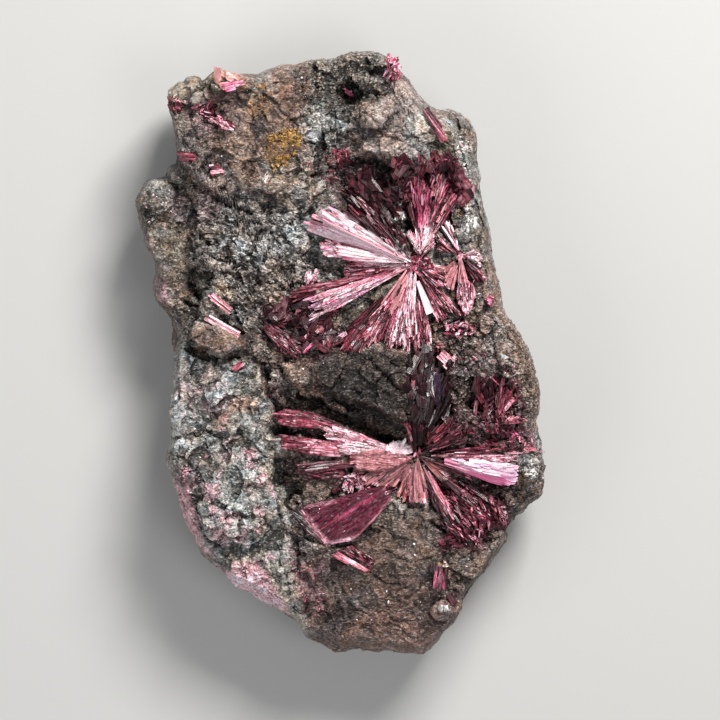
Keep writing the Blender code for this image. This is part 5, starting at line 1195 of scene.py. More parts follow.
def right_spray(tree):
    g = Group(12)
    c = (459, 257)
    fan(g, tree, c, [(442, 226), (449, 222)], 6, (3.5, 6), PEARL_SHEENS, (1.7, 1.2), (0.0, 0.3), (0.85, 1.0), (8, 8), contrast=0.2)
    fan(g, tree, c, [(436, 236), (438, 250)], 8, (2.5, 5), DARKS + REDS, (1.4, 0.9), (0.05, 0.3), (0.85, 1.0), (0, 12), contrast=0.45)
    fan(g, tree, c, [(443, 271), (446, 286), (452, 290)], 11, (3.5, 6), SALMONS, (1.2, 0.8), (0.1, 0.4), (0.75, 1.0), (0, 8), contrast=0.18)
    fan(g, tree, c, [(472, 252), (481, 257), (479, 266)], 7, (3, 5), PEARL_SHEENS, (1.5, 1.3), (0.1, 0.5), (0.8, 1.0), (5, 10))
    fan(g, tree, c, [(478, 284), (486, 278)], 8, (2.5, 4.5), DARKS + [(2, ASH, PINK, CRIMSON)], (1.4, 0.8), (0.15, 0.5), (0.8, 1.0), (0, 14), contrast=0.45)
    fan(g, tree, c, [(457, 284), (466, 284)], 7, (3.5, 6), SALMONS + [(3, PINK, SALMON, PINK)], (1.5, 1.5), (0.0, 0.3), (0.85, 1.0), (3, 8), contrast=0.2)
    # the big pale blade hanging below: it swells, then narrows to its point
    plate(g, tree, [(457, 283), (466, 280), (473, 284), (475, 296), (471, 310), (465, 318), (461, 312), (455, 298)], -86, PEARL_SHEENS + [(2, PINK, HOT, BLUSH)], 1.3, 0.9, (0.0, 0.0), 14, 14, 0.10, 1.0, 0.3, 0.4)
    mass(g, tree, [(458, 284), (472, 284), (474, 298), (465, 314), (457, 300)], 40, -86, 10, (4, 10), (0.8, 2.0), PEARL_SHEENS + [(2, HOT, PINK, HOT)], (1.7, 2.0))
    knob(g, tree, 459, 257, 5, 14, PINKS, 1.1, (3, 6), (1.2, 2.5))
    obj = g.build("right_spray_blades")
    # painted highlights: pearl and white where the blades' cleavage faces catch the light
    paint_highlights_and_tints(obj, [([(460, 288), (466, 308)], 6, PEARL_SHEEN, 0.6, 0.7), ([(444, 228), (452, 242)], 4, PEARL_SHEEN, 0.5, 0.7), ([(474, 256), (480, 262)], 5, (0.95, 0.93, 0.94), 0.8, 0.9)])
    return obj


def lower_spray(tree):
    g = Group(13)
    c = (416, 454)
    # dark upright crystals in the pocket above, narrowing to the centre
    fan(g, tree, (418, 452), [(409, 362), (414, 358), (430, 360)], 9, (6, 12), BLACKS, (1.2, 1.6), (0.25, 0.6), (0.6, 1.0), (-4, 14), contrast=0.25, shards=2, bright=0.5)
    fan(g, tree, (417, 453), [(432, 373), (446, 376), (450, 396)], 9, (6, 11), BLACKS, (1.2, 1.4), (0.25, 0.6), (0.6, 1.0), (4, 14), contrast=0.25, shards=2, bright=0.5)
    mass(g, tree, [(408, 358), (446, 358), (450, 412), (430, 446), (410, 444)], 44, 84, 14, (12, 30), (5, 11), BLACKS, (0.8, 2.2), (0, 16), contrast=0.2, point=0.95)
    mass(g, tree, [(406, 362), (420, 360), (424, 440), (410, 440)], 16, 86, 8, (10, 26), (1.6, 4), BLACKS + [(1, DEEP, MAROON, CRIMSON)], (1.4, 2.2))
    plate(g, tree, [(428, 372), (438, 371), (441, 388), (439, 405), (429, 404)], 86, [(1, (0.016, 0.007, 0.018), (0.024, 0.010, 0.028), (0.034, 0.014, 0.034))], 1.9, 1.0, (0.0, 0.004), 10, 12, 0.06, 0.4, 0.2, 0.1)
    fan(g, tree, c, [(404, 424), (420, 414), (440, 414), (458, 424), (463, 440)], 22, (4, 8), DARKS + [(2, RUBY, CRIMSON, MAROON)], (1.4, 1.0), (0.05, 0.4), (0.7, 1.0), (0, 14), contrast=0.4, point=0.6, shards=5)
    # the long laths to the left
    plate(g, tree, [(275, 412), (284, 408), (300, 410), (332, 423), (324, 429), (298, 427), (277, 424)], -15, [(3, MAROON, CRIMSON, CRIMSON), (2, CRIMSON, RUBY, CRIMSON), (1, MAUVE, MAUVE, RUBY)], 1.3, 1.0, (0.006, 0.0), 16, 18, 0.12, 1.4, 0.3, 0.34)
    mass(g, tree, [(276, 413), (300, 411), (334, 424), (322, 429), (278, 424)], 13, -15, 7, (8, 24), (1.2, 3.0), REDS + [(1, RUBY, PINK, CRIMSON)], (1.6, 1.9))
    fan(g, tree, c, [(300, 410), (284, 408), (276, 414), (277, 421)], 4, (5, 8), REDS + DARKS, (1.5, 1.0), (0.5, 0.75), (0.92, 1.0), (3, 7), contrast=0.4, shards=1.5)
    plate(g, tree, [(279, 440), (290, 434), (318, 439), (346, 449), (340, 457), (312, 454), (286, 448)], -10, [(3, MAROON, CRIMSON, RUBY), (3, CRIMSON, RUBY, PINK), (2, RUBY, PINK, MAUVE)], 1.5, 1.0, (0.004, 0.0), 16, 18, 0.13, 1.4, 0.3, 0.36)
    fan(g, tree, c, [(279, 435), (280, 446)], 6, (4, 7), REDS + [(2, CRIMSON, PINK, CRIMSON)], (1.7, 1.1), (0.3, 0.6), (0.85, 1.0), (3, 8), contrast=0.4, shards=3, bright=0.9)
    fan(g, tree, c, [(288, 447), (296, 453)], 4, (3, 6), REDS + [(2, RUBY, PINK, CRIMSON)], (1.6, 0.9), (0.3, 0.5), (0.9, 1.0), (3, 8), contrast=0.4, shards=3, bright=0.9)
    fan(g, tree, c, [(296, 463), (300, 473)], 8, (4, 7), DARKS, (1.1, 0.5), (0.3, 0.6), (0.85, 1.0), (0, 9), contrast=0.5)
    fan(g, tree, c, [(322, 423), (324, 434), (337, 450)], 20, (5, 9), PEARL_SHEENS + PINKS + PINKS + [(3, RUBY, PINK, HOT)], (1.9, 1.5), (0.1, 0.4), (0.7, 1.0), (7, 8), contrast=0.34, shards=5, bright=0.88)
    flesh = [(3, (0.40, 0.165, 0.175), (0.44, 0.18, 0.195), (0.40, 0.16, 0.17)), (2, (0.34, 0.145, 0.14), (0.42, 0.17, 0.18), (0.30, 0.12, 0.12)), (1, MAUVE, SALMON, MAUVE)]
    fan(g, tree, c, [(346, 451), (348, 460), (354, 470)], 8, (7, 11), flesh, (1.8, 1.2), (0.05, 0.3), (0.85, 1.0), (3, 5), contrast=0.12, shards=1.2)
    plate(g, tree, [(350, 452), (376, 448), (402, 452), (412, 458), (398, 466), (374, 471), (355, 468)], -8, flesh, 2.1, 1.3, (0.0, 0.0), 20, 22, 0.22, 1.6, 0.35, 0.24)
    mass(g, tree, [(352, 454), (376, 450), (402, 454), (410, 458), (396, 466), (374, 470), (356, 466)], 36, 4, 14, (6, 20), (1.6, 4.6), flesh + [(1, BLUSH, PINK, SALMON), (1, MAROON, RUST, MAROON)], (1.9, 2.3), (0, 12), contrast=0.22)
    fan(g, tree, c, [(357, 471), (366, 482), (382, 485), (396, 484)], 13, (6, 10), flesh + [(2, RUST, SALMON, MAROON)], (1.8, 0.9), (0.05, 0.35), (0.78, 1.0), (2, 8), contrast=0.18, shards=2)
    fan(g, tree, c, [(409, 500), (420, 504), (429, 496)], 9, (5, 9), flesh + [(1, PINK, SALMON, PINK), (1, RUST, SALMON, MAROON)], (1.8, 1.1), (0.05, 0.35), (0.65, 1.0), (-3, 10), contrast=0.22, shards=2)
    fan(g, tree, c, [(396, 493), (407, 503)], 5, (4, 6), [(1, RUST, MAUVE, ASH), (1, SALMON, RUST, RUST)], (1.2, 0.8), (0.2, 0.4), (0.8, 1.0), (0, 8))
    # lower right: dark laths, one long salmon-pink edge, then a dark tangle
    fan(g, tree, c, [(434, 506), (446, 516)], 7, (3, 5), DARKS, (1.5, 0.9), (0.1, 0.3), (0.8, 1.0), (0, 10), contrast=0.4)
    fan(g, tree, c, [(451, 519), (453, 512)], 4, (2.5, 4), [(2, SALMON, PINK, SALMON), (1, PINK, RUBY, PINK)], (1.8, 1.2), (0.1, 0.3), (0.9, 1.0), (5, 6), contrast=0.25)
    fan(g, tree, c, [(446, 482), (456, 480)], 6, (4, 7), [(3, RUST, RUST, MAROON), (1, MAROON, RUST, MAROON)], (1.7, 1.2), (0.1, 0.3), (0.8, 1.0), (5, 6), contrast=0.2, shards=1)
    fan(g, tree, c, [(450, 530), (466, 548), (480, 540), (486, 524), (478, 505)], 16, (3, 7), INKS + DARKS, (1.3, 0.6), (0.4, 0.7), (0.7, 0.95), (0, 16), contrast=0.5)
    fan(g, tree, c, [(470, 492), (500, 500), (506, 512), (488, 526)], 10, (2.5, 5), INKS + DARKS, (1.1, 0.5), (0.45, 0.7), (0.8, 1.0), (0, 14), contrast=0.5)
    mass(g, tree, [(446, 484), (480, 490), (508, 506), (504, 522), (484, 530), (472, 548), (452, 532), (444, 506)], 70, -48, 26, (8, 18), (3, 7), INKS + DARKS, (0.2, 1.1), (0, 20), contrast=0.3, point=0.85)
    mass(g, tree, [(446, 484), (480, 490), (508, 506), (504, 522), (484, 530), (472, 548), (452, 532), (444, 506)], 150, -50, 24, (4, 12), (1.2, 3.0), REDS + [(4, CRIMSON, PINK, RUBY), (2, RUBY, HOT, PINK), (2, DEEP, MAROON, CRIMSON)], (0.8, 1.7))
    fan(g, tree, c, [(470, 478), (466, 466)], 10, (2.5, 5), [(2, RUST, MAROON, MAROON), (1, SALMON, PINK, MAUVE), (1, DEEP, MAROON, SALMON)], (1.6, 1.1), (0.05, 0.3), (0.75, 1.0), (0, 9), contrast=0.3)
    # right: a bright fan, and the long thin needles over it
    fan(g, tree, c, [(506, 484), (513, 476), (514, 464)], 20, (5, 8), [(3, (0.93, 0.55, 0.70), PEARL_SHEEN, (0.97, 0.66, 0.80)), (4, (0.92, 0.36, 0.52), (0.97, 0.48, 0.68), (0.97, 0.50, 0.70)), (4, (0.92, 0.15, 0.38), (0.98, 0.26, 0.52), (0.96, 0.42, 0.62))], (2.3, 2.0), (0.25, 0.55), (0.8, 1.0), (9, 7), contrast=0.1, shards=5, bright=1.45)
    fan(g, tree, c, [(506, 464), (510, 456)], 12, (2.5, 5), [(3, CRIMSON, PINK, BLUSH), (2, MAROON, RUBY, PINK), (2, PINK, (0.94, 0.60, 0.76), BLUSH)], (2.0, 1.7), (0.1, 0.5), (0.8, 1.0), (4, 8), contrast=0.4, bright=0.8)
    fan(g, tree, c, [(514, 455), (514, 461)], 8, (1.6, 3.2), [(3, BLUSH, PEARL_SHEEN, PINK), (3, MAROON, MAUVE, PINK), (2, DEEP, CRIMSON, BLUSH), (1, ASH, BLUSH, PINK)], (1.7, 1.2), (0.2, 0.6), (0.85, 1.0), (6, 8), contrast=0.4, point=0.4)
    fan(g, tree, c, [(543, 446), (544, 452)], 7, (1.6, 2.8), [(2, PINK, BLUSH, PINK), (1, MAROON, RUBY, PINK)], (1.6, 0.6), (0.05, 0.5), (0.85, 1.0), (3, 8), contrast=0.3, point=0.4)
    fan(g, tree, c, [(500, 443), (502, 449)], 5, (1.5, 2.5), REDS, (1.3, 0.6), (0.1, 0.4), (0.7, 1.0), (0, 8), point=0.4)
    knob(g, tree, 417, 454, 4, 12, PINKS + REDS, 1.3, (3, 7), (1.2, 2.6))
    boss = [(4, BLUSH, PEARL_SHEEN, PEARL_SHEEN), (2, PINK, BLUSH, PEARL_SHEEN), (1, PEARL_SHEEN, BLUSH, HOT)]
    plate(g, tree, [(385, 447), (390, 441), (400, 439), (411, 444), (414, 452), (404, 455), (390, 453)], 12, boss, 2.9, 1.6, (-0.03, 0.045), 14, 14, 0.24, 1.2, 0.5, 0.16)
    mass(g, tree, [(386, 446), (392, 441), (402, 440), (412, 446), (408, 453), (392, 453)], 22, 20, 34, (5, 11), (2.5, 5.5), boss, (2.9, 3.5), (10, 14), contrast=0.14, point=0.8)
    obj = g.build("lower_spray_blades")
    # painted highlights: pearl, pale and hot pink where the fans' cleavage faces catch the light, with a few bands of
    # other tones
    paint_highlights_and_tints(obj, [([(400, 448), (376, 444), (352, 434), (336, 428)], 6, PEARL_SHEEN, 0.55, 0.6), ([(370, 441), (356, 437)], 5, HOT, 0.6, 0.8), ([(388, 444), (408, 450)], 7, (0.93, 0.80, 0.85), 0.7, 0.8),
               ([(344, 452), (338, 460)], 4, PEARL_SHEEN, 0.6, 0.6), ([(412, 457), (380, 458), (356, 458)], 7, SALMON, 0.55, 0.8),
               ([(462, 466), (488, 467), (512, 467)], 7, (0.97, 0.78, 0.85), 0.75, 0.9), ([(468, 475), (490, 479), (504, 479)], 6.0, (0.98, 0.20, 0.48), 0.9, 0.8), ([(486, 459), (512, 457)], 3, PEARL_SHEEN, 0.8, 0.8),
               ([(428, 474), (444, 492), (451, 514)], 2.2, PINK, 0.8, 0.9), ([(478, 515), (484, 518)], 4, HOT, 0.6, 0.7), ([(286, 410), (328, 424)], 3, RUBY, 0.4, 0.6)])
    return obj


def single_crystals(tree):
    """Each lone crystal or tight group: (node, object)."""
    made = []

    def done(node, group, marks=()):
        obj = group.build(node + "_blades")
        if marks:
            paint_highlights_and_tints(obj, list(marks))
        made.append((node, obj))

    g = Group(21)
    wine = [(5, (0.06, 0.009, 0.02), (0.085, 0.010, 0.026), (0.10, 0.016, 0.036)), (3, (0.09, 0.012, 0.03), (0.15, 0.018, 0.046), (0.12, 0.016, 0.04)), (1, MAROON, CRIMSON, CRIMSON)]
    ring = [(302, 504), (336, 497), (362, 489), (384, 484), (392, 497), (376, 517), (354, 539), (331, 543), (314, 526)]
    plate(g, tree, ring, 33, wine, 0.7, 1.2, (0.004, -0.004), 44, 26, 0.17, 0.7, 0.25, 0.24)
    mass(g, tree, [(306, 506), (336, 499), (382, 486), (388, 498), (352, 536), (332, 540)], 18, 33, 9, (8, 24), (0.8, 2.0), [(2, MAROON, (0.16, 0.02, 0.05), MAROON), (1, CRIMSON, RUBY, CRIMSON)], (1.05, 1.3), (0, 8), contrast=0.22)
    plate(g, tree, [(290, 510), (303, 504), (331, 541), (328, 547), (306, 530)], -50, [(3, INK, DEEP, MAROON), (1, DEEP, MAROON, MAROON)], 0.5, 1.0, (0.0, 0.0), 12, 16, 0.12, 0.6, 0.2, 0.4)
    mass(g, tree, [(334, 497), (350, 490), (392, 478), (396, 490), (380, 500), (345, 502)], 26, 30, 15, (6, 14), (2, 4), REDS + DARKS, (0.5, 1.0))
    mass(g, tree, [(366, 468), (388, 474), (392, 486), (372, 488)], 10, 50, 20, (5, 9), (2, 3.5), DARKS, (0.3, 0.8))
    # painted highlights in pink along the blade's rims and bevelled lower edge
    done("large_blade", g, [([(305, 512), (318, 530), (331, 543)], 3.4, PINK, 0.9, 1.0), ([(330, 543), (354, 538)], 4.5, (0.88, 0.50, 0.62), 0.9, 1.0), ([(354, 538), (376, 516), (391, 498)], 2.2, PINK, 0.6, 1.0),
                            ([(330, 522), (352, 508), (372, 496)], 2.5, MAGENTA, 0.5, 0.5), ([(292, 511), (312, 530)], 4, DEEP, 0.6, 0.7), ([(305, 505), (335, 500)], 3, PINK, 0.4, 0.5)])
    g = Group(22)
    plate(g, tree, [(339, 548), (352, 543), (377, 559), (372, 566)], -30, DARKS + [(2, MAROON, CRIMSON, CRIMSON), (1, PINK, MAUVE, MAROON)], 0.5, 0.8, (0, 0), 12, 14, 0.14, 0.8, 0.2, 0.5)
    mass(g, tree, [(341, 549), (355, 546), (374, 560), (370, 564)], 16, -30, 8, (5, 12), (0.8, 1.8), REDS + [(1, BLUSH, PINK, RUBY)], (0.9, 1.2))
    tabular(g, tree, [(331, 553), (341, 550), (371, 567), (367, 571)], -30, 2.0, [(2, CRIMSON, RUBY, CRIMSON), (1, RUBY, PINK, RUBY), (1, MAROON, RUBY, CRIMSON)], 0.6, 0.7, (0, 0), 0.8, 0.06, (6, 6))
    done("lower_blade_pair", g)
    g = Group(23)
    plate(g, tree, [(296, 471), (307, 463.5), (334, 466), (346, 471.5), (343, 477), (309, 479)], -5, DARKS + [(1, CRIMSON, MAUVE, CRIMSON)], 0.6, 0.8, (0, 0), 14, 16, 0.14, 0.9, 0.25, 0.45)
    mass(g, tree, [(300, 470), (310, 465), (340, 470), (336, 476), (308, 477)], 16, -4, 9, (5, 13), (0.9, 2.2), DARKS + REDS, (1.0, 1.4))
    done("dark_lath", g)
    g = Group(24)
    mass(g, tree, [(342, 477), (356, 472), (366, 478), (364, 488), (346, 490)], 46, 60, 70, (4, 8), (2, 4), PINKS + PEARL_SHEENS, (0.7, 1.5))
    mass(g, tree, [(332, 480), (345, 477), (345, 492), (334, 492)], 12, 20, 40, (4, 8), (2, 3.4), DARKS, (0.3, 0.8))
    done("shard_group", g, [([(350, 478), (360, 480)], 6, BLUSH, 0.5, 0.6)])
    g = Group(25)
    plate(g, tree, [(263, 328), (275, 324.5), (289, 335), (302, 349), (298, 360), (281, 354)], -48, DARKS + [(1, CRIMSON, RUBY, MAROON)], 0.8, 1.0, (0, 0), 20, 18, 0.16, 0.9, 0.25, 0.45)
    mass(g, tree, [(266, 328), (276, 326), (298, 348), (296, 356), (282, 350)], 26, -48, 12, (5, 14), (0.9, 2.4), DARKS + REDS, (1.2, 1.7))
    mass(g, tree, [(268, 308), (300, 300), (330, 312), (334, 342), (318, 350), (296, 330), (276, 326)], 60, 35, 45, (8, 18), (5, 11), INKS + INKS + DARKS, (0.2, 1.1), (0, 20), contrast=0.25, point=0.9)
    mass(g, tree, [(268, 308), (300, 300), (330, 312), (334, 342), (318, 350), (296, 330), (276, 326)], 50, 30, 40, (5, 12), (1.4, 3.4), INKS + DARKS, (0.6, 1.4))
    mass(g, tree, [(300, 318), (330, 322), (332, 346), (306, 352)], 16, 30, 30, (7, 13), (4, 7), INKS + DARKS, (0.4, 1.1), contrast=0.25)
    blade(g, (304, 353), (313, 344), 2, 3, *seat(tree, (304, 353), (313, 344), 1.6, 1.8), 0.5, 8, (RUBY, HOT, HOT), 0.3, 0.8, rows=5, columns=4)
    done("left_dark_blades", g, [([(278, 328), (300, 346)], 2.0, RUBY, 0.6, 0.5)])
    g = Group(26)
    mass(g, tree, [(473, 384), (492, 376), (503, 388), (508, 410), (496, 424), (482, 412), (473, 406)], 44, 82, 24, (8, 20), (3, 7), INKS + DARKS, (0.3, 1.2), (0, 18), contrast=0.3, point=0.9)
    mass(g, tree, [(473, 384), (492, 376), (503, 388), (508, 410), (496, 424), (482, 412), (473, 406)], 70, 82, 26, (4, 12), (1.0, 2.6), DARKS + [(2, CRIMSON, RUBY, RUBY), (2, DEEP, MAROON, CRIMSON)], (0.8, 1.6))
    fan(g, tree, (494, 420), [(496, 388), (508, 388), (512, 400)], 8, (4, 7), DARKS + REDS, (1.2, 1.4), (0.0, 0.2), (0.8, 1.0), (4, 10), shards=3)
    fan(g, tree, (499, 424), [(510, 414), (526, 420)], 6, (3, 5), REDS + PINKS, (1.2, 1.4), (0.0, 0.3), (0.8, 1.0), (6, 12))
    done("right_cluster", g, [([(505, 418), (526, 419)], 3, PINK, 0.7, 0.8), ([(500, 396), (498, 416)], 3.5, RUBY, 0.5, 0.6)])
    g = Group(27)
    mass(g, tree, [(445, 325), (456, 321), (471, 324), (471, 334), (458, 338), (446, 334)], 44, 0, 80, (4, 8), (2, 4), PINKS + DARKS + [(2, BLUSH, PEARL_SHEEN, PINK)], (0.5, 1.3))
    done("chip_group", g, [([(452, 321), (468, 324)], 4, PEARL_SHEEN, 0.6, 0.5)])
    g = Group(28)
    tabular(g, tree, [(436, 356), (441, 350), (456, 358), (451, 368), (445, 367.5)], -42, 2.2, [(2, PINK, BLUSH, MAUVE), (1, SALMON, BLUSH, PINK), (1, MAROON, PINK, MAUVE)], 0.8, 0.6, (0, 0), 0.6, 0.06, (6, 6))
    done("pale_blade", g)
    for node, seed, ring, heading, palette in (
            ("left_lath_upper", 29, [(209.5, 297), (215, 293.5), (234, 309.5), (230, 314)], -38, [(2, PINK, SALMON, SALMON), (1, HOT, PINK, RUST), (1, RUBY, SALMON, CRIMSON)]),
            ("left_lath_lower", 30, [(206, 319), (211, 315.5), (242, 333), (238, 338)], -29, [(2, PINK, HOT, BLUSH), (2, BLUSH, PEARL_SHEEN, PINK), (1, CRIMSON, PINK, RUBY)]),
            ("small_lath", 31, [(232.5, 369), (242, 361.5), (245, 364.5), (236, 372)], 36, [(1, MAROON, RUBY, PINK), (1, PINK, RUBY, CRIMSON)]),
            ("red_lath", 32, [(179, 154), (198, 156.5), (198, 163), (181, 164)], -4, [(3, DEEP, MAROON, CRIMSON), (1, MAROON, RUBY, MAROON)]),
            ("upper_right_lath", 33, [(421, 114), (427, 110), (440, 127), (446, 143), (440, 146), (431, 130)], -54, [(2, CRIMSON, RUBY, CRIMSON), (1, MAUVE, PINK, RUBY), (3, DEEP, MAROON, CRIMSON)]),
            ("edge_crystal", 34, [(483, 297), (489, 294), (494, 300), (489, 305)], -30, [(1, RUBY, HOT, RUBY), (1, MAROON, RUBY, CRIMSON)]),
            ("hollow_crystal", 35, [(343, 88), (351, 91), (354, 97), (347, 96)], -35, [(1, RUBY, HOT, PINK), (1, PINK, HOT, RUBY)]),
            ("step_crystal", 36, [(211, 167), (223, 168), (225, 175), (213, 178)], 8, [(2, MAROON, CRIMSON, RUBY), (1, PINK, BLUSH, PINK)]),
            ("foot_crystal_lower", 37, [(446, 593), (453, 590), (456, 602), (450, 604.5)], -62, DARKS)):
        g = Group(seed)
        tabular(g, tree, ring, heading, 1.9, palette, 0.7, 0.7, (0, 0), 0.6, 0.10, (5, 10))
        done(node, g)
    g = Group(38)
    knob(g, tree, 311, 278, 6, 22, [(3, BLUSH, PEARL_SHEEN, PEARL_SHEEN), (1, PINK, BLUSH, PEARL_SHEEN)], 0.9, (4, 8), (3, 6))
    mass(g, tree, [(303, 276), (311, 271), (316, 283), (307, 285)], 12, 60, 60, (4, 7), (2, 4), PINKS, (0.6, 1.3))
    done("pale_grain", g)
    g = Group(39)
    flesh = (0.42, 0.215, 0.165)
    plate(g, tree, [(216, 71), (224, 73), (223, 80), (220, 91), (216.5, 86)], -78, [(2, flesh, SALMON, flesh), (1, SALMON, flesh, PINK)], 0.7, 1.0, (0.03, 0.0), 8, 8, 0.05, 0.3, 0.2, 0.12)
    plate(g, tree, [(226, 73.5), (238, 79), (243, 86), (231, 87.5), (226, 81)], -28, [(2, flesh, flesh, SALMON), (1, SALMON, flesh, PINK)], 0.9, 1.0, (-0.03, 0.03), 8, 8, 0.05, 0.3, 0.2, 0.12)
    plate(g, tree, [(221, 88), (228, 86), (236, 88), (232, 95), (223, 95)], 20, [(2, flesh, SALMON, flesh), (2, PINK, SALMON, BLUSH)], 0.8, 0.8, (0.0, 0.0), 8, 8, 0.05, 0.3, 0.2, 0.15)
    tabular(g, tree, [(222, 93), (232, 88), (246, 85.5), (247, 89), (231, 97)], 14, 2.0, [(2, RUBY, HOT, PINK), (2, PINK, BLUSH, PINK), (1, MAUVE, (0.70, 0.56, 0.60), MAUVE)], 0.9, 0.7, (0, 0), 0.8, 0.08, (4, 8))
    done("corner_crystal", g)
    g = Group(40)
    veil = [(3, MAROON, CRIMSON, RUBY), (2, CRIMSON, PINK, BLUSH), (2, DEEP, MAROON, CRIMSON), (2, PINK, PEARL_SHEEN, BLUSH), (1, MAUVE, PINK, MAUVE)]
    mass(g, tree, [(202, 116), (212, 114), (226, 120), (235, 129), (230, 134), (210, 124)], 40, -28, 22, (4, 9), (1.6, 3.4), veil, (0.4, 1.0))
    mass(g, tree, [(206, 105), (216, 106), (214, 117), (207, 116)], 14, 60, 26, (4, 8), (1.6, 3.2), [(3, MAROON, CRIMSON, RUBY), (1, CRIMSON, PINK, CRIMSON)], (0.3, 0.8))
    mass(g, tree, [(194, 108), (204, 107), (204, 113), (196, 114)], 8, 30, 26, (3, 6), (1.4, 2.8), [(1, MAUVE, PINK, MAUVE)], (0.3, 0.7))
    mass(g, tree, [(169, 100), (182, 101), (186, 110), (176, 114), (170, 110)], 30, -60, 26, (4, 8), (1.6, 3.4), [(3, MAROON, CRIMSON, CRIMSON), (2, CRIMSON, RUBY, MAUVE), (1, MAUVE, PINK, MAUVE)], (0.3, 0.8))
    done("needle_group", g)
    g = Group(41)
    mass(g, tree, [(385, 56), (393, 55), (399, 66), (399, 80), (388, 86), (384, 74)], 40, 60, 40, (4, 9), (1.6, 3.2), PINKS + [(1, RUBY, HOT, PINK)], (0.3, 0.9))
    done("top_edge_crystals", g)
    g = Group(42)
    tabular(g, tree, [(431, 563), (439, 559), (446, 563), (447, 575), (444, 589), (435, 588), (433, 575)], 84, 3.2, INKS + DARKS + [(1, CRIMSON, HOT, CRIMSON)], 1.2, 1.2, (0, 0), 1.0, 0.18, (0, 14), contrast=0.5)
    knob(g, tree, 441, 562, 4, 8, [(2, (0.42, 0.26, 0.10), (0.55, 0.36, 0.14), (0.5, 0.3, 0.12)), (1, TAN, CHALK, TAN)], 1.7, (3, 5), (2, 3.4))
    done("foot_crystal_upper", g, [([(441, 574), (442, 584)], 3, HOT, 0.5, 0.5)])
    return made


# ---------------------------------------------------------------- loose grain and druse on the rock
OCTAHEDRON = np.array([(1, 0, 0), (-1, 0, 0), (0, 1, 0), (0, -1, 0), (0, 0, 1), (0, 0, -1)], float)
OCTA_FACES = np.array([(0, 2, 4), (2, 1, 4), (1, 3, 4), (3, 0, 4), (2, 0, 5), (1, 2, 5), (3, 1, 5), (0, 3, 5)])


def turned(rng, n):
    """n random rotation matrices."""
    q = rng.normal(size=(n, 4))
    w, x, y, z = (q / np.linalg.norm(q, axis=1, keepdims=True)).T
    return np.stack([np.stack([1 - 2 * (y * y + z * z), 2 * (x * y - w * z), 2 * (x * z + w * y)], 1),
                     np.stack([2 * (x * y + w * z), 1 - 2 * (x * x + z * z), 2 * (y * z - w * x)], 1),
                     np.stack([2 * (x * z - w * y), 2 * (y * z + w * x), 1 - 2 * (x * x + y * y)], 1)], 1)


def grains(name, tree, fields, seed):
    """Angular grains strewn on the rock. fields: (ring, softness, how many, size range in u, colours, slenderness, clump scale)."""
    rng = np.random.default_rng(seed)
    verts, faces, tone, marks, count = [], [], [], [], 0
    for ring, soft, many, size, colours, slender, clump in fields:
        xs, ys = [p[0] for p in ring], [p[1] for p in ring]
        tries = many * 5
        x, y = rng.uniform(min(xs) - soft, max(xs) + soft, tries), rng.uniform(min(ys) - soft, max(ys) + soft, tries)
        keep = patch(x, y, ring, soft) * smooth(-0.25, 0.45, fractal(plan3(x, y, clump), 2, seed + 3)) > rng.random(tries)
        keep &= rim_share(x, y) < 0.94
        x, y = x[keep][:many], y[keep][:many]
        hits = [tree.ray_cast(Vector(((a - CX) * UNIT, (CY - b) * UNIT, 0.08)), Vector((0, 0, -1))) for a, b in zip(x, y)]
        open_to_sky = np.array([h[0] is not None and h[0].z > 0.007 and h[1].z > 0.45 for h in hits], bool)
        x, y = x[open_to_sky], y[open_to_sky]
        z = np.array([h[0].z * 1000 for h, keep in zip(hits, open_to_sky) if keep])
        n = len(x)
        if n == 0:
            continue
        s = rng.uniform(size[0], size[1], n) * np.exp(rng.normal(0, 0.25, n))
        shape = np.stack([s, s * rng.uniform(0.5, 1.0, n), s * rng.uniform(0.4, 0.9, n)], 1)
        shape[:, 0] *= slender
        shape[:, 1:] /= math.sqrt(slender)
        local = OCTAHEDRON[None] * shape[:, None, :] * rng.uniform(0.7, 1.2, (n, 6, 1))
        local = np.einsum("nij,nkj->nki", turned(rng, n), local)
        centre = to_world(x, y, z + s * 0.05)
        v = centre[:, None, :] + local * UNIT * 0.5 * 2
        v[:, :, 2] = np.maximum(v[:, :, 2], 0.0005)
        colour = np.array(colours, float)[rng.integers(0, len(colours), n)] * np.exp(rng.normal(0, 0.3, n))[:, None]
        verts.append(v.reshape(-1, 3))
        faces.append((OCTA_FACES[None] + 6 * np.arange(n)[:, None, None] + count).reshape(-1))
        tone.append(np.repeat(colour, 6, 0) * rng.uniform(0.7, 1.25, (n * 6, 1)))
        marks.append(np.concatenate([local.reshape(-1, 3)[:, :2] / 6.0, np.repeat(rng.random(n), 6)[:, None]], 1))
        count += 6 * n
    total = np.concatenate(faces)
    return mesh_object(name, np.concatenate(verts), total, np.full(len(total) // 3, 3), np.concatenate(tone), np.concatenate(marks))


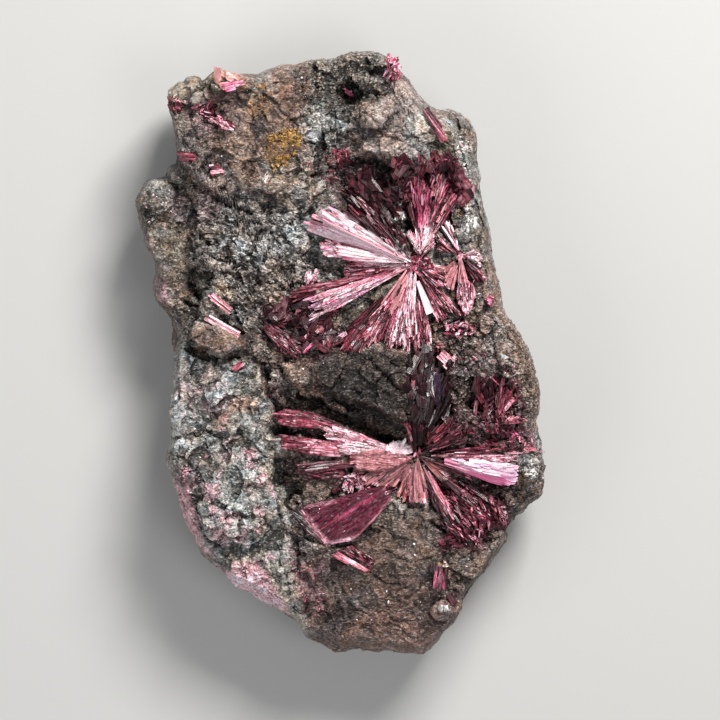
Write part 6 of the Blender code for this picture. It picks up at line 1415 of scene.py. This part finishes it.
def strew(tree):
    whole = [(168, 90), (310, 60), (395, 60), (470, 120), (490, 260), (535, 390), (540, 470), (480, 570), (420, 650), (320, 640), (215, 565), (170, 460), (172, 340), (140, 230), (170, 160)]
    made = []
    made.append(("pale", grains("pale_grains", tree, [
        (CRUST, 5, 260, (0.6, 1.3), [PALE, CHALK, STONE], 1.1, 10), (whole, 2, 420, (0.5, 1.1), [PALE, CHALK, STONE], 1.2, 20),
        ([(510, 458), (534, 455), (538, 478), (512, 482)], 3, 240, (1.2, 3.2), [PALE, STONE, STONE, SLATE, CHALK], 1.2, 8),
        ([(386, 213), (400, 211), (412, 220), (411, 235), (394, 234)], 3, 130, (1.4, 3.4), [PALE, CHALK, STONE], 1.2, 8), ([(388, 214), (402, 212), (404, 220), (392, 222)], 2, 30, (2, 4), [CHALK, (0.85, 0.83, 0.82)], 1.3, 8),
        ([(466, 196), (476, 198), (478, 220), (474, 250), (468, 240), (464, 212)], 3, 130, (1.0, 2.6), [CHALK, PALE, (0.85, 0.82, 0.82)], 1.2, 8),
        ([(434, 599), (446, 600), (446, 608), (434, 607)], 2, 46, (1.6, 3.4), [CHALK, PALE], 1.3, 6), ([(402, 486), (418, 484), (420, 500), (406, 502)], 2, 50, (1.8, 4.0), [CHALK, PALE, STONE], 1.4, 6),
        ([(495, 355), (503, 356), (503, 363), (496, 363)], 1.5, 16, (1.6, 3.0), [CHALK], 1.3, 6), ([(264, 178), (270, 178), (270, 184), (264, 184)], 1.5, 10, (1.4, 2.6), [CHALK], 1.3, 6),
        ([(448, 104), (478, 118), (480, 190), (462, 180), (458, 130)], 4, 420, (0.8, 2.0), [PALE, STONE, CHALK], 1.1, 12), ([(136, 182), (172, 180), (166, 214), (142, 220)], 4, 220, (0.8, 1.9), [PALE, STONE], 1.1, 12),
        ([(456, 142), (466, 146), (462, 158), (454, 154)], 2, 26, (1.2, 2.6), [CHALK, BLUSH], 1.3, 6)], 802)))
    made.append(("pink", grains("pink_grains", tree, [
        ([(226, 572), (246, 562), (268, 572), (280, 604), (262, 608), (234, 594)], 3, 300, (0.8, 1.8), [ROSE, DUST, (0.74, 0.42, 0.47)], 1.2, 9), ([(168, 468), (190, 464), (204, 520), (198, 546), (182, 530)], 4, 260, (0.8, 1.9), [ROSE, DUST, PINK], 1.3, 9),
        ([(204, 452), (238, 444), (270, 460), (268, 520), (226, 530), (206, 500)], 6, 90, (0.7, 1.4), [ROSE, DUST], 1.2, 7), (CRUST, 4, 60, (0.6, 1.1), [ROSE, DUST], 1.2, 7),
        ([(176, 106), (214, 104), (236, 128), (206, 134)], 5, 110, (0.5, 1.1), [DUST, MAUVE, PINK], 1.5, 7), (LEFT_LOBE, 4, 80, (0.6, 1.2), [DUST, ROSE], 1.3, 9),
        ([(502, 432), (536, 430), (540, 448), (508, 450)], 4, 110, (0.9, 2.0), [RUBY, HOT, PINK], 1.8, 8), ([(470, 500), (492, 506), (488, 524), (474, 520)], 3, 70, (0.9, 2.0), [HOT, PINK, RUBY], 1.8, 8),
        ([(290, 556), (320, 556), (326, 610), (306, 612)], 5, 110, (0.7, 1.6), [MAROON, RUBY, DUST], 1.6, 8), ([(470, 264), (490, 270), (500, 308), (486, 312)], 4, 80, (0.7, 1.6), [DUST, RUBY], 1.5, 8),
        ([(436, 355), (520, 350), (524, 372), (470, 380)], 5, 90, (0.7, 1.6), [CRIMSON, RUBY, PINK], 1.7, 8), (whole, 2, 160, (0.5, 1.1), [RUBY, CRIMSON, DUST], 1.8, 14),
        ([(426, 318), (446, 322), (470, 340), (440, 352), (424, 346)], 4, 90, (0.8, 1.9), [MAROON, RUBY, PINK], 1.8, 8)], 803)))
    made.append(("crimson", grains("crimson_druse", tree, [
        ([(262, 306), (334, 304), (346, 350), (300, 364), (264, 338)], 5, 420, (1.0, 2.8), [INK, DEEP, MAROON], 2.2, 12), ([(330, 172), (346, 158), (404, 160), (408, 232), (366, 238), (338, 214)], 5, 420, (1.0, 2.8), [INK, DEEP, MAROON], 2.2, 12),
        ([(408, 354), (448, 354), (454, 420), (446, 450), (412, 448)], 4, 420, (1.0, 2.8), [INK, DEEP, MAROON], 2.4, 12), ([(438, 480), (486, 482), (512, 506), (486, 550), (440, 546)], 5, 520, (1.0, 2.6), [DEEP, MAROON, CRIMSON, RUBY], 2.4, 12),
        ([(470, 378), (512, 380), (534, 424), (520, 438), (474, 412)], 5, 320, (1.0, 2.6), [DEEP, MAROON, CRIMSON], 2.2, 12), ([(404, 168), (448, 158), (470, 186), (458, 208), (410, 208)], 4, 420, (1.0, 2.6), [MAROON, CRIMSON, MAUVE, RUBY], 2.0, 12),
        ([(452, 410), (520, 425), (530, 448), (460, 448)], 6, 300, (0.9, 2.2), [DEEP, MAROON, RUBY], 2.2, 10), ([(300, 156), (345, 150), (350, 180), (330, 190)], 5, 90, (0.8, 1.8), [MAROON, CRIMSON], 2.0, 10),
        ([(270, 385), (300, 405), (300, 430), (276, 425)], 5, 80, (0.8, 2.0), [MAROON, CRIMSON], 2.0, 10), ([(286, 548), (310, 556), (320, 600), (300, 600)], 5, 120, (0.8, 2.0), [DEEP, MAROON], 2.0, 10)], 804)))
    made.append(("ochre", grains("ochre_grains", tree, [
        ([(270, 142), (288, 132), (303, 132), (297, 158), (280, 166), (270, 160)], 3, 460, (0.9, 2.1), [(0.42, 0.23, 0.065), (0.50, 0.30, 0.10), (0.34, 0.19, 0.06), (0.20, 0.10, 0.035)], 1.1, 7), ([(272, 160), (290, 158), (284, 182), (272, 178)], 2, 34, (1.0, 2.0), [(0.42, 0.23, 0.065), (0.50, 0.30, 0.10)], 1.1, 6), ([(255, 88), (267, 87), (268, 101), (256, 101)], 2, 60, (0.8, 1.8), [OCHRE, RUSTY], 1.1, 6),
        ([(478, 190), (492, 230), (504, 300), (498, 310), (484, 250)], 3, 160, (0.8, 1.8), [RUSTY, OCHRE, TAN], 1.2, 9), ([(516, 472), (540, 470), (540, 496), (520, 500)], 3, 120, (0.9, 2.0), [RUSTY, OCHRE, UMBER], 1.2, 8),
        ([(500, 364), (510, 366), (508, 374), (500, 372)], 2, 40, (0.9, 2.0), [OCHRE, (0.5, 0.32, 0.12)], 1.1, 6), ([(452, 206), (462, 208), (460, 222), (452, 218)], 2, 30, (0.9, 1.8), [OCHRE, RUSTY], 1.1, 6)], 805)))
    return made


# ---------------------------------------------------------------- materials
def node_of(tree, kind, **values):
    node = tree.nodes.new(kind)
    for key, value in values.items():
        if key in node.inputs:
            node.inputs[key].default_value = value
        else:
            setattr(node, key, value)
    return node


def ramp_of(tree, source, stops):
    node = tree.nodes.new("ShaderNodeValToRGB")
    ramp = node.color_ramp
    while len(ramp.elements) < len(stops):
        ramp.elements.new(0.5)
    for element, (at, value) in zip(ramp.elements, stops):
        element.position = at
        element.color = (value, value, value, 1) if isinstance(value, (int, float)) else (*value, 1)
    tree.links.new(source, node.inputs["Fac"])
    return node


def multiplied(tree, a, b, factor=1.0):
    node = tree.nodes.new("ShaderNodeMix")
    node.data_type = "RGBA"
    node.blend_type = "MULTIPLY"
    node.inputs["Factor"].default_value = factor
    tree.links.new(a, node.inputs["A"])
    tree.links.new(b, node.inputs["B"])
    return node.outputs["Result"]


def shifted(tree, source, stops, smooth_steps=True):
    """A ramp of colours over a noise; each stop is (place, colour)."""
    node = ramp_of(tree, source, stops)
    node.color_ramp.interpolation = "EASE" if smooth_steps else "LINEAR"
    return node.outputs["Color"]


def lightened(tree, colour, light, amount):
    node = tree.nodes.new("ShaderNodeMix")
    node.data_type = "RGBA"
    tree.links.new(amount, node.inputs["Factor"])
    tree.links.new(colour, node.inputs["A"])
    tree.links.new(light, node.inputs["B"])
    return node.outputs["Result"]


def rock_material(name, fine=3400.0, depth=1.0, glint=1.0, roughness=(0.42, 0.80), bump=0.6):
    """Broken ore: the painted tone, cut by dark grain with painted shade in its pits, and lightened by pale flecks
    painted as glints of cleavage faces, dull to glossy.
    """
    mat = bpy.data.materials.new(name)
    mat.use_nodes = True
    t = mat.node_tree
    shader = t.nodes["Principled BSDF"]
    tone = node_of(t, "ShaderNodeAttribute", attribute_name="tone").outputs["Color"]
    place = node_of(t, "ShaderNodeTexCoord").outputs["Object"]
    tilted = node_of(t, "ShaderNodeMapping")
    tilted.inputs["Rotation"].default_value = (0.0, 0.0, math.radians(-38))
    tilted.inputs["Scale"].default_value = (0.62, 1.25, 1.0)
    t.links.new(place, tilted.inputs["Vector"])
    grain = node_of(t, "ShaderNodeTexNoise", Scale=fine, Detail=4.0, Roughness=0.7)
    t.links.new(tilted.outputs["Vector"], grain.inputs["Vector"])
    middle = node_of(t, "ShaderNodeTexNoise", Scale=fine * 0.36, Detail=4.0, Roughness=0.65)
    t.links.new(place, middle.inputs["Vector"])
    glint_flecks = node_of(t, "ShaderNodeTexNoise", Scale=fine * 0.9, Detail=2.0, Roughness=0.6, Distortion=0.6)
    t.links.new(tilted.outputs["Vector"], glint_flecks.inputs["Vector"])
    hue = node_of(t, "ShaderNodeTexNoise", Scale=fine * 0.22, Detail=3.0, Roughness=0.6)
    t.links.new(place, hue.inputs["Vector"])
    low = 1 - 0.90 * depth
    broken = node_of(t, "ShaderNodeAttribute", attribute_name="breakage").outputs["Fac"]
    force = node_of(t, "ShaderNodeMapRange")
    for key, value in (("From Min", 0.2), ("From Max", 1.25), ("To Min", 0.62), ("To Max", 1.0)):
        force.inputs[key].default_value = value
    t.links.new(broken, force.inputs["Value"])
    # dark grain, and painted shade: the tone is darkened where the grain noise also sinks the bump, in its pits
    dark = shifted(t, grain.outputs["Fac"], [(0.405, (low, low * 0.92, low * 0.9)), (0.48, (1 - 0.48 * depth,) * 3), (0.545, (1, 1, 1))])
    colour = lightened(t, tone, multiplied(t, tone, dark), force.outputs["Result"])
    dark = shifted(t, middle.outputs["Fac"], [(0.40, (1 - 0.76 * depth,) * 3), (0.495, (1 - 0.25 * depth,) * 3), (0.56, (1, 1, 1))])
    colour = lightened(t, colour, multiplied(t, colour, dark), force.outputs["Result"])
    colour = multiplied(t, colour, shifted(t, hue.outputs["Fac"], [(0.38, (1.0, 0.91, 0.85)), (0.50, (0.97, 0.96, 0.94)), (0.62, (0.91, 0.97, 0.96))]))
    # painted glints: pale flecks of the tone, raised by gamma, lighten the colour where the fleck noise peaks, for
    # light glinting off small cleavage faces
    pale = node_of(t, "ShaderNodeGamma")
    t.links.new(tone, pale.inputs["Color"])
    pale.inputs["Gamma"].default_value = 0.53
    spark = node_of(t, "ShaderNodeMapRange", interpolation_type="SMOOTHSTEP")
    for key, value in (("From Min", 0.545), ("From Max", 0.64), ("To Min", 0.0), ("To Max", 0.95 * glint)):
        spark.inputs[key].default_value = value
    t.links.new(glint_flecks.outputs["Fac"], spark.inputs["Value"])
    sparkle = node_of(t, "ShaderNodeMath", operation="MULTIPLY")
    t.links.new(spark.outputs["Result"], sparkle.inputs[0])
    t.links.new(force.outputs["Result"], sparkle.inputs[1])
    colour = lightened(t, colour, pale.outputs["Color"], sparkle.outputs[0])
    t.links.new(colour, shader.inputs["Base Color"])
    rough = ramp_of(t, middle.outputs["Fac"], [(0.38, roughness[1]), (0.62, roughness[0])])
    t.links.new(rough.outputs["Color"], shader.inputs["Roughness"])
    shader.inputs["Specular IOR Level"].default_value = 0.28
    bumps = node_of(t, "ShaderNodeBump", Strength=bump, Distance=0.00025)
    t.links.new(grain.outputs["Fac"], bumps.inputs["Height"])
    t.links.new(bumps.outputs["Normal"], shader.inputs["Normal"])
    return mat


def crystal_material(name, across=2.2, roughness=(0.18, 0.42), bump=0.5, shine=1.0, dark=(0.14, 0.033, 0.05), ior=1.63):
    """Striated crystal: the blade's own tone, with deep crimson partings along and across it and pearly cleavage glints
    painted into the base colour as pale spots.
    """
    mat = bpy.data.materials.new(name)
    mat.use_nodes = True
    t = mat.node_tree
    shader = t.nodes["Principled BSDF"]
    tone = node_of(t, "ShaderNodeAttribute", attribute_name="tone").outputs["Color"]
    marks = node_of(t, "ShaderNodeAttribute", attribute_name="crystal").outputs["Vector"]

    def noise(scale, detail=3.0, roughness=0.6):
        place = node_of(t, "ShaderNodeMapping")
        place.inputs["Scale"].default_value = scale
        t.links.new(marks, place.inputs["Vector"])
        made = node_of(t, "ShaderNodeTexNoise", Scale=1.0, Detail=detail, Roughness=roughness)
        t.links.new(place.outputs["Vector"], made.inputs["Vector"])
        return made.outputs["Fac"]

    streaks = noise((across, 2.6, 53.0))
    rungs = noise((across * 0.55, 13.0, 29.0))
    glint_spots = noise((across * 1.15, 3.4, 71.0), 2.0)
    half = tuple(0.62 * one + 0.45 * c for c, one in zip(dark, (1.08, 0.66, 0.72)))
    strength = node_of(t, "ShaderNodeAttribute", attribute_name="striation").outputs["Fac"]
    cut = multiplied(t, tone, shifted(t, streaks, [(0.40, dark), (0.465, half), (0.53, (1, 1, 1))]))
    cut = multiplied(t, cut, shifted(t, rungs, [(0.395, tuple(1.4 * c for c in dark)), (0.455, half), (0.505, (1, 1, 1))]))
    colour = lightened(t, tone, cut, strength)
    # painted highlights: pale, pink-tinted spots of the tone are mixed into the base colour where the glint noise
    # peaks, weaker on dark tones, for cleavage faces catching the light
    pale = node_of(t, "ShaderNodeGamma")
    t.links.new(tone, pale.inputs["Color"])
    pale.inputs["Gamma"].default_value = 0.52
    spark = node_of(t, "ShaderNodeMapRange", interpolation_type="SMOOTHSTEP")
    for key, value in (("From Min", 0.54), ("From Max", 0.61), ("To Min", 0.0), ("To Max", shine)):
        spark.inputs[key].default_value = value
    t.links.new(glint_spots, spark.inputs["Value"])
    lustre = node_of(t, "ShaderNodeMapRange")
    for key, value in (("From Min", 0.01), ("From Max", 0.16), ("To Min", 0.22), ("To Max", 1.0)):
        lustre.inputs[key].default_value = value
    t.links.new(tone, lustre.inputs["Value"])
    weaker = node_of(t, "ShaderNodeMath", operation="MULTIPLY")
    t.links.new(strength, weaker.inputs[0])
    t.links.new(lustre.outputs["Result"], weaker.inputs[1])
    glint = node_of(t, "ShaderNodeMath", operation="MULTIPLY")
    t.links.new(spark.outputs["Result"], glint.inputs[0])
    t.links.new(weaker.outputs[0], glint.inputs[1])
    rosy = node_of(t, "ShaderNodeMix", data_type="RGBA", blend_type="MULTIPLY")
    rosy.inputs["Factor"].default_value = 1.0
    t.links.new(pale.outputs["Color"], rosy.inputs["A"])
    rosy.inputs["B"].default_value = (1.0, 0.84, 0.91, 1)
    colour = lightened(t, colour, rosy.outputs["Result"], glint.outputs[0])
    t.links.new(colour, shader.inputs["Base Color"])
    rough = ramp_of(t, streaks, [(0.38, roughness[1]), (0.62, roughness[0])])
    t.links.new(rough.outputs["Color"], shader.inputs["Roughness"])
    bumps = node_of(t, "ShaderNodeBump", Strength=bump, Distance=0.00012)
    t.links.new(streaks, bumps.inputs["Height"])
    t.links.new(bumps.outputs["Normal"], shader.inputs["Normal"])
    shader.inputs["IOR"].default_value = ior
    shader.inputs["Specular IOR Level"].default_value = 0.32
    return mat


def floor_material():
    mat = bpy.data.materials.new("pale_floor")
    mat.use_nodes = True
    shader = mat.node_tree.nodes["Principled BSDF"]
    shader.inputs["Base Color"].default_value = (0.44, 0.437, 0.43, 1)
    shader.inputs["Roughness"].default_value = 0.85
    return mat


# ---------------------------------------------------------------- assembly
def use(obj, material, slot, *nodes):
    obj.data.materials.clear()
    obj.data.materials.append(material)
    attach(obj, "root")
    if nodes:
        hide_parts(*nodes)


def build_object():
    rock = make_rock_mesh()
    rock.name = "ore_matrix_body"
    mesh = rock.data
    co = coordinates(mesh)
    edges = np.empty(len(mesh.edges) * 2, np.int32)
    mesh.edges.foreach_get("vertices", edges)
    edges = edges.reshape(-1, 2)
    normal = vertex_normals(mesh)
    # relief measures that rock_colour turns into painted shade in hollows and painted light on raised points
    near = ((co - relaxed(co, edges, 4)) * normal).sum(1) * 1000
    wide = ((co - relaxed(co, edges, 30)) * normal).sum(1) * 1000
    put_colour(mesh, "tone", rock_colour(co, near * 1.5 + wide * 0.5, normal[:, 2]))
    x, y, z = plan_of(co)
    put_value(mesh, "breakage", np.clip(breakage(x, y), 0, 1.3))
    faces = np.empty(len(mesh.loops), np.int32)
    mesh.loops.foreach_get("vertex_index", faces)
    tree = BVHTree.FromPolygons([tuple(v) for v in co], [tuple(p.vertices) for p in mesh.polygons])
    ore = rock_material("broken_ore")
    use(rock, ore, "ore_matrix", "matrix")
    mesh.polygons.foreach_set("use_smooth", np.full(len(mesh.polygons), False))
    blades = crystal_material("erythrite_blades")
    pale_slots = {r["node"]: r["material_slot"] for r in frame["record"]["subparts"]}
    use(upper_spray(tree), blades, pale_slots["upper_spray"], "upper_spray")
    use(right_spray(tree), blades, pale_slots["right_spray"], "right_spray")
    use(lower_spray(tree), blades, pale_slots["lower_spray"], "lower_spray")
    for node, obj in single_crystals(tree):
        use(obj, blades, pale_slots[node], node)
    grit = rock_material("ore_grit", 3400.0, 0.6, 0.6, (0.4, 0.7), 0.3)
    druse = crystal_material("druse_grains", 2.3, (0.25, 0.5), 0.25, 0.4, (0.35, 0.16, 0.22))
    for kind, obj in strew(tree):
        if kind in ("rock", "ochre"):
            use(obj, grit, "ore_matrix")
        else:
            use(obj, druse, "ore_matrix" if kind == "pale" else "erythrite_crimson" if kind == "crimson" else "erythrite_pink")


def look_at(obj, target):
    obj.rotation_euler = (Vector(target) - obj.location).to_track_quat("-Z", "Y").to_euler()


def area_light(name, place, target, size, power, colour=(1, 1, 1)):
    light = bpy.data.lights.new(name, "AREA")
    light.shape = "RECTANGLE"
    light.size, light.size_y = size
    light.energy = power
    light.color = colour
    obj = bpy.data.objects.new(name, light)
    obj.location = place
    bpy.context.scene.collection.objects.link(obj)
    look_at(obj, target)
    return obj


def stage():
    bpy.ops.mesh.primitive_plane_add(size=4.0, location=(0, 0, 0))
    floor = bpy.context.object
    floor.name = "floor"
    floor.data.materials.append(floor_material())
    area_light("key", (0.20, 0.40, 0.40), (0, 0, 0.015), (0.24, 0.18), 6.3, (1.0, 0.985, 0.96))
    area_light("fill", (-0.42, -0.30, 0.36), (0, 0, 0.015), (0.40, 0.40), 1.7, (0.96, 0.98, 1.0))
    area_light("top", (0.30, -0.16, 0.62), (0, 0, 0.0), (0.30, 0.30), 1.2)
    world = bpy.data.worlds.new("studio")
    world.use_nodes = True
    world.node_tree.nodes["Background"].inputs["Color"].default_value = (0.80, 0.82, 0.85, 1)
    world.node_tree.nodes["Background"].inputs["Strength"].default_value = 0.20
    bpy.context.scene.world = world
    bpy.context.scene.view_settings.view_transform = "Standard"
    camera = bpy.data.cameras.new("camera")
    camera.lens = 150.0
    camera.sensor_width = 36.0
    camera.clip_start = 0.02
    camera.clip_end = 10.0
    eye = bpy.data.objects.new("camera", camera)
    bpy.context.scene.collection.objects.link(eye)
    # the picture is 720 u wide at the level of the silhouette's average height
    plane = 0.0155
    distance = 720 * UNIT * camera.lens / camera.sensor_width
    eye.location = ((360 - CX) * UNIT, (CY - 360) * UNIT, plane + distance)
    eye.rotation_euler = (0, 0, 0)
    bpy.context.scene.camera = eye


build_object()
stage()
